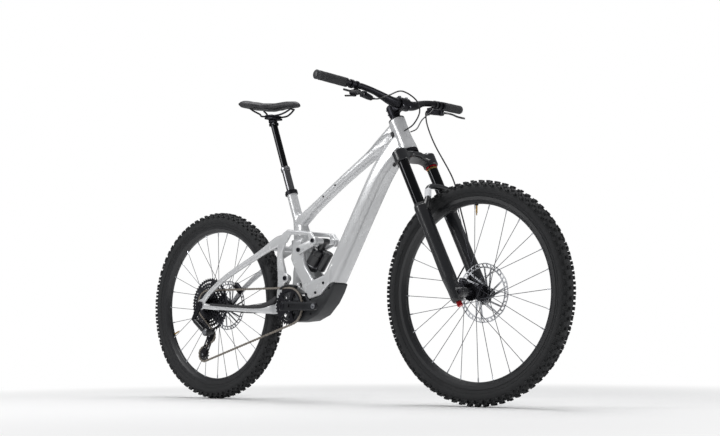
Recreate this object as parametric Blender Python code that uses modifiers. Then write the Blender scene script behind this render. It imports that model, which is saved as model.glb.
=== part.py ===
"""Electric mountain bike with full suspension, built as separate parts.

Metres, +Z up, +X the way the bike rides, +Y its left side. The origin lies on
the ground halfway between the two wheels. Every object is one piece of the
bike. A piece that moves hangs on an empty that stands on its joint's axis.
"""
import math

import bmesh
import bpy
from mathutils import Matrix, Vector

# Clearances between pieces that touch or slide
GAP = 0.0003
RUNNING_GAP = 0.0004
POLYGON_GAP = 0.0008
SIDE_GAP = 0.0005

# Main layout
WHEELBASE = 1.285
TYRE_RADIUS = 0.3725
REAR_CENTRE = 0.4625
BB_DROP = 0.0205
HEAD_ANGLE = math.radians(65.0)
FORK_OFFSET = 0.037
SEAT_ANGLE = math.radians(70.7)

# Wheels
TYRE_WIDTH = 0.061
TYRE_WALL = 0.004
KNOB_HEIGHT = 0.0035
KNOB_STEPS = 32
BEAD_HALF = 0.0142
TYRE_BELLY = 0.0255
TYRE_ROOF = 0.0090
RIM_RADIUS = 0.3175
RIM_FLOOR = RIM_RADIUS - 0.0103
TYRE_BEAD_LOW = RIM_RADIUS - 0.0085
TYRE_BEAD_HIGH = RIM_RADIUS + 0.0015
RIM_DEPTH = 0.0245
RIM_WIDTH = 0.035
RIM_WALL = 0.003
RIM_STEPS = 28
SPOKES_PER_SIDE = 14
SPOKE_CROSSING = 3
SPOKE_RADIUS = 0.001
SPOKE_TIP_GAP = 0.0007
FLANGE_RADIUS = 0.029
SPOKE_HOLE_RADIUS = 0.026
HUB_BODY_RADIUS = 0.014
HUB_CAP_RADIUS = 0.0105
HUB_STEPS = 10
FRONT_HUB_WIDTH = 0.110
FRONT_FLANGE_PLACE = 0.030
REAR_HUB_WIDTH = 0.148
REAR_FLANGE_RIGHT = 0.026
REAR_FLANGE_LEFT = 0.036
FREEHUB_RADIUS = 0.0172
FREEHUB_END = -0.0640
ROTOR_SEAT_RADIUS = 0.0175
FRONT_AXLE_RADIUS = 0.0075
REAR_AXLE_RADIUS = 0.006
AXLE_HEAD_RADIUS = 0.0095
AXLE_HEAD_LENGTH = 0.004

# Brakes
ROTOR_RADIUS = 0.100
ROTOR_RING = 0.014
ROTOR_THICKNESS = 0.0018
ROTOR_WINDOWS = 6
ROTOR_BOSS_RADIUS = 0.0215
FRONT_ROTOR_PLACE = 0.0425
REAR_ROTOR_PLACE = 0.0584
CALIPER_LENGTH = 0.050
CALIPER_HEIGHT = 0.026
CALIPER_SLOT = 0.004
CALIPER_REACH = 0.092

# Drivetrain
CHAIN_LINE = 0.050
CHAIN_PITCH = 0.0127
CHAIN_WIDTH = 0.0052
CHAIN_HEIGHT = 0.0084
CHAINRING_TEETH = 34
CHAINRING_THICKNESS = 0.0030
CHAIN_COG_TEETH = 28
COG_TEETH = (10, 12, 14, 16, 18, 21, 24, 28, 32, 38, 44, 52)
COG_PITCH_OUTER = 0.0029
COG_PITCH_INNER = 0.0035
COG_STEPS = 14
CHAIN_CLEAR = 0.0055
PULLEY_UPPER_TEETH = 12
PULLEY_LOWER_TEETH = 14
PULLEY_THICKNESS = 0.0030
CRANK_LENGTH = 0.160
CRANK_PLACE = 0.0820
CRANK_THICKNESS = 0.0135
CRANK_WIDTH = 0.034
CRANK_TILT = math.radians(-2.0)
SPINDLE_RADIUS = 0.012
PEDAL_HOLE_RADIUS = 0.0072

# Rear derailleur, measured from the rear axle
UPPER_PULLEY = (0.0205, -0.1245)
LOWER_PULLEY = (-0.0195, -0.1965)
CAGE_THICKNESS = 0.0015
CAGE_OUTER = -0.0565
KNUCKLE_PLACE = 0.0880
KNUCKLE_RADIUS = 0.0120
MOUNT_BOSS_RADIUS = 0.0093
LINK_HALF = 0.0060
LINK_HEIGHT = 0.0210
DERAILLEUR_ROOT = (-0.0370, -0.0560)
DERAILLEUR_TIP = (0.0370, -0.1100)

# Fork, along the steering axis from the foot beside the front axle
STANCHION_SPACING = 0.155
STANCHION_RADIUS = 0.019
STANCHION_OFFSET = 0.0115
STANCHION_TOP = 0.5477
STANCHION_LOW = 0.200
LEG_BORE_FLOOR = 0.045
LEG_BOTTOM = -0.0245
FOOT_OUTER = 0.0925
CROWN_BOTTOM = 0.512
CROWN_ARCH = 0.533
CROWN_TOP = 0.560
CROWN_WALL = 0.0075
STEERER_RADIUS = 0.0143
LOWER_TOP = 0.3367
LOWER_RADIUS = 0.0245
LOWER_FOOT_RADIUS = 0.021
ARCH_THICKNESS = 0.016
ARCH_DEPTH = 0.020
KNOB_RADIUS = 0.0095
KNOB_LENGTH = 0.014

# Head tube and what stacks on it
HEAD_BOTTOM = 0.574
HEAD_TOP = 0.704
HEAD_RADIUS_LOW = 0.032
HEAD_RADIUS_MID = 0.0280
HEAD_RADIUS_TOP = 0.0295
HEAD_BORE = 0.0235
CUP_DEPTH = 0.012
CUP_LIP = 0.0075
SPACER_TOP = 0.723
STEM_LOW = HEAD_TOP + CUP_LIP + RUNNING_GAP
STEM_CENTRE = 0.743
STEM_LENGTH = 0.047
STEM_FACE_WIDTH = 0.050
STEERER_TOP = 0.7580

# Handlebar
BAR_CLAMP_RADIUS = 0.0175
BAR_RADIUS = 0.0111
BAR_RISE = 0.034
BAR_SWEEP = 0.043
GRIP_RADIUS = 0.0162
GRIP_LENGTH = 0.134
BAR_HALF_WIDTH = 0.3950
LEVER_CLAMP = BAR_HALF_WIDTH - GRIP_LENGTH - 0.0210
CONTROL_PLACE = LEVER_CLAMP - 0.0240
DROPPER_PLACE = 0.1900
LEVER_TAIL = Vector((0.330, 0.158, 1.048))
LEVER_FOOT = Vector((0.338, 0.212, 1.052))
LEVER_HINGE = Vector((0.347, 0.220, 1.050))
DROPPER_HINGE = Vector((0.312, 0.190, 1.0540))

# Frame tubes
DOWN_TUBE_WIDTH = 0.078
DOWN_TUBE_DEPTH = 0.070
TOP_TUBE_WIDTH = 0.042
TOP_TUBE_DEPTH = 0.033
SEAT_TUBE_RADIUS = 0.0195
STRUT_INNER = 0.0275
STRUT_OUTER = 0.0400
DOWN_TUBE_FLOOR = 0.4310
TUBE_START = (0.0017, 0.4305)
TUBE_UP = (0.530, 0.848)
LUG_HALF_WIDTH = 0.042
BATTERY_WIDTH = 0.058
BATTERY_DEPTH = 0.048
BATTERY_LENGTH = 0.360
BATTERY_START = 0.050

# Suspension pivots, measured from the bottom bracket
UPPER_PIVOT = (0.050, 0.208)
SHOCK_PIVOT = (0.137, 0.236)
SWING_PIVOT = (-0.026, 0.106)
LOWER_PIVOT = (-0.051, -0.018)
SHOCK_FOOT = (0.015, 0.076)
PIVOT_RADIUS = 0.016
PIN_RADIUS = 0.006
SPINE_INNER = 0.0155
SPINE_OUTER = 0.0240
PIVOT_BOSS = 0.013
LOWER_LINK_THICKNESS = 0.0090
UPPER_LINK_THICKNESS = 0.011
SHOCK_EYE_RADIUS = 0.0115
SHOCK_CAN_RADIUS = 0.0265
SHOCK_CAN_LENGTH = 0.088
SHOCK_CAN_START = 0.078
SHOCK_SHAFT_END = 0.125
SHOCK_BORE_END = 0.1685
SHOCK_BOSS = 0.0168
SHOCK_SHAFT_RADIUS = 0.0065
RESERVOIR_RADIUS = 0.0165
RESERVOIR_LENGTH = 0.078

# Swingarm
ARM_INNER = 0.054
ARM_OUTER = 0.066
LUG_INNER = 0.0345
LUG_OUTER = 0.0470
DROPOUT_FACE = 0.0863
BRIDGE = (-0.262, 0.5750)
LINK_BAR = (-0.243, 0.405)

# Saddle and dropper post
POST_CLAMP_HEIGHT = 0.790
POST_COLLAR = 0.104
POST_HEAD = 0.306
POST_OUTER_RADIUS = 0.0158
POST_INNER_RADIUS = 0.0132
POST_OUTER_DEPTH = 0.135
POST_INNER_DEPTH = 0.030
SADDLE_REAR = (-0.463, 1.162)
SADDLE_TILT = math.radians(7.0)
SADDLE_LENGTH = 0.288
SADDLE_WIDTH = 0.146
NOSE_WIDTH = 0.038
SADDLE_THICKNESS = 0.030
RAIL_RADIUS = 0.0035
RAIL_SPACING = 0.044

# Motor
MOTOR_HALF_WIDTH = 0.0340
MOTOR_RADIUS = 0.030
COVER_HALF_WIDTH = 0.0400
COVER_WALL = 0.004

# Hoses
BRAKE_HOSE_RADIUS = 0.0026
REMOTE_CABLE_RADIUS = 0.0022
HOSE_STEPS = 2

PARTS = "electric_mountain_bike"
MATERIALS = {
    "frame_paint": ((0.62, 0.65, 0.70), 0.32, 0.25),
    "black_anodised": ((0.020, 0.021, 0.023), 0.35, 0.60),
    "fork_black": ((0.018, 0.018, 0.020), 0.30, 0.30),
    "stanchion_black": ((0.012, 0.012, 0.013), 0.12, 0.70),
    "rubber": ((0.014, 0.014, 0.015), 0.80, 0.0),
    "grip_rubber": ((0.045, 0.045, 0.048), 0.75, 0.0),
    "rim_black": ((0.015, 0.015, 0.016), 0.45, 0.30),
    "hub_black": ((0.020, 0.020, 0.022), 0.30, 0.60),
    "rotor_steel": ((0.55, 0.56, 0.58), 0.28, 1.0),
    "caliper_black": ((0.030, 0.030, 0.032), 0.35, 0.50),
    "cassette_steel": ((0.10, 0.10, 0.11), 0.30, 1.0),
    "chain_steel": ((0.28, 0.25, 0.22), 0.35, 1.0),
    "crank_black": ((0.022, 0.022, 0.024), 0.38, 0.40),
    "motor_grey": ((0.050, 0.052, 0.056), 0.45, 0.50),
    "cover_plastic": ((0.020, 0.022, 0.025), 0.55, 0.0),
    "post_grey": ((0.16, 0.16, 0.17), 0.30, 0.80),
    "saddle_black": ((0.030, 0.030, 0.033), 0.50, 0.0),
    "shock_black": ((0.020, 0.021, 0.024), 0.28, 0.50),
    "hose_black": ((0.050, 0.050, 0.054), 0.40, 0.0),
    "red_anodised": ((0.45, 0.015, 0.020), 0.30, 0.80),
    "battery_case": ((0.030, 0.030, 0.032), 0.60, 0.0),
}


def remove_everything():
    """Empties the scene and the model's collections."""
    for item in list(bpy.data.objects):
        bpy.data.objects.remove(item, do_unlink=True)
    for group in list(bpy.data.collections):
        bpy.data.collections.remove(group)


def make_collection(name):
    group = bpy.data.collections.new(name)
    bpy.context.scene.collection.children.link(group)
    return group


def make_material(name, colour, roughness, metallic):
    material = bpy.data.materials.new(name)
    material.use_nodes = True
    shader = material.node_tree.nodes["Principled BSDF"]
    shader.inputs["Base Color"].default_value = (*colour, 1.0)
    shader.inputs["Roughness"].default_value = roughness
    shader.inputs["Metallic"].default_value = metallic
    material.diffuse_color = (*colour, 1.0)
    return material


def new_object(name, mesh):
    """Links a mesh as an object in the bike's collection."""
    item = bpy.data.objects.new(name, mesh)
    bpy.data.collections[PARTS].objects.link(item)
    return item


def mesh_object(name, form):
    """Turns a bmesh into an object and frees it."""
    mesh = bpy.data.meshes.new(name)
    form.to_mesh(mesh)
    form.free()
    return new_object(name, mesh)


def settle(item, weld=0.000001):
    """Replaces an object's modifiers or curve by the mesh that they make."""
    graph = bpy.context.evaluated_depsgraph_get()
    mesh = bpy.data.meshes.new_from_object(item.evaluated_get(graph))
    place = item.matrix_world.copy()
    name = item.name
    bpy.data.objects.remove(item, do_unlink=True)
    form = bmesh.new()
    form.from_mesh(mesh)
    form.transform(place)
    bmesh.ops.remove_doubles(form, verts=form.verts, dist=weld)
    form.to_mesh(mesh)
    form.free()
    mesh.name = name
    return new_object(name, mesh)


def combine(item, others, operation="UNION"):
    """Joins the others to an object, or cuts them out of it."""
    for other in others:
        step = item.modifiers.new(other.name, "BOOLEAN")
        step.operation = operation
        step.solver = "EXACT"
        step.object = other
    bpy.context.view_layer.update()
    result = settle(item)
    for other in others:
        bpy.data.objects.remove(other, do_unlink=True)
    return result


def cut(item, *cutters):
    return combine(item, cutters, "DIFFERENCE")


def join(item, *others):
    return combine(item, others, "UNION")


def finish(item, material, angle=35.0):
    """Gives a piece its material and smooth shading with sharp edges."""
    item.data.materials.clear()
    item.data.materials.append(bpy.data.materials[material])
    item.data.shade_smooth()
    item.data.set_sharp_from_angle(angle=math.radians(angle))
    return item


def frame_to(direction):
    """Rotation that takes +Z to a direction."""
    return Vector(direction).normalized().to_track_quat("Z", "Y").to_matrix().to_4x4()


def rod(name, start, end, radius, sides=14, end_radius=None):
    """A cylinder or cone between two points."""
    start = Vector(start)
    end = Vector(end)
    form = bmesh.new()
    bmesh.ops.create_cone(
        form, cap_ends=True, segments=sides, radius1=radius,
        radius2=radius if end_radius is None else end_radius, depth=(end - start).length)
    form.transform(Matrix.Translation((start + end) / 2) @ frame_to(end - start))
    return mesh_object(name, form)


def cross_rod(name, place, low, high, radius, sides=14):
    """A cylinder along Y through a point (x, z), from y low to y high."""
    return rod(name, (place[0], low, place[1]), (place[0], high, place[1]), radius, sides)


def block(name, centre, size, turn=None):
    """A box, turned by a rotation matrix about its centre."""
    form = bmesh.new()
    bmesh.ops.create_cube(form, size=1.0, matrix=Matrix.Diagonal((*size, 1.0)))
    if turn is not None:
        form.transform(turn)
    form.transform(Matrix.Translation(Vector(centre)))
    return mesh_object(name, form)


def turned(name, profile, origin, direction, steps, closed=False):
    """A profile of (radius, height) points spun about a direction through origin."""
    area = 0.0
    for here, after in zip(profile, profile[1:] + profile[:1]):
        area += here[0] * after[1] - after[0] * here[1]
    points = profile if area < 0 else profile[::-1]
    mesh = bpy.data.meshes.new(name)
    edges = [(i, i + 1) for i in range(len(points) - 1)]
    if closed:
        edges.append((len(points) - 1, 0))
    mesh.from_pydata([(r, 0.0, h) for r, h in points], edges, [])
    item = new_object(name, mesh)
    screw = item.modifiers.new("spin", "SCREW")
    screw.steps = steps
    screw.render_steps = steps
    screw.use_merge_vertices = True
    screw.merge_threshold = 0.00001
    item.matrix_world = Matrix.Translation(Vector(origin)) @ frame_to(direction)
    bpy.context.view_layer.update()
    return settle(item, weld=0.00001)


def plate(name, outlines, low, high):
    """Flat outlines of (x, z) points, the first with the others as holes, from y low to high."""
    curve = bpy.data.curves.new(name, "CURVE")
    curve.dimensions = "2D"
    curve.fill_mode = "BOTH"
    curve.extrude = (high - low) / 2
    for outline in outlines:
        spline = curve.splines.new("POLY")
        spline.points.add(len(outline) - 1)
        for point, (x, z) in zip(spline.points, outline):
            point.co = (x, z, 0.0, 1.0)
        spline.use_cyclic_u = True
    item = bpy.data.objects.new(name, curve)
    bpy.data.collections[PARTS].objects.link(item)
    item.rotation_euler = (math.pi / 2, 0.0, 0.0)
    item.location = (0.0, (low + high) / 2, 0.0)
    bpy.context.view_layer.update()
    return settle(item, weld=0.00001)


def tube(name, points, radius, resolution=2, shares=None):
    """A round tube along a poly spline, with closed ends."""
    curve = bpy.data.curves.new(name, "CURVE")
    curve.dimensions = "3D"
    curve.bevel_depth = radius
    curve.bevel_resolution = resolution
    curve.use_fill_caps = True
    spline = curve.splines.new("POLY")
    spline.points.add(len(points) - 1)
    for point, place, share in zip(spline.points, points, shares or [1.0] * len(points)):
        point.co = (*place, 1.0)
        point.radius = share
    item = bpy.data.objects.new(name, curve)
    bpy.data.collections[PARTS].objects.link(item)
    bpy.context.view_layer.update()
    return settle(item, weld=0.00001)


def loft(name, rings):
    """A solid through closed rings of as many points each."""
    form = bmesh.new()
    rows = [[form.verts.new(point) for point in ring] for ring in rings]
    count = len(rows[0])
    for lower, upper in zip(rows, rows[1:]):
        for k in range(count):
            after = (k + 1) % count
            form.faces.new((lower[k], lower[after], upper[after], upper[k]))
    form.faces.new(rows[0])
    form.faces.new(rows[-1])
    bmesh.ops.recalc_face_normals(form, faces=form.faces)
    return mesh_object(name, form)


def power_curve(value, power):
    return math.copysign(abs(value) ** (2.0 / power), value)


def ring(x, z, angle, depth, width, y=0.0, power=3.0, count=14, lean=0.0):
    """Rounded section across a path in the XZ plane that runs at an angle."""
    points = []
    for k in range(count):
        turn = 2 * math.pi * (k + 0.5) / count
        rise = power_curve(math.cos(turn), power) * depth / 2
        side = power_curve(math.sin(turn), power) * width / 2
        points.append(Vector((x - math.sin(angle) * rise + lean * side,
                              y + side, z + math.cos(angle) * rise)))
    return points


def bar_loft(name, stations, power=3.0, count=12):
    """A tube through stations (x, z, y, depth, width), square to its own path."""
    rings = []
    for k, (x, z, y, depth, width) in enumerate(stations):
        before = stations[max(k - 1, 0)]
        after = stations[min(k + 1, len(stations) - 1)]
        angle = math.atan2(after[1] - before[1], after[0] - before[0])
        rings.append(ring(x, z, angle, depth, width, y, power, count))
    return loft(name, rings)


def mirrored(name, item):
    """A copy of a piece on the other side of the bike's middle plane."""
    form = bmesh.new()
    form.from_mesh(item.data)
    form.transform(Matrix.Scale(-1, 4, (0, 1, 0)))
    bmesh.ops.reverse_faces(form, faces=form.faces)
    return mesh_object(name, form)


def both_sides(item):
    """Returns a piece and its mirror image, for joining."""
    return [item, mirrored(item.name + "_other", item)]


def arc(centre, radius, start, end, steps):
    """Points of (x, z) along an arc, angles in degrees."""
    points = []
    for k in range(steps + 1):
        angle = math.radians(start + (end - start) * k / steps)
        points.append((centre[0] + radius * math.cos(angle), centre[1] + radius * math.sin(angle)))
    return points


def circle(centre, radius, steps):
    return arc(centre, radius, 0.0, 360.0 * (steps - 1) / steps, steps - 1)


def tongue(start, end, start_radius, end_radius, steps=8):
    """Outline round two circles joined by straight sides."""
    angle = math.degrees(math.atan2(end[1] - start[1], end[0] - start[0]))
    points = arc(start, start_radius, angle + 90, angle + 270, steps)
    return points + arc(end, end_radius, angle - 90, angle + 90, steps)


def shifted(place, offset):
    return (place[0] + offset[0], place[1] + offset[1])


def between(first, second, share):
    return (first[0] + (second[0] - first[0]) * share, first[1] + (second[1] - first[1]) * share)


def distance(first, second):
    return math.hypot(second[0] - first[0], second[1] - first[1])


# Places that the whole bike hangs on, as (x, z)
REAR_AXLE = (-WHEELBASE / 2, TYRE_RADIUS)
FRONT_AXLE = (WHEELBASE / 2, TYRE_RADIUS)
BB = (REAR_AXLE[0] + REAR_CENTRE, REAR_AXLE[1] - BB_DROP)
STEER_UP = (-math.cos(HEAD_ANGLE), math.sin(HEAD_ANGLE))
STEER_FORWARD = (math.sin(HEAD_ANGLE), math.cos(HEAD_ANGLE))
STEER_FOOT = (FRONT_AXLE[0] - FORK_OFFSET * STEER_FORWARD[0],
              FRONT_AXLE[1] - FORK_OFFSET * STEER_FORWARD[1])
SEAT_UP = (-math.cos(SEAT_ANGLE), math.sin(SEAT_ANGLE))
SEAT_FOOT = shifted(BB, (-0.038, 0.438))
P_UPPER = shifted(BB, UPPER_PIVOT)
P_SHOCK = shifted(BB, SHOCK_PIVOT)
P_SWING = shifted(BB, SWING_PIVOT)
P_LOWER = shifted(BB, LOWER_PIVOT)
P_FOOT = shifted(BB, SHOCK_FOOT)
STEERING_TURN = Matrix.Rotation(HEAD_ANGLE - math.pi / 2, 4, "Y")


def on_steerer(along, forward=0.0):
    """The (x, z) at a distance up the steering axis and forward of it."""
    return (STEER_FOOT[0] + along * STEER_UP[0] + forward * STEER_FORWARD[0],
            STEER_FOOT[1] + along * STEER_UP[1] + forward * STEER_FORWARD[1])


def on_seat(along):
    """The (x, z) at a distance up the seat tube's axis from the seat clamp."""
    return (SEAT_FOOT[0] + along * SEAT_UP[0], SEAT_FOOT[1] + along * SEAT_UP[1])


def at(place, y=0.0):
    """A 3-D point from an (x, z) place."""
    return Vector((place[0], y, place[1]))


def steered(item):
    """Moves a piece drawn along the steering axis, X forward and Z up it, to its place."""
    item.data.transform(Matrix.Translation(at(STEER_FOOT)) @ STEERING_TURN)
    return item


def soften(item, width, segments=1):
    """Bevels the sharp edges of a piece."""
    bevel = item.modifiers.new("edge", "BEVEL")
    bevel.width = width
    bevel.segments = segments
    bevel.limit_method = "ANGLE"
    bevel.angle_limit = math.radians(40.0)
    bpy.context.view_layer.update()
    return settle(item)


def section(centre, across, rise, width, depth, power=2.6, count=12):
    """Rounded ring about a centre, spanned by two directions."""
    points = []
    for k in range(count):
        turn = 2 * math.pi * (k + 0.5) / count
        side = power_curve(math.cos(turn), power) * width / 2
        up = power_curve(math.sin(turn), power) * depth / 2
        points.append(centre + across * side + rise * up)
    return points


def hang(joint, place, items):
    """Parents pieces to an empty that stands on their joint's axis."""
    empty = bpy.data.objects.new(joint, None)
    empty.empty_display_size = 0.02
    bpy.data.collections[PARTS].objects.link(empty)
    empty.location = place
    bpy.context.view_layer.update()
    for item in items:
        item.parent = empty
        item.matrix_parent_inverse = empty.matrix_world.inverted()
    return empty


def belt(circles, half, step_angle):
    """Closed (x, z) line at a side distance from a belt round circles (centre, radius, turn)."""
    wheels = [(centre, radius + turn * half, turn) for centre, radius, turn in circles]
    touches = []
    for k, (centre, radius, turn) in enumerate(wheels):
        after, after_radius, after_turn = wheels[(k + 1) % len(wheels)]
        gap = distance(centre, after)
        along = ((after[0] - centre[0]) / gap, (after[1] - centre[1]) / gap)
        lift = (after_turn * after_radius - turn * radius) / gap
        hold = math.sqrt(1 - lift * lift)
        right = (lift * along[0] + hold * along[1], lift * along[1] - hold * along[0])
        touches.append((math.atan2(-turn * right[1], -turn * right[0]),
                        math.atan2(-after_turn * right[1], -after_turn * right[0])))
    points = []
    for k, (centre, radius, turn) in enumerate(wheels):
        arrive = touches[k - 1][1]
        leave = touches[k][0]
        sweep = (arrive - leave) % (2 * math.pi) if turn > 0 else (leave - arrive) % (2 * math.pi)
        steps = max(2, round(math.degrees(sweep) / step_angle))
        degrees = math.degrees(arrive)
        points += arc(centre, radius, degrees, degrees - turn * math.degrees(sweep), steps)
    return points


def build_head():
    """Head tube without its bore."""
    profile = [(0.0, HEAD_BOTTOM), (HEAD_RADIUS_LOW, HEAD_BOTTOM), (HEAD_RADIUS_LOW, 0.588),
               (HEAD_RADIUS_MID, 0.642), (HEAD_RADIUS_TOP, 0.690), (HEAD_RADIUS_TOP, HEAD_TOP),
               (0.0, HEAD_TOP)]
    return turned("frame", profile, at(STEER_FOOT), at(STEER_UP), 14)


def build_down_tube():
    """Wide rounded box from the motor lug up into the head tube."""
    depth = DOWN_TUBE_DEPTH
    width = DOWN_TUBE_WIDTH
    stations = [(-0.0275, 0.384, 0, depth, width), (0.064, 0.530, 0, depth, width),
                (0.200, 0.748, 0, depth, width), (0.250, 0.822, 0, depth * 1.04, width * 0.96),
                (0.290, 0.868, 0, depth * 1.10, width * 0.86),
                (0.326, 0.903, 0, depth * 1.15, width * 0.72),
                (0.345, 0.919, 0, depth * 1.10, width * 0.62)]
    tube_body = bar_loft("down_tube", stations, 3.4, 10)
    floor = block("floor", (0.0, 0.0, DOWN_TUBE_FLOOR - 0.05), (0.3, 0.2, 0.1))
    return cut(tube_body, floor)


def build_top_tube():
    """Slim tube from the head down to the seat tube."""
    depth = TOP_TUBE_DEPTH
    width = TOP_TUBE_WIDTH
    stations = [(0.312, 0.974, 0, depth * 1.15, width), (0.290, 0.952, 0, depth * 1.50, width),
                (0.240, 0.908, 0, depth * 1.75, width * 1.1), (0.185, 0.878, 0, depth * 1.2, width),
                (0.048, 0.801, 0, depth, width), (-0.072, 0.728, 0, depth, width),
                (-0.140, 0.684, 0, depth * 1.35, width), (-0.180, 0.657, 0, depth * 1.5, width * 0.9)]
    top = bar_loft("top_tube", stations, 3.0, 10)
    web = bar_loft("head_web", [(0.240, 0.868, 0, 0.060, 0.026), (0.322, 0.940, 0, 0.085, 0.026)],
                   2.6, 8)
    return [top, web]


def build_seat_mast():
    """Seat tube and the broad neck that it grows from."""
    mast = rod("mast", at(on_seat(-0.150)), at(on_seat(0.0)), SEAT_TUBE_RADIUS, 16)
    stations = [(-0.184, 0.700, 0, 0.034, 0.034), (-0.168, 0.655, 0, 0.056, 0.040),
                (-0.158, 0.615, 0, 0.058, 0.062), (-0.147, 0.575, 0, 0.052, 0.079),
                (-0.142, 0.560, 0, 0.050, 0.079)]
    return [mast, bar_loft("neck", stations, 3.0, 10)]


def build_uprights():
    """Pair of plates from the neck down past the upper pivot to the motor lug."""
    outline = [(-0.181, 0.600), (-0.176, 0.562), (-0.184, 0.530), (-0.170, 0.504), (-0.155, 0.480),
               (-0.130, 0.441), (-0.123, 0.416), (-0.087, 0.376), (-0.040, 0.390), (-0.024, 0.451),
               (-0.065, 0.446), (-0.107, 0.501), (-0.113, 0.522), (-0.1145, 0.566), (-0.125, 0.577),
               (-0.125, 0.600)]
    return plate("uprights", [outline], -STRUT_OUTER, STRUT_OUTER)


def build_lug():
    """Broad shell on the front of the motor."""
    outline = [(-0.123, 0.416), (-0.087, 0.375), (-0.029, 0.388), (0.022, 0.4315), (0.030, 0.500),
               (-0.012, 0.4615), (-0.065, 0.446)]
    return soften(plate("lug", [outline], -LUG_HALF_WIDTH, LUG_HALF_WIDTH), 0.005)


def build_spine():
    """Middle plate over the motor to the shock foot and the lower link's pivot."""
    boss = arc(P_FOOT, PIVOT_BOSS, 60, 140, 3)
    heel = arc(P_LOWER, PIVOT_BOSS, 150, 340, 6)
    outline = [(-0.085, 0.424), (-0.120, 0.415), (-0.145, 0.420)] + boss
    outline += [(-0.205, 0.408), (-0.240, 0.362)] + heel
    outline += [(-0.2165, 0.348), (-0.2115, 0.363), (-0.196, 0.385), (-0.175, 0.3955),
                (-0.140, 0.3965), (-0.085, 0.3965)]
    return plate("spine", [outline], -SPINE_OUTER, SPINE_OUTER)


def build_frame():
    """Front triangle in one piece, with its bores and pivot seats."""
    below = rod("crown_room", at(on_steerer(HEAD_BOTTOM - 0.03)), at(on_steerer(HEAD_BOTTOM + 0.001)),
                0.040)
    above = rod("cap_room", at(on_steerer(HEAD_TOP - 0.001)), at(on_steerer(HEAD_TOP + 0.03)), 0.040)
    frame = cut(join(build_down_tube(), *build_top_tube()), below, above)
    frame = join(build_head(), frame)
    frame = join(frame, *build_seat_mast(), build_uprights(), build_lug(), build_spine())
    lane = [(-0.172, 0.590), (-0.225, 0.500), (-0.160, 0.4555), (-0.121, 0.4265), (-0.085, 0.4080),
            (-0.060, 0.4220), (-0.0245, 0.4500), (-0.020, 0.475), (-0.080, 0.590)]
    foot = tongue(P_FOOT, shifted(P_FOOT, (0.03, 0.05)), SHOCK_EYE_RADIUS + 0.0045,
                  SHOCK_EYE_RADIUS + 0.0045)
    cutters = [
        rod("head_bore", at(on_steerer(HEAD_BOTTOM - 0.05)), at(on_steerer(HEAD_TOP + 0.05)),
            HEAD_BORE, 12),
        rod("post_bore", at(on_seat(-0.139)), at(on_seat(0.05)), POST_OUTER_RADIUS + POLYGON_GAP, 14),
        plate("shock_lane", [lane], -STRUT_INNER, STRUT_INNER),
        plate("foot_slot", [foot], -SPINE_INNER, SPINE_INNER),
        cross_rod("upper_bore", P_UPPER, -0.06, 0.06, PIN_RADIUS + RUNNING_GAP, 12),
        cross_rod("lower_bore", P_LOWER, -0.06, 0.06, PIN_RADIUS + RUNNING_GAP, 12),
        battery_form("battery_room", GAP, 0.09),
    ]
    frame = cut(frame, *cutters)
    pin = cross_rod("foot_pin", P_FOOT, -SPINE_INNER - 0.002, SPINE_INNER + 0.002, PIN_RADIUS, 12)
    return finish(join(frame, pin), "frame_paint")


def battery_form(name, margin, extra):
    """Battery stick in the down tube, swollen by a margin and run down by an extra length."""
    low = on_tube(BATTERY_START - extra)
    high = on_tube(BATTERY_START + BATTERY_LENGTH + margin)
    depth = BATTERY_DEPTH + 2 * margin
    width = BATTERY_WIDTH + 2 * margin
    rings = [(low[0], low[1], 0, depth, width), (high[0], high[1], 0, depth, width)]
    return bar_loft(name, rings, 5.0, 12)


def on_tube(along):
    """The (x, z) at a distance up the down tube from its lower end."""
    return (TUBE_START[0] + along * TUBE_UP[0], TUBE_START[1] + along * TUBE_UP[1])


def build_battery():
    return finish(battery_form("battery", 0.0, 0.0), "battery_case")


def build_motor():
    """Drive unit with a bore for the crank spindle."""
    outline = arc(BB, MOTOR_RADIUS, 95, 262, 8)
    outline += [(-0.150, 0.3155), (-0.066, 0.324), (-0.028, 0.352), (-0.033, 0.3815),
                (-0.0885, 0.3700), (-0.110, 0.3900), (-0.150, 0.3905)]
    motor = plate("motor", [outline], -MOTOR_HALF_WIDTH, MOTOR_HALF_WIDTH)
    boss = cross_rod("motor_boss", BB, -MOTOR_HALF_WIDTH - 0.010, MOTOR_HALF_WIDTH + 0.010, 0.021)
    motor = join(motor, boss)
    bore = cross_rod("spindle_bore", BB, -0.1, 0.1, SPINDLE_RADIUS + RUNNING_GAP, 14)
    return finish(cut(motor, bore), "motor_grey")


def build_cover():
    """Trough under the motor that closes the foot of the down tube."""
    outline = [(0.0215, 0.4305), (0.0415, 0.4305), (0.0250, 0.398), (-0.003, 0.358), (-0.048, 0.3165),
               (-0.100, 0.2965), (-0.165, 0.2925), (-0.205, 0.306), (-0.200, 0.322), (-0.160, 0.334),
               (-0.080, 0.357), (-0.0865, 0.3740), (-0.0292, 0.3870)]
    cover = soften(plate("lower_cover", [outline], -COVER_HALF_WIDTH, COVER_HALF_WIDTH), 0.008)
    room = [(0.0215, 0.470), (0.0345, 0.440), (0.0190, 0.401), (-0.008, 0.3625), (-0.051, 0.3220),
            (-0.101, 0.3025), (-0.160, 0.2985), (-0.186, 0.3055), (-0.230, 0.330), (-0.230, 0.420),
            (-0.060, 0.430)]
    inside = plate("cover_room", [room], -MOTOR_HALF_WIDTH - 0.0004, MOTOR_HALF_WIDTH + 0.0004)
    bore = cross_rod("cover_bore", BB, -0.1, 0.1, 0.0225, 14)
    return finish(cut(cover, inside, bore), "cover_plastic")


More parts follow.
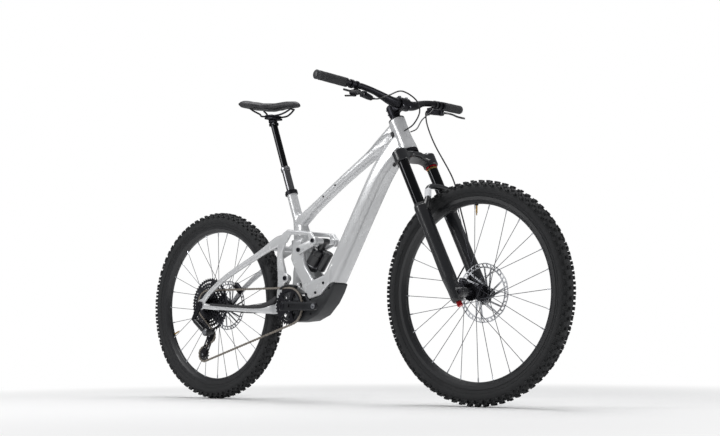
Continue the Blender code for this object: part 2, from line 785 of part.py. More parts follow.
def build_headset():
    """Bearing cups in both ends of the head tube."""
    inner = STEERER_RADIUS + POLYGON_GAP
    seat = HEAD_BORE - GAP
    low = [(inner, CROWN_TOP + RUNNING_GAP), (HEAD_RADIUS_LOW, CROWN_TOP + RUNNING_GAP),
           (HEAD_RADIUS_LOW, HEAD_BOTTOM - GAP), (seat, HEAD_BOTTOM - GAP),
           (seat, HEAD_BOTTOM + CUP_DEPTH), (inner, HEAD_BOTTOM + CUP_DEPTH)]
    high = [(inner, HEAD_TOP - CUP_DEPTH), (seat, HEAD_TOP - CUP_DEPTH), (seat, HEAD_TOP + GAP),
            (HEAD_RADIUS_TOP, HEAD_TOP + GAP), (0.021, HEAD_TOP + CUP_LIP), (inner, HEAD_TOP + CUP_LIP)]
    lower = turned("headset_lower", low, at(STEER_FOOT), at(STEER_UP), 12, True)
    upper = turned("headset_upper", high, at(STEER_FOOT), at(STEER_UP), 12, True)
    return [finish(lower, "black_anodised"), finish(upper, "black_anodised")]


def build_crown():
    """Fork crown with its clamps and the steerer."""
    rings = []
    for y, forward, along, width, depth in [(-0.0775, 0.0115, 0.534, 0.050, 0.040),
                                            (-0.045, 0.007, 0.5435, 0.044, 0.031),
                                            (-0.020, 0.004, 0.547, 0.058, 0.025),
                                            (0.020, 0.004, 0.547, 0.058, 0.025),
                                            (0.045, 0.007, 0.5435, 0.044, 0.031),
                                            (0.0775, 0.0115, 0.534, 0.050, 0.040)]:
        centre = Vector((forward, y, along))
        rings.append(section(centre, Vector((1, 0, 0)), Vector((0, 0, 1)), width, depth, 3.0, 8))
    crown = loft("crown", rings)
    for side in (-1, 1):
        foot = (STANCHION_OFFSET, side * STANCHION_SPACING / 2)
        clamp = rod("clamp", (*foot, CROWN_BOTTOM), (*foot, CROWN_TOP - 0.003),
                    STANCHION_RADIUS + CROWN_WALL, 14)
        crown = join(crown, clamp)
    crown = join(crown, rod("steerer", (0, 0, 0.540), (0, 0, STEERER_TOP), STEERER_RADIUS, 14))
    for side in (-1, 1):
        foot = (STANCHION_OFFSET, side * STANCHION_SPACING / 2)
        crown = cut(crown, rod("socket", (*foot, CROWN_BOTTOM - 0.05), (*foot, STANCHION_TOP + GAP),
                               STANCHION_RADIUS + GAP, 14))
    return finish(steered(crown), "fork_black")


def build_stanchions():
    tubes = []
    for name, side in (("stanchion_right", -1), ("stanchion_left", 1)):
        foot = (STANCHION_OFFSET, side * STANCHION_SPACING / 2)
        tubes.append(rod(name, (*foot, STANCHION_LOW), (*foot, STANCHION_TOP), STANCHION_RADIUS, 14))
    return [finish(steered(item), "stanchion_black") for item in tubes]


def build_leg(side):
    """One lower leg with its axle foot, drawn on the steering axis."""
    place = Vector((STANCHION_OFFSET, side * STANCHION_SPACING / 2, 0.0))
    profile = [(0.0, LEG_BOTTOM), (0.016, LEG_BOTTOM), (LOWER_FOOT_RADIUS, -0.012),
               (LOWER_FOOT_RADIUS, 0.020), (LOWER_RADIUS, 0.055), (LOWER_RADIUS, LOWER_TOP), (0.0,
                                                                                              LOWER_TOP)]
    leg = turned("leg", profile, place, (0, 0, 1), 12)
    inner = side * (FRONT_HUB_WIDTH / 2 + GAP)
    outer = side * FOOT_OUTER
    outline = tongue((STANCHION_OFFSET, 0.004), (FORK_OFFSET, 0.0), 0.016, 0.0155)
    foot = plate("foot", [outline], min(inner, outer), max(inner, outer))
    return leg, foot


def build_lowers():
    """Both lower legs with the arch in front of the stanchions."""
    rings = []
    for y, forward, along, tilt in [(-0.0775, 0.024, 0.318, 85), (-0.0745, 0.046, 0.352, 70),
                                    (-0.058, 0.0515, 0.384, 35), (-0.030, 0.0515, 0.3955, 8),
                                    (0.030, 0.0515, 0.3955, -8), (0.058, 0.0515, 0.384, -35),
                                    (0.0745, 0.046, 0.352, -70), (0.0775, 0.024, 0.318, -85)]:
        angle = math.radians(tilt)
        rise = Vector((0, -math.sin(angle), math.cos(angle)))
        rings.append(section(Vector((forward, y, along)), Vector((1, 0, 0)), rise, ARCH_DEPTH,
                             ARCH_THICKNESS, 3.0, 8))
    lowers = loft("fork_lowers", rings)
    for side in (-1, 1):
        lowers = join(lowers, *build_leg(side))
    tab = block("tab", (-0.0165, 0.0664, 0.062), (0.029, 0.0162, 0.040))
    lowers = join(lowers, tab)
    for side in (-1, 1):
        foot = (STANCHION_OFFSET, side * STANCHION_SPACING / 2)
        lowers = cut(lowers, rod("bore", (*foot, LEG_BORE_FLOOR), (*foot, LOWER_TOP + 0.05),
                                 STANCHION_RADIUS + RUNNING_GAP, 14))
    lowers = cut(lowers, cross_rod("axle_bore", (FORK_OFFSET, 0.0), -0.2, 0.2,
                                   FRONT_AXLE_RADIUS + GAP, 12))
    return finish(steered(lowers), "fork_black")


def build_front_axle():
    axle = cross_rod("front_axle", FRONT_AXLE, -FOOT_OUTER + 0.002, FOOT_OUTER, FRONT_AXLE_RADIUS, 12)
    head = cross_rod("axle_head", FRONT_AXLE, FOOT_OUTER + GAP, FOOT_OUTER + AXLE_HEAD_LENGTH,
                     AXLE_HEAD_RADIUS, 12)
    neck = cross_rod("axle_neck", FRONT_AXLE, FOOT_OUTER - 0.002, FOOT_OUTER + 0.002,
                     FRONT_AXLE_RADIUS - 0.001, 12)
    return finish(join(axle, neck, head), "black_anodised")


def build_rebound_knob():
    place = (STANCHION_OFFSET, -STANCHION_SPACING / 2)
    low = LEG_BOTTOM - GAP - KNOB_LENGTH
    knob = rod("rebound_knob", (*place, low), (*place, LEG_BOTTOM - GAP), KNOB_RADIUS, 12, KNOB_RADIUS)
    return finish(steered(knob), "red_anodised")


def build_tyre(name, axle):
    """Knobbly tyre, open towards the rim; every other step of the tread is raised."""
    half = [(TYRE_BEAD_LOW, BEAD_HALF), (TYRE_BEAD_HIGH, BEAD_HALF),
            (TYRE_RADIUS - TYRE_BELLY, TYRE_WIDTH / 2), (TYRE_RADIUS - KNOB_HEIGHT, 0.0175)]
    inner = [(TYRE_BEAD_LOW, BEAD_HALF - TYRE_WALL),
             (TYRE_RADIUS - TYRE_BELLY - 0.005, TYRE_WIDTH / 2 - 0.007), (TYRE_RADIUS - TYRE_ROOF, 0.013)]
    outside = half + [(r, -h) for r, h in half[::-1]]
    inside = [(r, -h) for r, h in inner] + inner[::-1]
    tyre = turned(name, outside + inside, at(axle), (0, 1, 0), KNOB_STEPS, True)
    centre = at(axle)
    for vertex in tyre.data.vertices:
        arm = vertex.co - centre
        radius = math.hypot(arm.x, arm.z)
        step = round(math.atan2(arm.z, arm.x) * KNOB_STEPS / (2 * math.pi))
        if radius > TYRE_RADIUS - KNOB_HEIGHT - 0.0005 and step % 2 == 0:
            arm *= TYRE_RADIUS / radius
            vertex.co = Vector((centre.x + arm.x, vertex.co.y, centre.z + arm.z))
    return finish(tyre, "rubber", 25.0)


def build_rim(name, axle):
    profile = [(RIM_RADIUS, RIM_WIDTH / 2), (RIM_RADIUS, RIM_WIDTH / 2 - RIM_WALL),
               (RIM_FLOOR, RIM_WIDTH / 2 - RIM_WALL), (RIM_FLOOR, RIM_WALL - RIM_WIDTH / 2),
               (RIM_RADIUS, RIM_WALL - RIM_WIDTH / 2), (RIM_RADIUS, -RIM_WIDTH / 2),
               (RIM_FLOOR - RIM_WALL, 0.0005 - RIM_WIDTH / 2),
               (RIM_RADIUS - RIM_DEPTH, -0.0070), (RIM_RADIUS - RIM_DEPTH, 0.0070),
               (RIM_FLOOR - RIM_WALL, RIM_WIDTH / 2 - 0.0005)]
    return finish(turned(name, profile, at(axle), (0, 1, 0), RIM_STEPS, True), "rim_black")


def build_spokes(axle, flanges):
    """All spokes of a wheel as one set of thin rods."""
    form = bmesh.new()
    count = 2 * SPOKES_PER_SIDE
    tip = RIM_RADIUS - RIM_DEPTH - SPOKE_TIP_GAP
    for k in range(count):
        side = k % 2
        j = k // 2
        lead = 1 if j % 2 == 0 else -1
        outer = 2 * math.pi * k / count
        inner = outer - lead * 2 * math.pi * SPOKE_CROSSING / SPOKES_PER_SIDE
        y = flanges[side] + lead * 0.0011
        start = Vector((SPOKE_HOLE_RADIUS * math.cos(inner), y, SPOKE_HOLE_RADIUS * math.sin(inner)))
        end = Vector((tip * math.cos(outer), math.copysign(0.004, flanges[side]),
                      tip * math.sin(outer)))
        place = Matrix.Translation((start + end) / 2) @ frame_to(end - start)
        bmesh.ops.create_cone(form, cap_ends=True, segments=3, radius1=SPOKE_RADIUS,
                              radius2=SPOKE_RADIUS, depth=(end - start).length, matrix=place)
    form.transform(Matrix.Translation(at(axle)))
    return mesh_object("spokes", form)


def build_front_hub():
    half = FRONT_HUB_WIDTH / 2
    flange = FRONT_FLANGE_PLACE
    bore = FRONT_AXLE_RADIUS + RUNNING_GAP
    profile = [(bore, -half), (HUB_CAP_RADIUS, -half), (HUB_CAP_RADIUS, -half + 0.010),
               (0.016, -flange - 0.002), (FLANGE_RADIUS, -flange - 0.002), (FLANGE_RADIUS, -flange + 0.002),
               (HUB_BODY_RADIUS, -flange + 0.006), (HUB_BODY_RADIUS, flange - 0.006),
               (FLANGE_RADIUS, flange - 0.002), (FLANGE_RADIUS, flange + 0.002),
               (ROTOR_SEAT_RADIUS, flange + 0.004), (ROTOR_SEAT_RADIUS, FRONT_ROTOR_PLACE + 0.003),
               (HUB_CAP_RADIUS, FRONT_ROTOR_PLACE + 0.005), (HUB_CAP_RADIUS, half), (bore, half)]
    hub = turned("front_hub", profile, at(FRONT_AXLE), (0, 1, 0), HUB_STEPS, True)
    hub = join(hub, build_spokes(FRONT_AXLE, (-flange, flange)))
    return finish(hub, "hub_black")


def build_rear_hub():
    half = REAR_HUB_WIDTH / 2
    bore = REAR_AXLE_RADIUS + RUNNING_GAP
    right = -REAR_FLANGE_RIGHT
    left = REAR_FLANGE_LEFT
    profile = [(bore, -half), (HUB_CAP_RADIUS, -half), (HUB_CAP_RADIUS, FREEHUB_END),
               (FREEHUB_RADIUS, FREEHUB_END), (FREEHUB_RADIUS, right - 0.006),
               (FLANGE_RADIUS, right - 0.002), (FLANGE_RADIUS, right + 0.002),
               (HUB_BODY_RADIUS, right + 0.006), (HUB_BODY_RADIUS, left - 0.006),
               (FLANGE_RADIUS, left - 0.002), (FLANGE_RADIUS, left + 0.002),
               (ROTOR_SEAT_RADIUS, left + 0.004), (ROTOR_SEAT_RADIUS, REAR_ROTOR_PLACE + 0.003),
               (HUB_CAP_RADIUS, REAR_ROTOR_PLACE + 0.005), (HUB_CAP_RADIUS, half), (bore, half)]
    hub = turned("rear_hub", profile, at(REAR_AXLE), (0, 1, 0), HUB_STEPS, True)
    return finish(join(hub, build_spokes(REAR_AXLE, (right, left))), "hub_black")


def build_rotor(name, axle, y):
    """Brake disc with a window between each two arms."""
    outlines = [circle(axle, ROTOR_RADIUS, 24), circle(axle, ROTOR_SEAT_RADIUS + GAP, HUB_STEPS)]
    pitch = 360.0 / ROTOR_WINDOWS
    for k in range(ROTOR_WINDOWS):
        start = k * pitch
        inner = arc(axle, ROTOR_BOSS_RADIUS, start + 10, start + pitch - 10, 1)
        outer = arc(axle, ROTOR_RADIUS - ROTOR_RING, start + pitch + 12, start + 20, 3)
        outlines.append(inner + outer)
    half = ROTOR_THICKNESS / 2
    return finish(plate(name, outlines, y - half, y + half), "rotor_steel")


def build_cassette():
    """Twelve sprockets as a stepped stack on the freehub."""
    places = cog_places()
    bore = FREEHUB_RADIUS + POLYGON_GAP
    mouth = HUB_CAP_RADIUS + POLYGON_GAP
    profile = [(bore, places[-1] + 0.0011), (bore, FREEHUB_END - GAP), (mouth, FREEHUB_END - GAP),
               (mouth, places[0] - 0.0009)]
    for k, teeth in enumerate(COG_TEETH):
        radius = pitch_radius(teeth) - CHAIN_CLEAR
        after = places[k + 1] - 0.0008 if k + 1 < len(places) else places[k] + 0.0011
        profile.append((radius, places[k] - (0.0009 if k == 0 else 0.0008)))
        profile.append((radius, after))
    return finish(turned("cassette", profile, at(REAR_AXLE), (0, 1, 0), COG_STEPS, True),
                  "cassette_steel")


def pitch_radius(teeth):
    return CHAIN_PITCH / 2 / math.sin(math.pi / teeth)


def cog_places():
    """Side place of each sprocket, with the chain's own sprocket on the chain line."""
    middle = COG_TEETH.index(CHAIN_COG_TEETH)
    places = []
    for k in range(len(COG_TEETH)):
        pitch = COG_PITCH_OUTER if k < middle else COG_PITCH_INNER
        places.append(-CHAIN_LINE + (k - middle) * pitch)
    return places


def build_chainring():
    """Toothed ring with windows and a bore on the spindle."""
    radius = pitch_radius(CHAINRING_TEETH) - CHAIN_CLEAR
    outlines = [circle(BB, radius, 28), circle(BB, SPINDLE_RADIUS + POLYGON_GAP, 12)]
    for k in range(5):
        start = 72 * k
        outlines.append(arc(BB, 0.026, start + 12, start + 56, 2) + arc(BB, radius - 0.010, start + 60,
                                                                        start + 8, 4))
    low = -CHAIN_LINE - CHAINRING_THICKNESS / 2
    return finish(plate("chainring", outlines, low, low + CHAINRING_THICKNESS), "crank_black")


def build_crank(name, side):
    """Crank arm with its pedal hole, the right one with the spindle."""
    tilt = CRANK_TILT if side < 0 else CRANK_TILT + math.pi
    eye = (BB[0] + CRANK_LENGTH * math.cos(tilt), BB[1] + CRANK_LENGTH * math.sin(tilt))
    inner = side * (CRANK_PLACE - CRANK_THICKNESS / 2)
    outer = side * (CRANK_PLACE + CRANK_THICKNESS / 2)
    arm = plate(name, [tongue(BB, eye, CRANK_WIDTH / 2 + 0.001, 0.0145, 6)], min(inner, outer),
                max(inner, outer))
    arm = cut(arm, cross_rod("eye", eye, -0.12, 0.12, PEDAL_HOLE_RADIUS, 12))
    if side < 0:
        end = CRANK_PLACE + CRANK_THICKNESS / 2 - 0.002
        arm = join(arm, cross_rod("spindle", BB, inner - 0.003, end, SPINDLE_RADIUS, 14))
    else:
        arm = cut(arm, cross_rod("seat", BB, 0.05, 0.12, SPINDLE_RADIUS + GAP, 14))
    return finish(arm, "crank_black")


def pulley_places():
    return shifted(REAR_AXLE, UPPER_PULLEY), shifted(REAR_AXLE, LOWER_PULLEY)


def build_chain():
    """Chain as one closed ring round the ring, both pulleys and its sprocket."""
    upper, lower = pulley_places()
    circles = [(BB, pitch_radius(CHAINRING_TEETH), 1), (lower, pitch_radius(PULLEY_LOWER_TEETH), 1),
               (upper, pitch_radius(PULLEY_UPPER_TEETH), -1),
               (REAR_AXLE, pitch_radius(CHAIN_COG_TEETH), 1)]
    half = CHAIN_HEIGHT / 2
    outlines = [belt(circles, half, 20.0), belt(circles, -half, 20.0)]
    side = CHAIN_WIDTH / 2
    return finish(plate("chain", outlines, -CHAIN_LINE - side, -CHAIN_LINE + side), "chain_steel")


def link_ends():
    """Both hinge places of the derailleur's link, near its root and near its tip."""
    root = shifted(REAR_AXLE, DERAILLEUR_ROOT)
    tip = shifted(REAR_AXLE, DERAILLEUR_TIP)
    length = distance(root, tip)
    near = (MOUNT_BOSS_RADIUS + GAP + LINK_HALF) / length
    far = (KNUCKLE_RADIUS + GAP + LINK_HALF) / length
    return between(root, tip, near), between(root, tip, 1.0 - far)


def build_link(start, end):
    """Link of the derailleur, rounded at both ends about its sideways hinges."""
    length = distance(start, end)
    way = ((end[0] - start[0]) / length, (end[1] - start[1]) / length)
    link = plate("derailleur_link", [tongue((0.0, 0.0), (length, 0.0), LINK_HALF, LINK_HALF, 8)],
                 -LINK_HEIGHT / 2, LINK_HEIGHT / 2)
    turn = Matrix(((way[0], way[1], 0.0), (0.0, 0.0, 1.0), (way[1], -way[0], 0.0))).to_4x4()
    link.data.transform(Matrix.Translation(at(start, -KNUCKLE_PLACE)) @ turn)
    return link


def build_derailleur():
    """Mount on the axle, link, knuckle, cage and two pulleys."""
    root = shifted(REAR_AXLE, DERAILLEUR_ROOT)
    tip = shifted(REAR_AXLE, DERAILLEUR_TIP)
    upper, lower = pulley_places()
    face = -DROPOUT_FACE - GAP
    mount = plate("derailleur_mount", [tongue(REAR_AXLE, root, 0.0125, MOUNT_BOSS_RADIUS, 5)],
                  face - 0.008, face)
    boss = cross_rod("mount_boss", root, face - 0.008, face + 0.006, MOUNT_BOSS_RADIUS, 12)
    mount = cut(join(mount, boss), cross_rod("mount_bore", REAR_AXLE, -0.2, 0.0,
                                             REAR_AXLE_RADIUS + GAP, 12))
    link = build_link(*link_ends())
    knuckle = cross_rod("derailleur_knuckle", tip, -KNUCKLE_PLACE - 0.008, CAGE_OUTER - 0.0004,
                        KNUCKLE_RADIUS, 16)
    cage = build_cage(tip, upper, lower)
    pulleys = []
    for name, place, teeth in (("pulley_upper", upper, PULLEY_UPPER_TEETH),
                               ("pulley_lower", lower, PULLEY_LOWER_TEETH)):
        radius = pitch_radius(teeth) - CHAIN_CLEAR
        low = -CHAIN_LINE - PULLEY_THICKNESS / 2
        wheel = plate(name, [circle(place, radius, 14), circle(place, 0.0034, 10)],
                      low, low + PULLEY_THICKNESS)
        pulleys.append(finish(wheel, "crank_black"))
    parts = [finish(mount, "black_anodised"), finish(link, "black_anodised"),
             finish(knuckle, "black_anodised"), cage]
    return parts + pulleys


def build_cage(pivot, upper, lower):
    """Two plates on either side of the pulleys, held by the pulley pins."""
    outer_low = CAGE_OUTER
    inner_low = -CHAIN_LINE + 0.0046
    outline = tongue(upper, lower, 0.0125, 0.0135, 4)
    head = tongue(pivot, upper, 0.0120, 0.0125, 4)
    outer = plate("derailleur_cage", [outline], outer_low, outer_low + CAGE_THICKNESS)
    top = plate("cage_head", [head], outer_low, outer_low + CAGE_THICKNESS)
    inner = plate("cage_inner", [outline], inner_low, inner_low + CAGE_THICKNESS)
    pins = [cross_rod("pin", place, outer_low, inner_low + CAGE_THICKNESS, 0.0030, 8)
            for place in (upper, lower)]
    return finish(join(outer, top, inner, *pins), "black_anodised")


def arm_plate(name, outline, low, high):
    """The same plate on both sides of the bike."""
    return both_sides(plate(name, [outline], low, high))


def build_swingarm():
    """Rear triangle in one piece: upper arms, stays, yoke, bridge and dropouts."""
    end = arc(P_SHOCK, PIVOT_RADIUS + 0.0005, 62, -150, 5)
    top = [(-0.160, 0.6185), (-0.182, 0.590), (-0.215, 0.578), (-0.240, 0.590), (-0.196, 0.6285),
           (-0.174, 0.639), (-0.050, 0.6215)]
    arm = plate("swingarm", [end + [(-0.072, 0.6105)] + top], ARM_INNER, ARM_OUTER)
    stay = bar_loft("stay", [(-0.185, 0.607, 0.060, 0.030, 0.012), (-0.235, 0.5955, 0.0600, 0.040, 0.012),
                             (-0.330, 0.554, 0.0615, 0.027, 0.013), (-0.500, 0.4780, 0.0725, 0.022, 0.014),
                             (-0.600, 0.4150, 0.0790, 0.022, 0.0125),
                             (-0.6425, 0.3725, 0.0803, 0.024, 0.0120)], 3.0, 8)
    chain_stay = bar_loft("chain_stay", [(-0.6425, 0.3725, 0.0803, 0.026, 0.0120),
                                         (-0.600, 0.3620, 0.0790, 0.022, 0.0125),
                                         (-0.400, 0.3460, 0.0665, 0.024, 0.014),
                                         (-0.320, 0.3430, 0.0605, 0.028, 0.013),
                                         (-0.276, 0.3430, 0.0530, 0.036, 0.012),
                                         (-0.259, 0.3440, 0.0425, 0.040, 0.010),
                                         (-0.250, 0.3460, 0.0390, 0.040, 0.010)], 3.0, 8)
    dropout = plate("dropout", [circle(REAR_AXLE, 0.0215, 12)], REAR_HUB_WIDTH / 2 + GAP, DROPOUT_FACE)
    side = join(arm, stay, chain_stay, dropout, build_yoke())
    side = cut(side, cross_rod("axle_bore", REAR_AXLE, 0.05, 0.12, REAR_AXLE_RADIUS + GAP, 12),
               cross_rod("swing_bore", P_SWING, 0.0, 0.055, PIN_RADIUS + RUNNING_GAP, 12))
    other = mirrored("swingarm_other", side)
    bridge = cross_rod("bridge", BRIDGE, -0.0585, 0.0585, 0.0110, 10)
    return finish(join(side, other, bridge), "frame_paint")


def build_yoke():
    """Upright of the swingarm, bent inward to the lower link and past the chain."""
    spine = [(-0.208, 0.590, 0.0600, 0.044, 0.0120), (-0.219, 0.555, 0.0570, 0.030, 0.0125),
             (-0.226, 0.520, 0.0490, 0.036, 0.0130), (-0.227, 0.490, 0.0425, 0.042, 0.0140),
             (-0.2255, 0.458, 0.0410, 0.046, 0.0130), (-0.236, 0.420, 0.0392, 0.034, 0.0100),
             (-0.2445, 0.380, 0.0390, 0.026, 0.0098), (-0.2475, 0.340, 0.0390, 0.026, 0.0098)]
    rings = []
    for k, (x, z, y, width, thickness) in enumerate(spine):
        before = spine[max(k - 1, 0)]
        after = spine[min(k + 1, len(spine) - 1)]
        angle = math.atan2(after[1] - before[1], after[0] - before[0])
        across = Vector((-math.sin(angle), 0, math.cos(angle)))
        rings.append(section(Vector((x, y, z)), across, Vector((0, 1, 0)), width, thickness, 3.2, 8))
    yoke = loft("yoke", rings)
    lug = cross_rod("swing_lug", P_SWING, LUG_INNER, LUG_OUTER, 0.0175, 12)
    return join(yoke, lug)


def build_rear_axle():
    end = DROPOUT_FACE + GAP + 0.0075
    axle = cross_rod("rear_axle", REAR_AXLE, -end, DROPOUT_FACE - 0.001, REAR_AXLE_RADIUS, 12)
    neck = cross_rod("axle_neck", REAR_AXLE, DROPOUT_FACE - 0.002, DROPOUT_FACE + 0.002,
                     REAR_AXLE_RADIUS - 0.001, 12)
    head = cross_rod("axle_head", REAR_AXLE, DROPOUT_FACE + GAP, DROPOUT_FACE + AXLE_HEAD_LENGTH,
                     AXLE_HEAD_RADIUS, 12)
    return finish(join(axle, neck, head), "black_anodised")


def build_lower_link():
    """Two plates with a cross bar, the frame pin and two studs for the swingarm."""
    inner = SPINE_OUTER + SIDE_GAP
    outer = inner + LOWER_LINK_THICKNESS
    bow = [shifted(P_LOWER, (-0.016, 0.058)), shifted(P_SWING, (-0.022, -0.036))]
    outline = arc(P_LOWER, 0.0135, 170, 370, 5) + [(-0.222, 0.405)]
    outline += arc(P_SWING, 0.0135, -60, 160, 5) + bow[::-1]
    link = join(*arm_plate("lower_link", outline, inner, outer))
    bar = cross_rod("bar", LINK_BAR, -inner - 0.002, inner + 0.002, 0.0075, 12)
    pin = cross_rod("pin", P_LOWER, -inner - 0.002, inner + 0.002, PIN_RADIUS, 12)
    studs = [cross_rod("stud", P_SWING, side * (outer - 0.002), side * (LUG_OUTER - 0.0005), PIN_RADIUS, 12)
             for side in (-1, 1)]
    return finish(join(link, bar, pin, *studs), "frame_paint")


def build_upper_link():
    """Two plates on the frame ears with a cross bar and bosses beside the shock's eye."""
    inner = STRUT_OUTER + SIDE_GAP
    outer = inner + UPPER_LINK_THICKNESS
    outline = tongue(P_UPPER, P_SHOCK, 0.0165, 0.0140, 5)
    link = join(*arm_plate("upper_link", outline, inner, outer))
    bar = cross_rod("bar", shifted(P_UPPER, (0.036, 0.024)), -inner - 0.002, inner + 0.002, 0.0075, 12)
    pin = cross_rod("pin", P_UPPER, -inner - 0.002, inner + 0.002, PIN_RADIUS, 12)
    bosses = [cross_rod("boss", P_SHOCK, side * SHOCK_BOSS, side * (inner + 0.002), 0.0115, 12)
              for side in (-1, 1)]
    return finish(join(link, bar, pin, *bosses), "frame_paint")


def on_shock(along, off=0.0):
    """The (x, z) at a distance up the shock from its foot, and off towards the down tube."""
    length = distance(P_FOOT, P_SHOCK)
    up = ((P_SHOCK[0] - P_FOOT[0]) / length, (P_SHOCK[1] - P_FOOT[1]) / length)
    return (P_FOOT[0] + along * up[0] + off * up[1], P_FOOT[1] + along * up[1] - off * up[0])


def build_shock():
    """Shaft with the foot eye, and the can with its reservoir and upper eye."""
    eye = cross_rod("shock_shaft", P_FOOT, -SPINE_INNER + 0.0004, SPINE_INNER - 0.0004, SHOCK_EYE_RADIUS,
                    14)
    rod_body = rod("shaft", at(on_shock(0.004)), at(on_shock(SHOCK_SHAFT_END)), SHOCK_SHAFT_RADIUS, 12)
    shaft = cut(join(eye, rod_body), cross_rod("foot_bore", P_FOOT, -0.03, 0.03,
                                               PIN_RADIUS + RUNNING_GAP, 12))
    length = distance(P_FOOT, P_SHOCK)
    low = SHOCK_CAN_START
    profile = [(0.0, low), (SHOCK_CAN_RADIUS - 0.003, low), (SHOCK_CAN_RADIUS, low + 0.003),
               (SHOCK_CAN_RADIUS, low + SHOCK_CAN_LENGTH - 0.004),
               (SHOCK_CAN_RADIUS - 0.006, low + SHOCK_CAN_LENGTH), (0.0135, low + SHOCK_CAN_LENGTH),
               (0.0135, length), (0.0, length)]
    can = turned("shock_body", profile, at(P_FOOT), at(on_shock(1.0)) - at(P_FOOT), 12)
    top = cross_rod("shock_eye", P_SHOCK, -SHOCK_BOSS + 0.0008, SHOCK_BOSS - 0.0008, 0.0125, 12)
    start = on_shock(length - 0.098, 0.0455)
    end = on_shock(length - 0.098 + RESERVOIR_LENGTH, 0.0455)
    reservoir = rod("reservoir", at(start), at(end), RESERVOIR_RADIUS, 12)
    neck = block("neck", at(on_shock(length - 0.030, 0.026)), (0.044, 0.020, 0.016),
                 Matrix.Rotation(math.atan2(P_SHOCK[0] - P_FOOT[0], P_SHOCK[1] - P_FOOT[1]), 4, "Y"))
    can = join(can, top, reservoir, neck)
    bore = rod("shaft_room", at(on_shock(low - 0.02)), at(on_shock(SHOCK_BORE_END)),
               SHOCK_SHAFT_RADIUS + RUNNING_GAP, 12)
    return finish(shaft, "black_anodised"), finish(cut(can, bore), "shock_black")


def build_post():
    """Seat collar, dropper tube and inner post."""
    outer = [(0.0, -0.134), (POST_OUTER_RADIUS, -0.134), (POST_OUTER_RADIUS, 0.088), (0.0178, 0.090),
             (0.0178, POST_COLLAR), (0.0, POST_COLLAR)]
    tube_body = turned("dropper_outer", outer, at(SEAT_FOOT), at(SEAT_UP), 16)
    bore = rod("post_room", at(on_seat(-0.128)), at(on_seat(POST_COLLAR + 0.05)),
               POST_INNER_RADIUS + GAP, 14)
    tube_body = cut(tube_body, bore)
    inner = rod("dropper_inner", at(on_seat(POST_COLLAR - POST_INNER_DEPTH)),
                at(on_seat(POST_HEAD - 0.014)),
                POST_INNER_RADIUS, 14)
    head = block("head", at(on_seat(POST_HEAD - 0.013)), (0.030, 0.028, 0.014),
                 Matrix.Rotation(-math.radians(8.0), 4, "Y"))
    ring_profile = [(SEAT_TUBE_RADIUS + GAP, -0.012), (0.0236, -0.012), (0.0236, 0.004),
                    (POST_OUTER_RADIUS + GAP, 0.004), (POST_OUTER_RADIUS + GAP, GAP),
                    (SEAT_TUBE_RADIUS + GAP, GAP)]
    collar = turned("seat_collar", ring_profile, at(SEAT_FOOT), at(SEAT_UP), 16, True)
    return [finish(collar, "black_anodised"), finish(tube_body, "post_grey"),
            finish(join(inner, head), "stanchion_black")]


def build_cushion():
    """Saddle cushion: crowned, with drawn-in sides and a narrow nose."""
    rings = []
    shape = [(0.0, 1.0), (0.55, 0.94), (0.95, 0.50), (1.0, -0.10), (0.70, -0.80), (0.0, -0.80)]
    loop = shape + [(-u, v) for u, v in shape[-2:0:-1]]
    for share, width, thickness, drop in [(0.0, 0.62, 0.55, -0.002), (0.03, 0.86, 0.85, 0.0),
                                          (0.12, 1.0, 1.0, 0.001), (0.26, 0.92, 1.0, -0.004),
                                          (0.42, 0.62, 0.95, -0.008), (0.58, 0.39, 0.92, -0.007),
                                          (0.80, 0.29, 0.90, -0.001), (0.96, 0.25, 0.75, 0.000),
                                          (1.0, 0.12, 0.35, -0.005)]:
        x = SADDLE_REAR[0] + share * SADDLE_LENGTH * math.cos(SADDLE_TILT)
        z = SADDLE_REAR[1] - share * SADDLE_LENGTH * math.sin(SADDLE_TILT) + drop
        half_width = width * SADDLE_WIDTH / 2
        half_height = thickness * SADDLE_THICKNESS / 2
        rings.append([Vector((x, u * half_width, z + v * half_height)) for u, v in loop])
    cushion = loft("saddle_cushion", rings)
    smooth = cushion.modifiers.new("smooth", "SUBSURF")
    smooth.levels = 1
    smooth.render_levels = 1
    return finish(settle(cushion), "saddle_black", 60.0)


def build_rails():
    """Saddle rails in one bent loop, with the clamp that holds them on the post."""
    head = on_seat(POST_HEAD)
    sides = []
    for side in (1, -1):
        y = side * RAIL_SPACING / 2
        path = [(-0.412, side * 0.038, 1.1402), (-0.392, side * 0.034, 1.1260), (-0.372, y, 1.1130),
                (head[0] - 0.035, y, head[1] + 0.0225), (head[0] + 0.045, y, head[1] + 0.0165),
                (-0.240, side * 0.016, 1.1010), (-0.213, side * 0.010, 1.1130)]
        sides.append(path)
    line = sides[0] + sides[1][::-1]
    rails = tube("saddle_rails", line, RAIL_RADIUS, 1)
    clamp = block("clamp", (head[0] + 0.002, 0, head[1] + 0.0155), (0.044, RAIL_SPACING + 0.014, 0.018),
                  Matrix.Rotation(math.radians(4.5), 4, "Y"))
    foot = block("clamp_foot", at(on_seat(POST_HEAD + 0.0030)), (0.026, 0.026, 0.016),
                 Matrix.Rotation(-math.radians(8.0), 4, "Y"))
    return finish(join(rails, clamp, foot), "black_anodised")


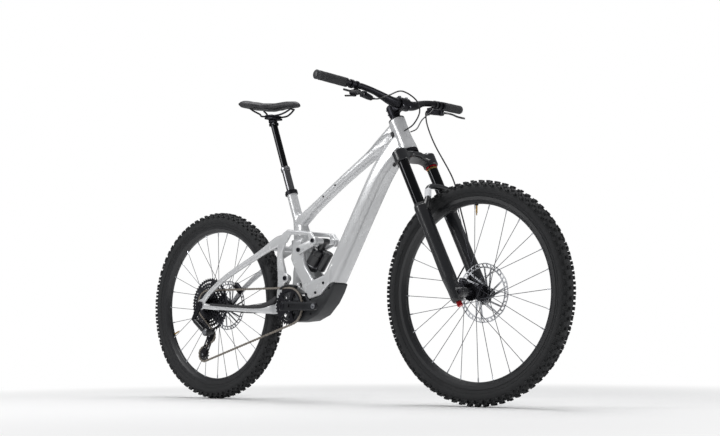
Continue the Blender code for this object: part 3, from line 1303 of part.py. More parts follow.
def build_stem():
    """Short stem with its spacers, clamped round the steerer and the bar."""
    profile = [(0.0, STEM_LOW), (0.0185, STEM_LOW), (0.0185, SPACER_TOP), (0.0200, SPACER_TOP),
               (0.0200, 0.762), (0.0165, 0.7655), (0.0, 0.7655)]
    stem = turned("stem", profile, (0, 0, 0), (0, 0, 1), 14)
    bridge = loft("bridge", [section(Vector((x, 0, STEM_CENTRE)), Vector((0, 1, 0)), Vector((0, 0, 1)),
                                     width, height, 4.0, 8)
                             for x, width, height in ((0.004, 0.036, 0.034), (0.044, 0.046, 0.034))])
    clamp = cross_rod("bar_clamp", (STEM_LENGTH, STEM_CENTRE), -STEM_FACE_WIDTH / 2, STEM_FACE_WIDTH / 2,
                      BAR_CLAMP_RADIUS + 0.0055, 14)
    stem = join(stem, bridge, clamp)
    stem = cut(stem, rod("steerer_room", (0, 0, 0.60), (0, 0, STEERER_TOP + 0.0005),
                         STEERER_RADIUS + GAP, 14),
               cross_rod("bar_room", (STEM_LENGTH, STEM_CENTRE), -0.1, 0.1,
                         BAR_CLAMP_RADIUS + POLYGON_GAP, 14))
    return finish(steered(stem), "black_anodised")


def bar_point(y):
    """Centre of the handlebar at a side distance."""
    marks = bar_marks()
    side = abs(y)
    for (x0, y0, z0, _), (x1, y1, z1, _) in zip(marks, marks[1:]):
        if side <= y1 or y1 == marks[-1][1]:
            share = (side - y0) / (y1 - y0)
            return Vector((x0 + share * (x1 - x0), y, z0 + share * (z1 - z0)))
    return None


def bar_marks():
    """Bends of one half of the handlebar as (x, y, z, radius share)."""
    middle = on_steerer(STEM_CENTRE, STEM_LENGTH)
    thin = BAR_RADIUS / BAR_CLAMP_RADIUS
    return [(middle[0], 0.0, middle[1], 1.0), (middle[0], 0.042, middle[1], 1.0),
            (middle[0] - 0.002, 0.075, middle[1] + 0.006, 0.88),
            (middle[0] - 0.012, 0.130, middle[1] + 0.024, thin),
            (middle[0] - 0.0195, 0.185, middle[1] + BAR_RISE, thin),
            (middle[0] - BAR_SWEEP, BAR_HALF_WIDTH, middle[1] + BAR_RISE + 0.012, thin)]


def build_handlebar():
    marks = bar_marks()
    points = [(x, -y, z, share) for x, y, z, share in marks[:0:-1]] + marks[1:]
    curve_points = [(x, y, z) for x, y, z, _ in points]
    shares = [share for *_, share in points]
    return finish(tube("handlebar", curve_points, BAR_CLAMP_RADIUS, 3, shares=shares), "black_anodised")


def build_grip(name, side):
    """Grip as a sleeve on the end of the bar."""
    start = bar_point(side * (BAR_HALF_WIDTH - GRIP_LENGTH))
    end = bar_point(side * BAR_HALF_WIDTH)
    way = (end - start).normalized()
    grip = rod(name, start, end + way * 0.003, GRIP_RADIUS, 16)
    hollow = rod("hollow", start - way * 0.01, end + way * GAP, BAR_RADIUS + GAP, 14)
    return finish(cut(grip, hollow), "grip_rubber")


def bar_ring(name, y, width, outer):
    """Clamp band round the bar at a side distance."""
    centre = bar_point(y)
    way = (bar_point(y + 0.005) - bar_point(y - 0.005)).normalized()
    return rod(name, centre - way * width / 2, centre + way * width / 2, outer, 12)


def bar_hole(y):
    centre = bar_point(y)
    way = (bar_point(y + 0.005) - bar_point(y - 0.005)).normalized()
    return rod("bar_hole", centre - way * 0.04, centre + way * 0.04, BAR_RADIUS + POLYGON_GAP, 12)


def build_levers():
    """Brake lever bodies and blades, one of each per side."""
    items = []
    for word, side in (("right", -1), ("left", 1)):
        place = LEVER_CLAMP * side
        band = bar_ring("lever_body_" + word, place, 0.011, 0.0155)
        centre = bar_point(place)
        arm = rod("arm", centre + Vector((0.010, 0, -0.006)), LEVER_FOOT * Vector((1, side, 1)), 0.0070, 8)
        cylinder = rod("cylinder", LEVER_TAIL * Vector((1, side, 1)), LEVER_FOOT * Vector((1, side, 1)),
                       0.0080, 10, 0.0095)
        fork_piece = block("hinge_piece", LEVER_HINGE * Vector((1, side, 1)) + Vector((-0.003,
                                                                                       -0.006 * side, 0.0)),
                           (0.018, 0.022, 0.020))
        body = join(band, arm, cylinder, fork_piece)
        slot = block("slot", LEVER_HINGE * Vector((1, side, 1)) + Vector((0.006, 0.004 * side, 0)),
                     (0.026, 0.030, 0.0088))
        body = cut(body, bar_hole(place), slot)
        if side > 0:
            body = join(body, block("dropper_arm", DROPPER_HINGE + Vector((0.009, 0, GAP + 0.008)),
                                    (0.036, 0.016, 0.016)))
        pin = rod("pin", LEVER_HINGE * Vector((1, side, 1)) + Vector((0, 0, -0.007)),
                  LEVER_HINGE * Vector((1, side, 1)) + Vector((0, 0, 0.007)), 0.0024, 8)
        body = join(body, pin)
        items.append((finish(body, "black_anodised"), build_blade("brake_lever_" + word, side)))
    return items


def build_blade(name, side):
    """Brake lever blade that turns about an upright pin."""
    flip = Vector((1, side, 1))
    hinge = LEVER_HINGE * flip
    path = [(0.000, 0.000, 0.0, 0.0095), (0.008, 0.012, 0.000, 0.0095), (0.014, 0.038, -0.001, 0.009),
            (0.010, 0.078, -0.004, 0.0095), (0.017, 0.116, -0.006, 0.0100)]
    rings = []
    for k, (x, y, z, width) in enumerate(path):
        before = Vector(path[max(k - 1, 0)][:3])
        after = Vector(path[min(k + 1, len(path) - 1)][:3])
        way = ((after - before) * flip).normalized()
        across = way.cross(Vector((0, 0, 1))).normalized()
        rings.append(section(hinge + Vector((x, y, z)) * flip, across, Vector((0, 0, 1)), 0.0065,
                             width * 0.82,
                             2.6, 8))
    blade = loft(name, rings)
    eye = rod("eye", hinge - Vector((0, 0, 0.0040)), hinge + Vector((0, 0, 0.0040)), 0.0068, 12)
    bore = rod("eye_bore", hinge - Vector((0, 0, 0.02)), hinge + Vector((0, 0, 0.02)),
               0.0024 + RUNNING_GAP, 8)
    return finish(cut(join(blade, eye), bore), "black_anodised")


def build_controls():
    """Shifter pod and paddle on the right, remote, button and dropper lever on the left."""
    right = bar_point(-CONTROL_PLACE)
    pod_centre = right + Vector((-0.012, 0.006, -0.0215))
    pod = join(bar_ring("shifter_body", -CONTROL_PLACE, 0.009, 0.0150),
               block("pod", pod_centre, (0.034, 0.030, 0.018)))
    pod = cut(pod, bar_hole(-CONTROL_PLACE))
    hinge = pod_centre + Vector((-0.002, -0.002, -0.009 - GAP))
    paddle = rod("shifter_paddle", hinge, hinge + Vector((0, 0, -0.005)), 0.0070, 14)
    paddle = join(paddle, block("paddle", hinge + Vector((-0.014, -0.012, -0.0025)), (0.030, 0.013, 0.0045),
                                Matrix.Rotation(math.radians(40), 4, "Z")))
    left = bar_point(CONTROL_PLACE)
    case_centre = left + Vector((-0.010, 0.0, -0.018))
    case = join(bar_ring("control_remote", CONTROL_PLACE, 0.009, 0.0150),
                block("case", case_centre, (0.022, 0.030, 0.020)))
    case = cut(case, bar_hole(CONTROL_PLACE),
               rod("button_room", case_centre + Vector((-0.02, 0, 0)), case_centre + Vector((-0.0070, 0,
                                                                                             0)),
                   0.0045 + GAP, 12))
    button = rod("remote_button", case_centre + Vector((-0.0135, 0, 0)),
                 case_centre + Vector((-0.0090, 0, 0)), 0.0045, 12)
    drop_hinge = DROPPER_HINGE
    lever = rod("dropper_lever", drop_hinge, drop_hinge + Vector((0, 0, -0.005)), 0.0075, 14)
    lever = join(lever, block("thumb", drop_hinge + Vector((-0.017, 0.014, -0.0025)), (0.036, 0.014,
                                                                                       0.0045),
                              Matrix.Rotation(math.radians(-40), 4, "Z")))
    return {"shifter_body": finish(pod, "black_anodised"), "shifter_paddle": finish(paddle,
                                                                                    "black_anodised"),
            "control_remote": finish(case, "black_anodised"), "remote_button": finish(button,
                                                                                      "crank_black"),
            "dropper_lever": finish(lever, "black_anodised"),
            "paddle_hinge": hinge}


def build_calipers():
    """Brake calipers, each with a slot round its disc."""
    angle = math.radians(137.0)
    centre = (FORK_OFFSET + CALIPER_REACH * math.cos(angle), CALIPER_REACH * math.sin(angle))
    turn = Matrix.Rotation(-angle, 4, "Y")
    front = soften(block("front_caliper", at(centre, 0.0455), (CALIPER_HEIGHT, 0.0250, CALIPER_LENGTH),
                         turn), 0.004)
    slot_centre = between((FORK_OFFSET, 0.0), centre, 0.886)
    slot = block("slot", at(slot_centre, FRONT_ROTOR_PLACE), (0.040, CALIPER_SLOT, 0.12), turn)
    front = steered(cut(front, slot))
    angle = math.radians(46.0)
    centre = (REAR_AXLE[0] + CALIPER_REACH * math.cos(angle),
              REAR_AXLE[1] + CALIPER_REACH * math.sin(angle))
    turn = Matrix.Rotation(-angle, 4, "Y")
    rear = block("rear_caliper", at(centre, REAR_ROTOR_PLACE - 0.001), (CALIPER_HEIGHT, 0.0150,
                                                                        CALIPER_LENGTH), turn)
    rear = soften(rear, 0.003)
    slot_centre = between(REAR_AXLE, centre, 0.886)
    slot = block("slot", at(slot_centre, REAR_ROTOR_PLACE), (0.040, CALIPER_SLOT - 0.0005, 0.12), turn)
    return finish(front, "caliper_black"), finish(cut(rear, slot), "caliper_black")


def smooth_path(points, steps):
    """Points of a smooth line through a few places."""
    places = [Vector(p) for p in points]
    places = [2 * places[0] - places[1]] + places + [2 * places[-1] - places[-2]]
    line = []
    for k in range(1, len(places) - 2):
        a, b, c, d = places[k - 1:k + 3]
        for j in range(steps):
            t = j / steps
            line.append(0.5 * (2 * b + (c - a) * t + (2 * a - 5 * b + 4 * c - d) * t * t
                               + (3 * b - a - 3 * c + d) * t ** 3))
    line.append(places[-2])
    return line


def build_hoses():
    """Both brake hoses and the dropper cable along their real routes."""
    tail = LEVER_TAIL + Vector((-0.0008, -0.0085, -0.0004))
    front = [tail, (0.332, 0.140, 1.036), (0.344, 0.134, 0.990), (0.385, 0.125, 0.912),
             (0.476, 0.107, 0.778), (0.506, 0.1070, 0.670), (0.535, 0.1068, 0.560),
             (0.537, 0.1040, 0.500), (0.520, 0.074, 0.437), (0.5230, 0.0500, 0.4140),
             (0.5415, 0.0455, 0.4052)]
    rear = [tail * Vector((1, -1, 1)), (0.337, -0.126, 1.050), (0.354, -0.090, 1.066),
            (0.366, -0.035, 1.087), (0.393, 0.008, 1.059), (0.408, 0.010, 1.015),
            (0.395, -0.008, 0.970), (0.3602, -0.0166, 0.9495)]
    cable = [DROPPER_HINGE + Vector((0.014, -0.0082 - REMOTE_CABLE_RADIUS, 0.0085)),
             (0.346, 0.165, 1.058), (0.353, 0.146, 1.043), (0.351, 0.095, 1.006),
             (0.374, 0.035, 0.962), (0.3602, 0.0166, 0.9495)]
    items = []
    for name, points, radius in (("front_brake_hose", front, BRAKE_HOSE_RADIUS),
                                 ("rear_brake_hose", rear, BRAKE_HOSE_RADIUS),
                                 ("dropper_cable", cable, REMOTE_CABLE_RADIUS)):
        items.append(finish(tube(name, smooth_path(points, HOSE_STEPS), radius, 2), "hose_black"))
    return items


def build_bike():
    """Builds every piece and hangs the moving ones on their joints."""
    build_frame()
    build_battery()
    build_motor()
    build_cover()
    build_headset()
    collar, outer, inner = build_post()
    cushion = build_cushion()
    rails = build_rails()
    hang("dropper_slide", at(on_seat(POST_COLLAR)), [inner, cushion, rails])
    crown = build_crown()
    stanchions = build_stanchions()
    stem = build_stem()
    bar = build_handlebar()
    grips = [build_grip("grip_right", -1), build_grip("grip_left", 1)]
    levers = build_levers()
    controls = build_controls()
    hoses = build_hoses()
    fixed = [crown, stem, bar, controls["shifter_body"], controls["control_remote"]]
    fixed += stanchions + grips + hoses
    fixed += [body for body, _ in levers]
    hang("steering", at(on_steerer(HEAD_BOTTOM)), fixed)
    for side, (_, blade) in zip((-1, 1), levers):
        hang(blade.name + "_pin", LEVER_HINGE * Vector((1, side, 1)), [blade])
    hang("paddle_pin", controls["paddle_hinge"], [controls["shifter_paddle"]])
    hang("dropper_pin", DROPPER_HINGE, [controls["dropper_lever"]])
    hang("button_slide", bar_point(CONTROL_PLACE), [controls["remote_button"]])
    front_caliper, rear_caliper = build_calipers()
    knob = build_rebound_knob()
    hang("knob_axis", at(on_steerer(LEG_BOTTOM, STANCHION_OFFSET), -STANCHION_SPACING / 2), [knob])
    hang("fork_slide", at(on_steerer(0.0)), [build_lowers(), build_front_axle(), front_caliper])
    wheel = [build_tyre("front_tyre", FRONT_AXLE), build_rim("front_rim", FRONT_AXLE), build_front_hub(),
             build_rotor("front_rotor", FRONT_AXLE, FRONT_ROTOR_PLACE)]
    hang("front_wheel", at(FRONT_AXLE), wheel)
    wheel = [build_tyre("rear_tyre", REAR_AXLE), build_rim("rear_rim", REAR_AXLE), build_rear_hub(),
             build_rotor("rear_rotor", REAR_AXLE, REAR_ROTOR_PLACE)]
    hang("rear_wheel", at(REAR_AXLE), wheel)
    hang("cassette_axis", at(REAR_AXLE), [build_cassette()])
    hang("lower_pivot", at(P_LOWER), [build_lower_link()])
    hang("upper_pivot", at(P_UPPER), [build_upper_link()])
    shaft, can = build_shock()
    hang("shock_pivot", at(P_FOOT), [shaft, can])
    hang("crank_axis", at(BB), [build_crank("crank_right", -1), build_crank("crank_left", 1),
                                build_chainring()])
    build_chain()
    mount, link, knuckle, cage, upper, lower = build_derailleur()
    hang("swing_pivot", at(P_SWING), [build_swingarm(), build_rear_axle(), rear_caliper, mount])
    start, end = link_ends()
    hang("link_axis", at(start, -KNUCKLE_PLACE), [link])
    hang("knuckle_axis", at(end, -KNUCKLE_PLACE), [knuckle])
    hang("cage_axis", at(shifted(REAR_AXLE, DERAILLEUR_TIP)), [cage])
    places = pulley_places()
    hang("pulley_upper_axis", at(places[0]), [upper])
    hang("pulley_lower_axis", at(places[1]), [lower])


def main():
    remove_everything()
    make_collection(PARTS)
    for name, (colour, roughness, metallic) in MATERIALS.items():
        make_material(name, colour, roughness, metallic)
    build_bike()


main()
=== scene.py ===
"""Dressed model of the electric mountain bike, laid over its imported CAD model.

Metres throughout. +X is the way the bike rides, +Y its left side, +Z up.
"""

import logging
import math
from dataclasses import dataclass, field
from enum import Enum
from typing import Callable, Optional, Sequence, TypeVar

import bpy
from mathutils import Matrix, Vector

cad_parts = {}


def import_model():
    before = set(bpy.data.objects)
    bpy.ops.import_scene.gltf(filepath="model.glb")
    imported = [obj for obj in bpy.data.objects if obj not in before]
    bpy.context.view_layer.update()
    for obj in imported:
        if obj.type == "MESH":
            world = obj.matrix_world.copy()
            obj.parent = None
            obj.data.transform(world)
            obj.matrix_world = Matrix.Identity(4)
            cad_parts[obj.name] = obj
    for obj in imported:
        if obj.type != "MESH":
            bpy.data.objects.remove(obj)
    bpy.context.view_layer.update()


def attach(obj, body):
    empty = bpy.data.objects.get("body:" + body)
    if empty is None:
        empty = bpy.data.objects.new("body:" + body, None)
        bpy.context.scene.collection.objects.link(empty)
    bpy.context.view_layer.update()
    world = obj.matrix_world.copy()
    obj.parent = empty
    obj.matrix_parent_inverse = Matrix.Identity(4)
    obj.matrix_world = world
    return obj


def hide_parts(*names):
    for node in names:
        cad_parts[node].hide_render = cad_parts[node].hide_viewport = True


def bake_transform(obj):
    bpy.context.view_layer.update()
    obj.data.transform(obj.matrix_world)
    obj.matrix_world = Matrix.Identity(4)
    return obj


logging.basicConfig(level=logging.INFO, format="%(message)s")
LOG = logging.getLogger("bike")

Point = tuple[float, float]
Piece = bpy.types.Object
Value = TypeVar("Value", float, Vector)
MM = 0.001
UP = Vector((0, 0, 1))

# Both sides of the bike, with the sign of their Y
SIDES = (("right", -1), ("left", 1))

# Places of the real bike, as on its drawing: side view points are (x, z)
REAR_AXLE: Point = (-0.6425, 0.3725)
FRONT_AXLE: Point = (0.6425, 0.3725)
CRANK_AXLE: Point = (-0.1800, 0.3520)
HEAD_ANGLE = math.radians(65.0)
FORK_OFFSET = 0.037
STEER_UP: Point = (-math.cos(HEAD_ANGLE), math.sin(HEAD_ANGLE))
STEER_FORWARD: Point = (math.sin(HEAD_ANGLE), math.cos(HEAD_ANGLE))
STEER_FOOT: Point = (FRONT_AXLE[0] - FORK_OFFSET * STEER_FORWARD[0],
                     FRONT_AXLE[1] - FORK_OFFSET * STEER_FORWARD[1])
SEAT_ANGLE = math.radians(70.7)
SEAT_UP: Point = (-math.cos(SEAT_ANGLE), math.sin(SEAT_ANGLE))
SEAT_FOOT: Point = (CRANK_AXLE[0] - 0.038, CRANK_AXLE[1] + 0.438)
UPPER_PIVOT: Point = (CRANK_AXLE[0] + 0.050, CRANK_AXLE[1] + 0.208)
SHOCK_PIVOT: Point = (CRANK_AXLE[0] + 0.137, CRANK_AXLE[1] + 0.236)
SWING_PIVOT: Point = (CRANK_AXLE[0] - 0.026, CRANK_AXLE[1] + 0.106)
LOWER_PIVOT: Point = (CRANK_AXLE[0] - 0.051, CRANK_AXLE[1] - 0.018)
SHOCK_FOOT: Point = (CRANK_AXLE[0] + 0.015, CRANK_AXLE[1] + 0.076)
# Outer face of the dropouts, and the gap that pieces keep from it
DROPOUT_FACE = 0.0863
DROPOUT_GAP = 0.0003
# The battery's line in the down tube, from the motor up
BATTERY_FOOT: Point = (0.0017, 0.4305)
BATTERY_WAY: Point = (0.530, 0.848)
# Where the seat post's thumb lever turns, as (x, y, z)
DROPPER_HINGE = (0.312, 0.190, 1.054)
CHAIN_LINE = -0.050
CHAIN_PITCH = 0.0127
CHAINRING_TEETH = 34
COG_TEETH = (10, 12, 14, 16, 18, 21, 24, 28, 32, 38, 44, 52)
CHAIN_COG = 28
PULLEY_TEETH = (12, 14)
STEERING_TURN = Matrix.Translation((STEER_FOOT[0], 0.0, STEER_FOOT[1])) @ Matrix.Rotation(
    HEAD_ANGLE - math.pi / 2, 4, "Y")


def at(place: Point, y: float = 0.0) -> Vector:
    """A point of the side view, lifted off the middle plane by y."""
    return Vector((place[0], y, place[1]))


def shifted(place: Point, offset: Point) -> Point:
    """A side view point moved by an offset."""
    return (place[0] + offset[0], place[1] + offset[1])


def between(first: Point, second: Point, share: float) -> Point:
    """The side view point at a share of the way from first to second."""
    return (first[0] + share * (second[0] - first[0]), first[1] + share * (second[1] - first[1]))


def distance(first: Point, second: Point) -> float:
    """Distance of two side view points."""
    return math.hypot(second[0] - first[0], second[1] - first[1])


def on_steerer(along: float, forward: float = 0.0) -> Point:
    """The side view point at a distance up the steering axis and forward of it."""
    return (STEER_FOOT[0] + along * STEER_UP[0] + forward * STEER_FORWARD[0],
            STEER_FOOT[1] + along * STEER_UP[1] + forward * STEER_FORWARD[1])


def on_seat(along: float) -> Point:
    """The side view point at a distance up the seat tube from its clamp."""
    return (SEAT_FOOT[0] + along * SEAT_UP[0], SEAT_FOOT[1] + along * SEAT_UP[1])


def on_shock(along: float, off: float = 0.0) -> Point:
    """The side view point at a distance up the shock from its foot, off towards the front.

    Args:
        along: Distance from the shock's foot.
        off: Distance from its middle line, to the front.

    Returns:
        The point.
    """
    length = distance(SHOCK_FOOT, SHOCK_PIVOT)
    up = ((SHOCK_PIVOT[0] - SHOCK_FOOT[0]) / length, (SHOCK_PIVOT[1] - SHOCK_FOOT[1]) / length)
    return (SHOCK_FOOT[0] + along * up[0] + off * up[1], SHOCK_FOOT[1] + along * up[1] - off * up[0])


def on_battery(along: float) -> Point:
    """The side view point at a distance up the battery's line."""
    return (BATTERY_FOOT[0] + along * BATTERY_WAY[0], BATTERY_FOOT[1] + along * BATTERY_WAY[1])


def polar(centre: Point, radius: float, turn: float) -> Point:
    """The side view point at a radius from a centre, turn in radians from +X."""
    return (centre[0] + radius * math.cos(turn), centre[1] + radius * math.sin(turn))


def arc(centre: Point, radius: float, start: float, end: float, steps: int) -> list[Point]:
    """Points of an arc in the side view, angles in degrees."""
    turns = [math.radians(start + (end - start) * k / steps) for k in range(steps + 1)]
    return [polar(centre, radius, t) for t in turns]


def circle(centre: Point, radius: float, steps: int = 32) -> list[Point]:
    """Points of a whole circle in the side view."""
    return arc(centre, radius, 0.0, 360.0, steps)[:-1]


def tongue(start: Point, end: Point, start_radius: float, end_radius: float, steps: int = 12) -> list[Point]:
    """Outline round two circles that are joined by straight sides.

    Args:
        start: Centre of the first circle.
        end: Centre of the second circle.
        start_radius: Radius of the first.
        end_radius: Radius of the second.
        steps: Edges round each end.

    Returns:
        The points of the outline.
    """
    angle = math.degrees(math.atan2(end[1] - start[1], end[0] - start[0]))
    points = arc(start, start_radius, angle + 90, angle + 270, steps)
    return points + arc(end, end_radius, angle - 90, angle + 90, steps)


def cubic(a: Value, b: Value, c: Value, d: Value, t: float) -> Value:
    """The number or point at a share t of a smooth way from b to c, with a before and d after them."""
    return 0.5 * (2 * b + (c - a) * t + (2 * a - 5 * b + 4 * c - d) * t * t
                  + (3 * b - a - 3 * c + d) * t ** 3)


def smooth_line(points: Sequence[Vector], steps: int) -> list[Vector]:
    """Points of a smooth line through a few places.

    Args:
        points: The places that the line passes.
        steps: How many points each stretch gets.

    Returns:
        The points of the line, first and last place included.
    """
    places = [Vector(p) for p in points]
    places = [2 * places[0] - places[1]] + places + [2 * places[-1] - places[-2]]
    line = []
    for k in range(1, len(places) - 2):
        a, b, c, d = places[k - 1:k + 3]
        for j in range(steps):
            line.append(cubic(a, b, c, d, j / steps))
    line.append(places[-2])
    return line


# Materials

def linear(code: str) -> tuple[float, float, float, float]:
    """Turns an sRGB hex colour such as "#d8dade" to the linear colour that shaders use.

    Args:
        code: The colour.

    Returns:
        Red, green, blue and a full alpha.
    """
    values = [int(code[k:k + 2], 16) / 255 for k in (1, 3, 5)]
    red, green, blue = [v / 12.92 if v <= 0.04045 else ((v + 0.055) / 1.055) ** 2.4 for v in values]
    return (red, green, blue, 1.0)


def add_node(tree: bpy.types.NodeTree, kind: str, settings: Optional[dict] = None,
             links: Optional[dict] = None) -> bpy.types.Node:
    """Adds a shader node with its values and the links into it.

    Args:
        tree: The node tree.
        kind: The node's type name.
        settings: Values by property name, or by socket name where the node has that socket.
        links: Output sockets by the name or number of the input that they feed.

    Returns:
        The new node.
    """
    node = tree.nodes.new(kind)
    for name, value in (settings or {}).items():
        if name in node.inputs:
            node.inputs[name].default_value = value
        else:
            setattr(node, name, value)
    for name, output in (links or {}).items():
        tree.links.new(output, node.inputs[name])
    return node


class Grain(Enum):
    """How a surface was made, which gives its fine relief."""

    SMOOTH = "smooth"
    FLAKE = "flake"
    BLASTED = "blasted"
    BRUSHED = "brushed"
    MOULDED = "moulded"
    LEATHER = "leather"


@dataclass(frozen=True)
class Finish:
    """One finish of the bike: what it is made of, its colours and its relief.

    The grain size is a real size in millimetres. Wear is how far the roughness
    wanders from its value, as handling leaves it.
    """

    name: str
    colour: str
    second: str
    roughness: float
    metallic: float = 0.0
    coat: float = 0.0
    grain: Grain = Grain.SMOOTH
    grain_mm: float = 1.0
    relief_mm: float = 0.0
    wear: float = 0.05
    spread_mm: float = 60.0

    def material(self) -> bpy.types.Material:
        """The Blender material of this finish, made on first use.

        Returns:
            The material.
        """
        found = bpy.data.materials.get(self.name)
        if found:
            return found
        made = bpy.data.materials.new(self.name)
        made.use_nodes = True
        tree = made.node_tree
        tree.nodes.clear()
        place = add_node(tree, "ShaderNodeTexCoord").outputs["Object"]
        cloud = add_node(tree, "ShaderNodeTexNoise", {"Scale": 1000.0 / self.spread_mm, "Detail": 3.0},
                         {"Vector": place})
        tone = add_node(tree, "ShaderNodeMix", {"data_type": "RGBA"}, {0: cloud.outputs["Fac"]})
        tone.inputs[6].default_value = linear(self.colour)
        tone.inputs[7].default_value = linear(self.second)
        rough = add_node(tree, "ShaderNodeMapRange",
                         {"To Min": max(0.02, self.roughness - self.wear),
                          "To Max": self.roughness + self.wear}, {"Value": cloud.outputs["Fac"]})
        shader = add_node(tree, "ShaderNodeBsdfPrincipled",
                          {"Metallic": self.metallic, "Coat Weight": self.coat, "Coat Roughness": 0.08},
                          {"Base Color": tone.outputs[2], "Roughness": rough.outputs["Result"]})
        if self.relief_mm > 0.0:
            bump = add_node(tree, "ShaderNodeBump", {"Strength": 0.6, "Distance": self.relief_mm * MM},
                            {"Height": self.height(tree, place)})
            tree.links.new(bump.outputs["Normal"], shader.inputs["Normal"])
        output = add_node(tree, "ShaderNodeOutputMaterial")
        tree.links.new(shader.outputs["BSDF"], output.inputs["Surface"])
        made.diffuse_color = linear(self.colour)
        return made

    def height(self, tree: bpy.types.NodeTree, place: bpy.types.NodeSocket) -> bpy.types.NodeSocket:
        """The relief's height pattern.

        Args:
            tree: The material's node tree.
            place: The socket that gives the object coordinates.

        Returns:
            The output socket with the height.
        """
        scale = 1000.0 / self.grain_mm
        if self.grain in (Grain.LEATHER, Grain.MOULDED):
            cells = add_node(tree, "ShaderNodeTexVoronoi", {"Scale": scale, "feature": "DISTANCE_TO_EDGE"},
                             {"Vector": place})
            return cells.outputs["Distance"]
        if self.grain is Grain.BRUSHED:
            stretch = add_node(tree, "ShaderNodeMapping", {"Scale": (1.0, 0.06, 1.0)}, {"Vector": place})
            lines = add_node(tree, "ShaderNodeTexNoise", {"Scale": scale, "Detail": 2.0},
                             {"Vector": stretch.outputs["Vector"]})
            return lines.outputs["Fac"]
        grit = add_node(tree, "ShaderNodeTexNoise", {"Scale": scale, "Detail": 2.0}, {"Vector": place})
        return grit.outputs["Fac"]


# Pearl lacquer over aluminium: pale silver with a clear coat and a slow drift in tone
PEARL_PAINT = Finish("pearl_paint", "#c6c7c9", "#d3d4d5", 0.27, 0.25, 0.7, Grain.SMOOTH, 0.8, 0.0, 0.03)
# Cast magnesium in gloss black enamel, smooth with soft reflections
BLACK_ENAMEL = Finish("black_enamel", "#16171a", "#1c1d21", 0.30, 0.0, 0.35, Grain.FLAKE, 1.5, 0.02)
# Hard anodised aluminium, bead blasted: dark, satin, faintly metallic
BLACK_ANODISED = Finish("black_anodised", "#1b1c1f", "#222327", 0.38, 0.75, 0.0, Grain.BLASTED, 0.5, 0.03)
# Forged and anodised arm, a little duller, rubbed by shoes
FORGED_BLACK = Finish("forged_black", "#1a1b1e", "#25262a", 0.42, 0.6, 0.0, Grain.BLASTED, 0.6, 0.04, 0.10)
# Polished slider coating, almost a mirror in black
SLIDER_COATING = Finish("slider_coating", "#101114", "#141519", 0.12, 0.85, 0.3)
# Tyre rubber, moulded and matt with a fine grain
TYRE_RUBBER = Finish("tyre_rubber", "#17181a", "#1e1f21", 0.78, 0.0, 0.0, Grain.FLAKE, 1.2, 0.10, 0.08)
# Soft grip rubber, a bit greyer than the tyre
GRIP_RUBBER = Finish("grip_rubber", "#2b2b2e", "#333337", 0.72, 0.0, 0.0, Grain.FLAKE, 0.9, 0.08)
# Carbon rim in satin lacquer
RIM_LACQUER = Finish("rim_lacquer", "#141518", "#191a1d", 0.40, 0.1, 0.2, Grain.FLAKE, 1.0, 0.01)
# Drawn steel wire, blackened, which shines along its length
SPOKE_STEEL = Finish("spoke_steel", "#3a3b3f", "#4a4b50", 0.28, 0.95)
# Plated brass nipple, bright
NIPPLE_PLATE = Finish("nipple_plate", "#c9cbd0", "#d8dade", 0.22, 1.0)
# Turned brass valve
VALVE_BRASS = Finish("valve_brass", "#b08d4c", "#c09c58", 0.28, 1.0)
# Stamped stainless disc, ground in circles
DISC_STEEL = Finish("disc_steel", "#c2c4c8", "#d0d2d6", 0.36, 1.0, 0.0, Grain.BRUSHED, 0.9, 0.03)
# Sprockets in black oxide with bare teeth: dark steel
SPROCKET_STEEL = Finish("sprocket_steel", "#3a3a3e", "#55555a", 0.32, 1.0, 0.0, Grain.BLASTED, 0.8, 0.03)
# Chain plates, nickel that has dulled to warm grey
CHAIN_STEEL = Finish("chain_steel", "#857c73", "#9a9188", 0.33, 1.0)
# Motor housing, die-cast and coated grey-black
CAST_GREY = Finish("cast_grey", "#2a2b2e", "#323337", 0.48, 0.5, 0.0, Grain.BLASTED, 1.4, 0.06)
# Glass-filled nylon cover, satin with a fine moulded texture
COVER_NYLON = Finish("cover_nylon", "#1b1d20", "#212327", 0.50, 0.0, 0.0, Grain.FLAKE, 0.9, 0.05)
# Seat tube of the dropper, grey anodised
POST_GREY = Finish("post_grey", "#5a5b5f", "#66676b", 0.30, 0.85, 0.0, Grain.BRUSHED, 0.8, 0.02)
# Bright turned ring
BRIGHT_RING = Finish("bright_ring", "#b9bbc0", "#c6c8cc", 0.2, 1.0)
# Synthetic leather of the saddle
SADDLE_LEATHER = Finish("saddle_leather", "#202023", "#28282b", 0.52, 0.0, 0.0, Grain.LEATHER,
                        1.3, 0.10, 0.06)
# Saddle shell and other plain moulded nylon
SHELL_NYLON = Finish("shell_nylon", "#18191b", "#1e1f22", 0.45, 0.0, 0.0, Grain.FLAKE, 1.0, 0.04)
# Hose and cable jackets, smooth extruded plastic
HOSE_JACKET = Finish("hose_jacket", "#1d1d20", "#252528", 0.36)
# Red anodised adjuster and seal ring
RED_ANODISED = Finish("red_anodised", "#a3161d", "#b31c22", 0.30, 0.8)
# Gold mark on the slider, dull
GOLD_MARK = Finish("gold_mark", "#8a7138", "#9a8044", 0.4, 0.6)
# Painted highlight on the fork arch: a pale patch that stands in for the reflection of light on the arch's
# shoulder
PAINTED_ARCH_HIGHLIGHT = Finish("pale_patch", "#d9dadd", "#e2e3e6", 0.42)
# Stainless bolt heads, blackened
BOLT_STEEL = Finish("bolt_steel", "#24252a", "#303136", 0.32, 0.9)
# Bare stainless pins
PIN_STEEL = Finish("pin_steel", "#96989d", "#a6a8ad", 0.28, 1.0)
# Near-black for the inside of a hole: painted shade
HOLE_SHADE_BLACK = Finish("hole_black", "#08080a", "#0b0b0d", 0.8)
# Rubber seals and the guard on the stay
GUARD_RUBBER = Finish("guard_rubber", "#1c1c1f", "#232327", 0.62, 0.0, 0.0, Grain.FLAKE, 1.1, 0.08)


# Modelling steps

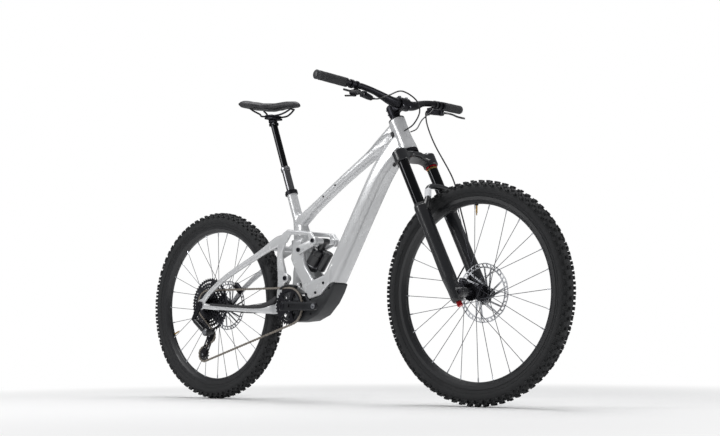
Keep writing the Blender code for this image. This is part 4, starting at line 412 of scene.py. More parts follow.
def let_go() -> None:
    """Deselects everything and leaves edit mode."""
    if bpy.context.object and bpy.context.object.mode != "OBJECT":
        bpy.ops.object.mode_set(mode="OBJECT")
    bpy.ops.object.select_all(action="DESELECT")


def take(piece: Piece) -> None:
    """Makes a piece the only selected and the active one.

    Args:
        piece: The piece.
    """
    let_go()
    piece.select_set(True)
    bpy.context.view_layer.objects.active = piece


def settle(piece: Piece) -> Piece:
    """Puts a piece's place into its mesh.

    Args:
        piece: The piece.

    Returns:
        The piece.
    """
    take(piece)
    bpy.ops.object.transform_apply(location=True, rotation=True, scale=True)
    return piece


def moved(piece: Piece, matrix: Matrix) -> Piece:
    """Moves a piece by a matrix and puts its place into its mesh."""
    piece.matrix_world = matrix @ piece.matrix_world
    return settle(piece)


def steered(piece: Piece) -> Piece:
    """Moves a piece drawn along the steering axis, X forward and Z up it, to its place."""
    return moved(piece, STEERING_TURN)


def modified(piece: Piece, kind: str, **settings: object) -> Piece:
    """Adds a modifier with its settings and applies it.

    Args:
        piece: The piece.
        kind: The modifier's type.
        settings: Its values by their names.

    Returns:
        The piece.
    """
    take(piece)
    modifier = piece.modifiers.new(kind.lower(), kind)
    for name, value in settings.items():
        setattr(modifier, name, value)
    bpy.ops.object.modifier_apply(modifier=modifier.name)
    return piece


def softened(piece: Piece, width: float, segments: int = 2, angle: float = 35.0) -> Piece:
    """Rounds the sharp edges of a piece."""
    return modified(piece, "BEVEL", width=width, segments=segments, limit_method="ANGLE",
                    angle_limit=math.radians(angle), harden_normals=False)


def outward(piece: Piece, weld: float = 0.00002) -> Piece:
    """Merges a piece's doubled points and turns its faces outwards.

    Args:
        piece: The piece.
        weld: Points nearer than this become one.

    Returns:
        The piece.
    """
    take(piece)
    bpy.ops.object.mode_set(mode="EDIT")
    bpy.ops.mesh.select_all(action="SELECT")
    bpy.ops.mesh.remove_doubles(threshold=weld)
    bpy.ops.mesh.normals_make_consistent(inside=False)
    bpy.ops.object.mode_set(mode="OBJECT")
    return piece


def joined(name: str, pieces: Sequence[Piece]) -> Piece:
    """Joins pieces in one mesh.

    Args:
        name: Name of the whole.
        pieces: What is joined. The first one takes up the others.

    Returns:
        The whole.
    """
    let_go()
    for piece in pieces:
        piece.select_set(True)
    bpy.context.view_layer.objects.active = pieces[0]
    bpy.ops.object.join()
    pieces[0].name = name
    return pieces[0]


def copy_of(piece: Piece, name: str, matrix: Matrix) -> Piece:
    """A copy of a piece with its own mesh, moved by a matrix.

    Args:
        piece: The model.
        name: The copy's name.
        matrix: Where the copy goes.

    Returns:
        The copy.
    """
    mesh = piece.data.copy()
    mesh.transform(matrix)
    if matrix.determinant() < 0:
        mesh.flip_normals()
    copy = bpy.data.objects.new(name, mesh)
    bpy.context.scene.collection.objects.link(copy)
    return copy


def mirrored(piece: Piece, name: str) -> Piece:
    """The same piece on the other side of the bike."""
    return copy_of(piece, name, Matrix.Scale(-1, 4, Vector((0, 1, 0))))


def laid(piece: Piece, name: str, start: Vector, end: Vector) -> Piece:
    """A copy of a piece drawn along Z from 0 to 1, stretched between two points.

    Args:
        piece: The model.
        name: The copy's name.
        start: Where its foot comes.
        end: Where its top comes.

    Returns:
        The copy.
    """
    way = Vector(end) - Vector(start)
    matrix = Matrix.Translation(start) @ way.to_track_quat("Z", "Y").to_matrix().to_4x4()
    return copy_of(piece, name, matrix @ Matrix.Diagonal((1.0, 1.0, way.length, 1.0)))


def dropped(piece: Piece) -> None:
    """Removes the model of a repeat after its last copy."""
    bpy.data.objects.remove(piece)


def shade(piece: Piece, angle: float = 32.0) -> Piece:
    """Shades a piece smooth, with its sharp edges kept.

    Args:
        piece: The piece.
        angle: Angle in degrees above which an edge stays sharp.

    Returns:
        The piece.
    """
    take(piece)
    bpy.ops.object.shade_smooth_by_angle(angle=math.radians(angle))
    return piece


def block(name: str, centre: Vector, size: Sequence[float], turn: Optional[Matrix] = None,
          round_edge: float = 0.001) -> Piece:
    """A box with rounded edges.

    Args:
        name: The piece's name.
        centre: Its middle.
        size: Its lengths along X, Y and Z before the turn.
        turn: Its turn, or None.
        round_edge: Radius of the edges.

    Returns:
        The piece.
    """
    let_go()
    bpy.ops.mesh.primitive_cube_add(size=1.0)
    piece = bpy.context.object
    piece.name = name
    piece.matrix_world = (Matrix.Translation(centre) @ (turn or Matrix.Identity(4))
                          @ Matrix.Diagonal((*size, 1.0)))
    settle(piece)
    if round_edge > 0:
        softened(piece, round_edge)
    return piece


def rod(name: str, start: Vector, end: Vector, radius: float, sides: int = 28,
        end_radius: Optional[float] = None, round_edge: float = 0.0) -> Piece:
    """A round rod or cone between two points.

    Args:
        name: The piece's name.
        start: Middle of the first end.
        end: Middle of the other end.
        radius: Radius.
        sides: Facets round it.
        end_radius: Radius at the other end, where it differs.
        round_edge: Radius of the edges.

    Returns:
        The piece.
    """
    way = Vector(end) - Vector(start)
    let_go()
    bpy.ops.mesh.primitive_cone_add(vertices=sides, radius1=radius,
                                    radius2=radius if end_radius is None else end_radius,
                                    depth=way.length, end_fill_type="NGON")
    piece = bpy.context.object
    piece.name = name
    piece.matrix_world = (Matrix.Translation((Vector(start) + Vector(end)) / 2)
                          @ way.to_track_quat("Z", "Y").to_matrix().to_4x4())
    settle(piece)
    if round_edge > 0:
        softened(piece, round_edge)
    return piece


def cross_rod(name: str, place: Point, low: float, high: float, radius: float, sides: int = 28,
              round_edge: float = 0.0) -> Piece:
    """A round rod across the bike."""
    return rod(name, at(place, low), at(place, high), radius, sides, None, round_edge)


def as_mesh(name: str, curve: bpy.types.Curve) -> Piece:
    """Puts a curve in the scene and turns it to a mesh.

    Args:
        name: The piece's name.
        curve: The curve, with its depth and bevel set.

    Returns:
        The piece, selected and active.
    """
    piece = bpy.data.objects.new(name, curve)
    bpy.context.scene.collection.objects.link(piece)
    take(piece)
    bpy.ops.object.convert(target="MESH")
    return bpy.context.object


def turned(name: str, profile: Sequence[Point], origin: Vector, direction: Vector, steps: int = 64,
           closed: bool = False) -> Piece:
    """Spins a profile of (radius, height) points about a direction through origin.

    Args:
        name: The piece's name.
        profile: Radius and height of each point.
        origin: Where height 0 lies.
        direction: The axis of the spin.
        steps: Facets round the axis.
        closed: Whether the last point joins the first.

    Returns:
        The turned piece.
    """
    curve = bpy.data.curves.new(name, "CURVE")
    curve.dimensions = "3D"
    spline = curve.splines.new("POLY")
    spline.points.add(len(profile) - 1)
    for point, (radius, height) in zip(spline.points, profile):
        point.co = (radius, 0.0, height, 1.0)
    spline.use_cyclic_u = closed
    piece = as_mesh(name, curve)
    modified(piece, "SCREW", steps=steps, render_steps=steps, use_merge_vertices=True,
             merge_threshold=0.00001)
    axis = Vector(direction).to_track_quat("Z", "Y").to_matrix().to_4x4()
    moved(piece, Matrix.Translation(origin) @ axis)
    return outward(piece)


def across(name: str, profile: Sequence[Point], place: Point, steps: int = 64,
           closed: bool = False) -> Piece:
    """Spins a profile of (radius, y) points about an axle across the bike."""
    return turned(name, profile, at(place), Vector((0, 1, 0)), steps, closed)


def plate(name: str, outlines: Sequence[Sequence[Point]], low: float, high: float,
          round_edge: float = 0.0, segments: int = 2) -> Piece:
    """A flat plate across the bike from side view outlines, the first outside and the others holes.

    Args:
        name: The piece's name.
        outlines: Closed outlines in the side view.
        low: Y of the right face.
        high: Y of the left face.
        round_edge: Radius of the edges.
        segments: Steps of that rounding.

    Returns:
        The piece.
    """
    curve = bpy.data.curves.new(name, "CURVE")
    curve.dimensions = "2D"
    curve.fill_mode = "BOTH"
    curve.extrude = abs(high - low) / 2 - round_edge
    curve.bevel_depth = round_edge
    curve.bevel_resolution = segments - 1
    curve.offset = -round_edge
    for outline in outlines:
        spline = curve.splines.new("POLY")
        spline.points.add(len(outline) - 1)
        for point, (x, z) in zip(spline.points, outline):
            point.co = (x, z, 0.0, 1.0)
        spline.use_cyclic_u = True
    piece = as_mesh(name, curve)
    moved(piece, Matrix.Translation((0, (low + high) / 2, 0)) @ Matrix.Rotation(math.pi / 2, 4, "X"))
    return outward(piece)


def pipe(name: str, points: Sequence[Vector], radius: float, resolution: int = 4,
         shares: Optional[Sequence[float]] = None) -> Piece:
    """A round tube along points, with closed ends.

    Args:
        name: The piece's name.
        points: The middle line.
        radius: Outer radius.
        resolution: Steps of the roundness.
        shares: Share of the radius at each point, or None for all of it.

    Returns:
        The tube.
    """
    curve = bpy.data.curves.new(name, "CURVE")
    curve.dimensions = "3D"
    curve.bevel_depth = radius
    curve.bevel_resolution = resolution
    curve.use_fill_caps = True
    spline = curve.splines.new("POLY")
    spline.points.add(len(points) - 1)
    for k, (point, place) in enumerate(zip(spline.points, points)):
        point.co = (*place, 1.0)
        point.radius = shares[k] if shares else 1.0
    return outward(as_mesh(name, curve))


def draped(name: str, place: Callable[[float, float], Vector], around: int, along: int) -> Piece:
    """A closed tube of free shape: a grid whose points are moved to their places, then sewn up.

    Args:
        name: The piece's name.
        place: Gives the point for a turn from 0 to 1 and a share of the length from 0 to 1.
        around: Faces round the tube.
        along: Faces along the tube.

    Returns:
        The closed piece.
    """
    let_go()
    bpy.ops.mesh.primitive_grid_add(x_subdivisions=around, y_subdivisions=along, size=1.0)
    piece = bpy.context.object
    piece.name = name
    for vertex in piece.data.vertices:
        vertex.co = place(vertex.co.x + 0.5, vertex.co.y + 0.5)
    take(piece)
    bpy.ops.object.mode_set(mode="EDIT")
    bpy.ops.mesh.select_all(action="SELECT")
    bpy.ops.mesh.remove_doubles(threshold=0.00001)
    bpy.ops.mesh.select_all(action="DESELECT")
    bpy.ops.mesh.select_non_manifold()
    bpy.ops.mesh.fill_holes(sides=0)
    bpy.ops.object.mode_set(mode="OBJECT")
    return outward(piece)


def power_curve(value: float, power: float) -> float:
    """Sine or cosine value bent towards a rounded box for a power above 2."""
    return math.copysign(abs(value) ** (2.0 / power), value)


def sampled(stations: Sequence[Sequence[float]], share: float) -> list[float]:
    """Smooth values between the rows of a list of stations.

    Args:
        stations: Rows of numbers.
        share: 0 at the first row to 1 at the last.

    Returns:
        The values at that share.
    """
    last = len(stations) - 1
    spot = min(max(share, 0.0), 1.0) * last
    k = min(int(spot), last - 1)
    t = spot - k
    rows = [stations[max(0, min(last, j))] for j in (k - 1, k, k + 1, k + 2)]
    return [cubic(a, b, c, d, t) for a, b, c, d in zip(*rows)]


def beam(name: str, stations: Sequence[Sequence[float]], power: float = 2.8, around: int = 32,
         along: int = 6) -> Piece:
    """A tube in the side view through stations (x, z, y, depth, width), rounded between them.

    Args:
        name: The piece's name.
        stations: The rows.
        power: 2 for a round section, more for a boxy one.
        around: Faces round the section.
        along: Faces between two stations.

    Returns:
        The closed tube.
    """
    faces = along * (len(stations) - 1)

    def place(turn: float, share: float) -> Vector:
        """The skin's point at a turn round the section and a share of the length."""
        x, z, y, depth, width = sampled(stations, share)
        before = sampled(stations, share - 0.01)
        after = sampled(stations, share + 0.01)
        angle = math.atan2(after[1] - before[1], after[0] - before[0])
        rise = power_curve(math.cos(2 * math.pi * turn), power) * depth / 2
        side = power_curve(math.sin(2 * math.pi * turn), power) * width / 2
        return Vector((x - math.sin(angle) * rise, y + side, z + math.cos(angle) * rise))

    return draped(name, place, around, faces)


def melted(name: str, pieces: Sequence[Piece], voxel: float, rounds: int) -> Piece:
    """Joins pieces in one skin whose corners run together, as in a moulded or welded part.

    Args:
        name: Name of the skin.
        pieces: What runs together.
        voxel: Size of the finest detail kept.
        rounds: How often the skin is smoothed.

    Returns:
        The skin.
    """
    piece = joined(name, pieces)
    modified(piece, "REMESH", mode="VOXEL", voxel_size=voxel, adaptivity=0.0)
    modified(piece, "SMOOTH", factor=0.5, iterations=rounds)
    take(piece)
    bpy.ops.object.shade_smooth()
    return piece


def dress(piece: Piece, finish: Finish, body: Optional[str], *nodes: str,
          sharp: Optional[float] = 32.0) -> Piece:
    """Gives a piece its finish and its body, and says which CAD nodes it stands for.

    Args:
        piece: The modelled piece.
        finish: Its finish.
        body: The body that it rides on, or None to leave it on no body.
        nodes: CAD nodes that it replaces.
        sharp: Angle in degrees above which an edge stays sharp, or None to leave the shading.

    Returns:
        The piece.
    """
    piece.data.materials.clear()
    piece.data.materials.append(finish.material())
    if sharp is not None:
        shade(piece, sharp)
    if body:
        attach(piece, body)
    if nodes:
        piece.name = nodes[0] + "_dressed"
        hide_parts(*nodes)
    LOG.info("%s: %d faces on %s", piece.name, len(piece.data.polygons), body)
    return piece


# Bolt heads that are modelled already, by their radius
BOLT_MODELS: dict[float, bpy.types.Mesh] = {}


def bolt_head(name: str, place: Vector, way: Vector, radius: float, body: str,
              finish: Finish = BOLT_STEEL) -> Piece:
    """A socket bolt head with its dark hexagon, proud along way.

    Args:
        name: The piece's name.
        place: Where the head meets its seat.
        way: Direction that the head points.
        radius: Radius of the head.
        body: The body that it rides on.
        finish: Its finish.

    Returns:
        The head.
    """
    way = Vector(way).normalized()
    height = radius * 0.55
    if radius not in BOLT_MODELS:
        profile = [(0.0, height * 0.35), (radius * 0.42, height * 0.35), (radius * 0.46, height),
                   (radius * 0.85, height), (radius, height * 0.75), (radius, -0.0008), (0.0, -0.0008)]
        model = turned("bolt_model", profile, Vector(), UP, 24)
        BOLT_MODELS[radius] = model.data
        dropped(model)
    head = bpy.data.objects.new(name, BOLT_MODELS[radius].copy())
    bpy.context.scene.collection.objects.link(head)
    moved(head, Matrix.Translation(place) @ way.to_track_quat("Z", "Y").to_matrix().to_4x4())
    return dress(head, finish, body, sharp=30.0)


def swept(name: str, stations: Sequence[Sequence[float]], up: Vector, power: float = 2.6, around: int = 24,
          along: int = 8) -> Piece:
    """A bar of free shape through stations (x, y, z, width, thickness), its thickness towards up.

    Args:
        name: The piece's name.
        stations: The rows.
        up: Direction of the thickness.
        power: 2 for a round section, more for a boxy one.
        around: Faces round the section.
        along: Faces between two stations.

    Returns:
        The closed bar.
    """
    faces = along * (len(stations) - 1)

    def place(turn: float, share: float) -> Vector:
        """The skin's point at a turn round the section and a share of the length."""
        x, y, z, width, thickness = sampled(stations, share)
        before = Vector(sampled(stations, share - 0.01)[:3])
        way = (Vector(sampled(stations, share + 0.01)[:3]) - before).normalized()
        side = way.cross(up).normalized()
        rise = side.cross(way)
        return (Vector((x, y, z)) + side * power_curve(math.cos(2 * math.pi * turn), power) * width / 2
                + rise * power_curve(math.sin(2 * math.pi * turn), power) * thickness / 2)

    return draped(name, place, around, faces)


def carved(piece: Piece, *cutters: Piece) -> Piece:
    """Cuts the cutters out of a piece and removes them.

    Args:
        piece: The piece that is cut.
        cutters: What is cut out of it.

    Returns:
        The cut piece.
    """
    for cutter in cutters:
        modified(piece, "BOOLEAN", object=cutter, operation="DIFFERENCE", solver="EXACT")
        bpy.data.objects.remove(cutter)
    return piece


def bolt_pair(name: str, place: Point, y: float, radius: float, body: str,
               finish: Finish = BOLT_STEEL) -> list[Piece]:
    """A bolt head on both sides of the bike at one place of the side view.

    Args:
        name: Start of both names.
        place: The place.
        y: Distance of the seats from the middle.
        radius: Radius of the heads.
        body: The body that they ride on.
        finish: Their finish.

    Returns:
        The two heads.
    """
    caps = []
    for word, side in SIDES:
        caps.append(bolt_head(name + "_" + word, at(place, side * y), Vector((0, side, 0)), radius,
                              body, finish))
    return caps


# Side view of the recess in the top tube behind the head tube
SCOOP = ((0.180, 0.887), (0.214, 0.896), (0.250, 0.9035), (0.280, 0.911), (0.294, 0.930), (0.303, 0.948),
         (0.285, 0.951), (0.262, 0.943), (0.224, 0.9195), (0.196, 0.898))


@dataclass
class FrontTriangle:
    """The welded front triangle with its head tube, motor shell and pivot seats."""

    down_depth: float = 0.070
    down_width: float = 0.078
    top_depth: float = 0.033
    top_width: float = 0.042
    head_bottom: float = 0.574
    head_top: float = 0.704
    head_bore: float = 0.0235
    mast_radius: float = 0.0195
    strut_inner: float = 0.0275
    strut_outer: float = 0.040
    spine_inner: float = 0.0155
    spine_outer: float = 0.024
    lug_half: float = 0.042
    scoop_depth: float = 0.0150
    scoop: tuple[Point, ...] = SCOOP
    voxel: float = 0.0024
    melt_rounds: int = 12

    def build(self) -> None:
        """Builds the frame's skin and the small pieces on it."""
        self.skin()
        self.cable_ports()
        self.bosses()

    def head(self) -> Piece:
        """The waisted head tube.

        Returns:
            The piece.
        """
        profile = [(0.0, self.head_bottom), (0.032, self.head_bottom), (0.032, 0.588), (0.0300, 0.606),
                   (0.0282, 0.630), (0.0280, 0.650), (0.0286, 0.672), (0.0295, 0.690),
                   (0.0295, self.head_top), (0.0, self.head_top)]
        return turned("frame_head", profile, at(STEER_FOOT), at(STEER_UP), 72)

    def tubes(self) -> list[Piece]:
        """Down tube, top tube, web, seat mast and neck.

        Returns:
            The pieces.
        """
        depth, width = self.down_depth, self.down_width
        down = beam("down", [(-0.0275, 0.384, 0, depth, width), (0.064, 0.530, 0, depth, width),
                             (0.200, 0.748, 0, depth, width), (0.250, 0.822, 0, depth * 1.04, width * 0.96),
                             (0.290, 0.868, 0, depth * 1.10, width * 0.86),
                             (0.326, 0.903, 0, depth * 1.15, width * 0.72),
                             (0.345, 0.919, 0, depth * 1.10, width * 0.62)], 3.4, 44)
        depth, width = self.top_depth, self.top_width
        top = beam("top", [(0.312, 0.974, 0, depth * 1.15, width), (0.290, 0.952, 0, depth * 1.5, width),
                           (0.240, 0.908, 0, depth * 1.75, width * 1.1),
                           (0.185, 0.878, 0, depth * 1.2, width), (0.048, 0.801, 0, depth, width),
                           (-0.072, 0.728, 0, depth, width), (-0.140, 0.684, 0, depth * 1.35, width),
                           (-0.180, 0.657, 0, depth * 1.5, width * 0.9)], 3.0, 36)
        web = beam("web", [(0.240, 0.868, 0, 0.060, 0.026), (0.322, 0.940, 0, 0.085, 0.026)], 2.6, 28)
        mast = rod("mast", at(on_seat(-0.150)), at(on_seat(0.0)), self.mast_radius, 56)
        neck = beam("neck", [(-0.184, 0.700, 0, 0.034, 0.034), (-0.168, 0.655, 0, 0.056, 0.040),
                             (-0.158, 0.615, 0, 0.058, 0.062), (-0.147, 0.575, 0, 0.052, 0.079),
                             (-0.142, 0.560, 0, 0.050, 0.079)], 3.0, 36)
        floor = block("floor", Vector((0.0, 0.0, 0.381)), (0.3, 0.2, 0.1), None, 0.0)
        return [carved(down, floor), top, web, mast, neck]

    def plates(self) -> list[Piece]:
        """Uprights, motor shell and middle plate.

        Returns:
            The plates.
        """
        uprights = [(-0.181, 0.600), (-0.176, 0.562), (-0.184, 0.530), (-0.170, 0.504), (-0.155, 0.480),
                    (-0.130, 0.441), (-0.123, 0.416), (-0.087, 0.376), (-0.040, 0.390), (-0.024, 0.451),
                    (-0.065, 0.446), (-0.107, 0.501), (-0.113, 0.522), (-0.1145, 0.566), (-0.125, 0.577),
                    (-0.125, 0.600)]
        shell = [(-0.123, 0.416), (-0.087, 0.375), (-0.029, 0.388), (0.022, 0.4315), (0.030, 0.500),
                 (-0.012, 0.4615), (-0.065, 0.446)]
        middle = [(-0.085, 0.424), (-0.120, 0.415), (-0.145, 0.420)] + arc(SHOCK_FOOT, 0.013, 60, 140, 6)
        middle += [(-0.205, 0.408), (-0.240, 0.362)] + arc(LOWER_PIVOT, 0.013, 150, 340, 14)
        middle += [(-0.2165, 0.348), (-0.2115, 0.363), (-0.196, 0.385), (-0.175, 0.3955),
                   (-0.140, 0.3965), (-0.085, 0.3965)]
        return [plate("uprights", [uprights], -self.strut_outer, self.strut_outer, 0.004, 3),
                plate("shell", [shell], -self.lug_half, self.lug_half, 0.005, 3),
                plate("middle", [middle], -self.spine_outer, self.spine_outer, 0.003, 3)]

    def skin(self) -> None:
        """Melts tubes and plates in one skin, then cuts the bores and the shock's lane."""
        bulk = [self.head()] + self.tubes() + self.plates()
        frame = melted("frame", bulk, self.voxel, self.melt_rounds)
        lane = [(-0.172, 0.590), (-0.225, 0.500), (-0.160, 0.4555), (-0.121, 0.4265), (-0.085, 0.4080),
                (-0.060, 0.4220), (-0.0245, 0.4500), (-0.020, 0.475), (-0.080, 0.590)]
        foot = tongue(SHOCK_FOOT, shifted(SHOCK_FOOT, (0.03, 0.05)), 0.016, 0.016)
        low, high = on_battery(-0.09), on_battery(0.411)
        room = beam("battery_room", [(*low, 0, 0.0486, 0.0586), (*between(low, high, 0.5), 0, 0.0486, 0.0586),
                                     (*high, 0, 0.0486, 0.0586)], 5.0, 24, 1)
        carved(frame, rod("head_room", at(on_steerer(0.52)), at(on_steerer(0.76)), self.head_bore, 48),
               rod("post_room", at(on_seat(-0.139)), at(on_seat(0.05)), 0.0166, 40),
               plate("lane", [lane], -self.strut_inner, self.strut_inner),
               plate("foot_slot", [foot], -self.spine_inner, self.spine_inner), room)
        for side in (-1, 1):
            low, high = (self.scoop_depth, 0.06) if side > 0 else (-0.06, -self.scoop_depth)
            carved(frame, plate("scoop", [self.scoop], low, high, 0.005, 3))
        dress(frame, PEARL_PAINT, "frame", "frame", sharp=58.0)
        pin = cross_rod("shock_foot_pin", SHOCK_FOOT, -self.spine_inner - 0.002,
                        self.spine_inner + 0.002, 0.006)
        dress(pin, PIN_STEEL, "frame")

    def face(self, place: Point, side: int) -> Vector:
        """The point of the skin at a place of the side view, on one side of the bike.

        Args:
            place: The place.
            side: -1 for the right, 1 for the left.

        Returns:
            The point.
        """
        skin = bpy.data.objects["frame_dressed"]
        bpy.context.view_layer.update()
        _, spot, _, _ = skin.ray_cast(at(place, side * 0.2), Vector((0, -side, 0)))
        return spot

    def cable_ports(self) -> None:
        """Dark oval ports on both sides behind the head tube, where hose and cable go in."""
        for word, side in SIDES:
            place = on_steerer(0.655, -0.024)
            port = block("cable_port_" + word, at(place, side * 0.0205), (0.014, 0.010, 0.024),
                         Matrix.Rotation(math.radians(-25), 4, "Y"), 0.0045)
            dress(port, GUARD_RUBBER, "frame")

    def bosses(self) -> None:
        """Bolts of the frame: pivot bolts, motor bolts and the small plugs of the tubes."""
        bolt_pair("upper_pivot_bolt", UPPER_PIVOT, 0.0515, 0.0085, "frame")
        bolt_pair("lower_pivot_bolt", LOWER_PIVOT, 0.0345, 0.0080, "frame")
        for k, place in enumerate([(-0.100, 0.394), (-0.052, 0.398), (-0.012, 0.432)]):
            bolt_pair(f"motor_bolt_{k + 1}", place, self.lug_half - 0.0006, 0.0052, "frame")
        for word, side in SIDES:
            face = self.face((0.312, 0.838), side)
            stop = block("fork_stop_" + word, face - Vector((0, side * 0.0042, 0)), (0.013, 0.010, 0.022),
                         Matrix.Rotation(math.radians(30), 4, "Y"), 0.0045)
            dress(stop, GUARD_RUBBER, "frame")
        # Plugs of the tubes in near-black: painted shade of the holes
        for k, place in enumerate([(-0.030, 0.7535), (0.030, 0.790)]):
            bolt_pair(f"tube_plug_{k + 1}", place, 0.0203, 0.0034, "frame", HOLE_SHADE_BLACK)


@dataclass
class DriveUnit:
    """Motor, its cover and the battery stick."""

    half: float = 0.034
    cover_half: float = 0.040

    def build(self) -> None:
        """Builds the three housings with their bolts and seams."""
        outline = arc(CRANK_AXLE, 0.030, 95, 262, 28)
        outline += [(-0.150, 0.3155), (-0.066, 0.324), (-0.028, 0.352), (-0.033, 0.3815), (-0.0885, 0.3700),
                    (-0.110, 0.3900), (-0.150, 0.3905)]
        body = plate("motor", [outline, circle(CRANK_AXLE, 0.0125, 40)], -self.half, self.half, 0.0015, 2)
        ends = [across("motor_boss", [(0.0125, side * (self.half - 0.001)),
                                      (0.021, side * (self.half - 0.001)),
                                      (0.021, side * (self.half + 0.008)),
                                      (0.0195, side * (self.half + 0.010)),
                                      (0.0125, side * (self.half + 0.010))], CRANK_AXLE, 48, True)
                for side in (-1, 1)]
        dress(joined("motor", [body] + ends), CAST_GREY, "frame", "motor")
        self.cover()
        self.battery()

    def cover(self) -> None:
        """The trough below the motor with a step along its top and a seam."""
        outline = [(0.0215, 0.4305), (0.0415, 0.4305), (0.0250, 0.398), (-0.003, 0.358), (-0.048, 0.3165),
                   (-0.100, 0.2965), (-0.165, 0.2925), (-0.205, 0.306), (-0.200, 0.322), (-0.160, 0.334),
                   (-0.080, 0.357), (-0.0865, 0.3740), (-0.0292, 0.3870)]
        cover = softened(plate("lower_cover", [outline], -self.cover_half, self.cover_half), 0.008, 5)
        room = [(0.0215, 0.470), (0.0345, 0.440), (0.0190, 0.401), (-0.008, 0.3625), (-0.051, 0.3220),
                (-0.101, 0.3025), (-0.160, 0.2985), (-0.186, 0.3055), (-0.230, 0.330), (-0.230, 0.420),
                (-0.060, 0.430)]
        carved(cover, plate("cover_room", [room], -self.half - 0.0006, self.half + 0.0006),
               cross_rod("cover_bore", CRANK_AXLE, -0.1, 0.1, 0.0225, 48))
        for start, end in (((-0.062, 0.300), (-0.040, 0.380)), ((0.000, 0.350), (-0.012, 0.420))):
            middle = between(start, end, 0.5)
            turn = Matrix.Rotation(math.atan2(end[0] - start[0], end[1] - start[1]), 4, "Y")
            for side in (-1, 1):
                carved(cover, block("seam", at(middle, side * (self.cover_half + 0.0002)),
                                    (0.0012, 0.0016, distance(start, end)), turn, 0.0))
        dress(cover, COVER_NYLON, "frame", "lower_cover", sharp=30.0)
        for k, place in enumerate([(-0.150, 0.309), (-0.078, 0.321), (0.016, 0.412)]):
            bolt_pair(f"cover_bolt_{k + 1}", place, self.cover_half - 0.0003, 0.0042, "frame")

    def battery(self) -> None:
        """The battery stick inside the down tube, with its end cap."""
        low, high = on_battery(0.050), on_battery(0.410)
        stick = beam("battery", [(*low, 0, 0.048, 0.058), (*between(low, high, 0.5), 0, 0.048, 0.058),
                                 (*high, 0, 0.048, 0.058)], 5.0, 36, 2)
        dress(softened(stick, 0.0012, 2, 60.0), SHELL_NYLON, "frame", "battery")


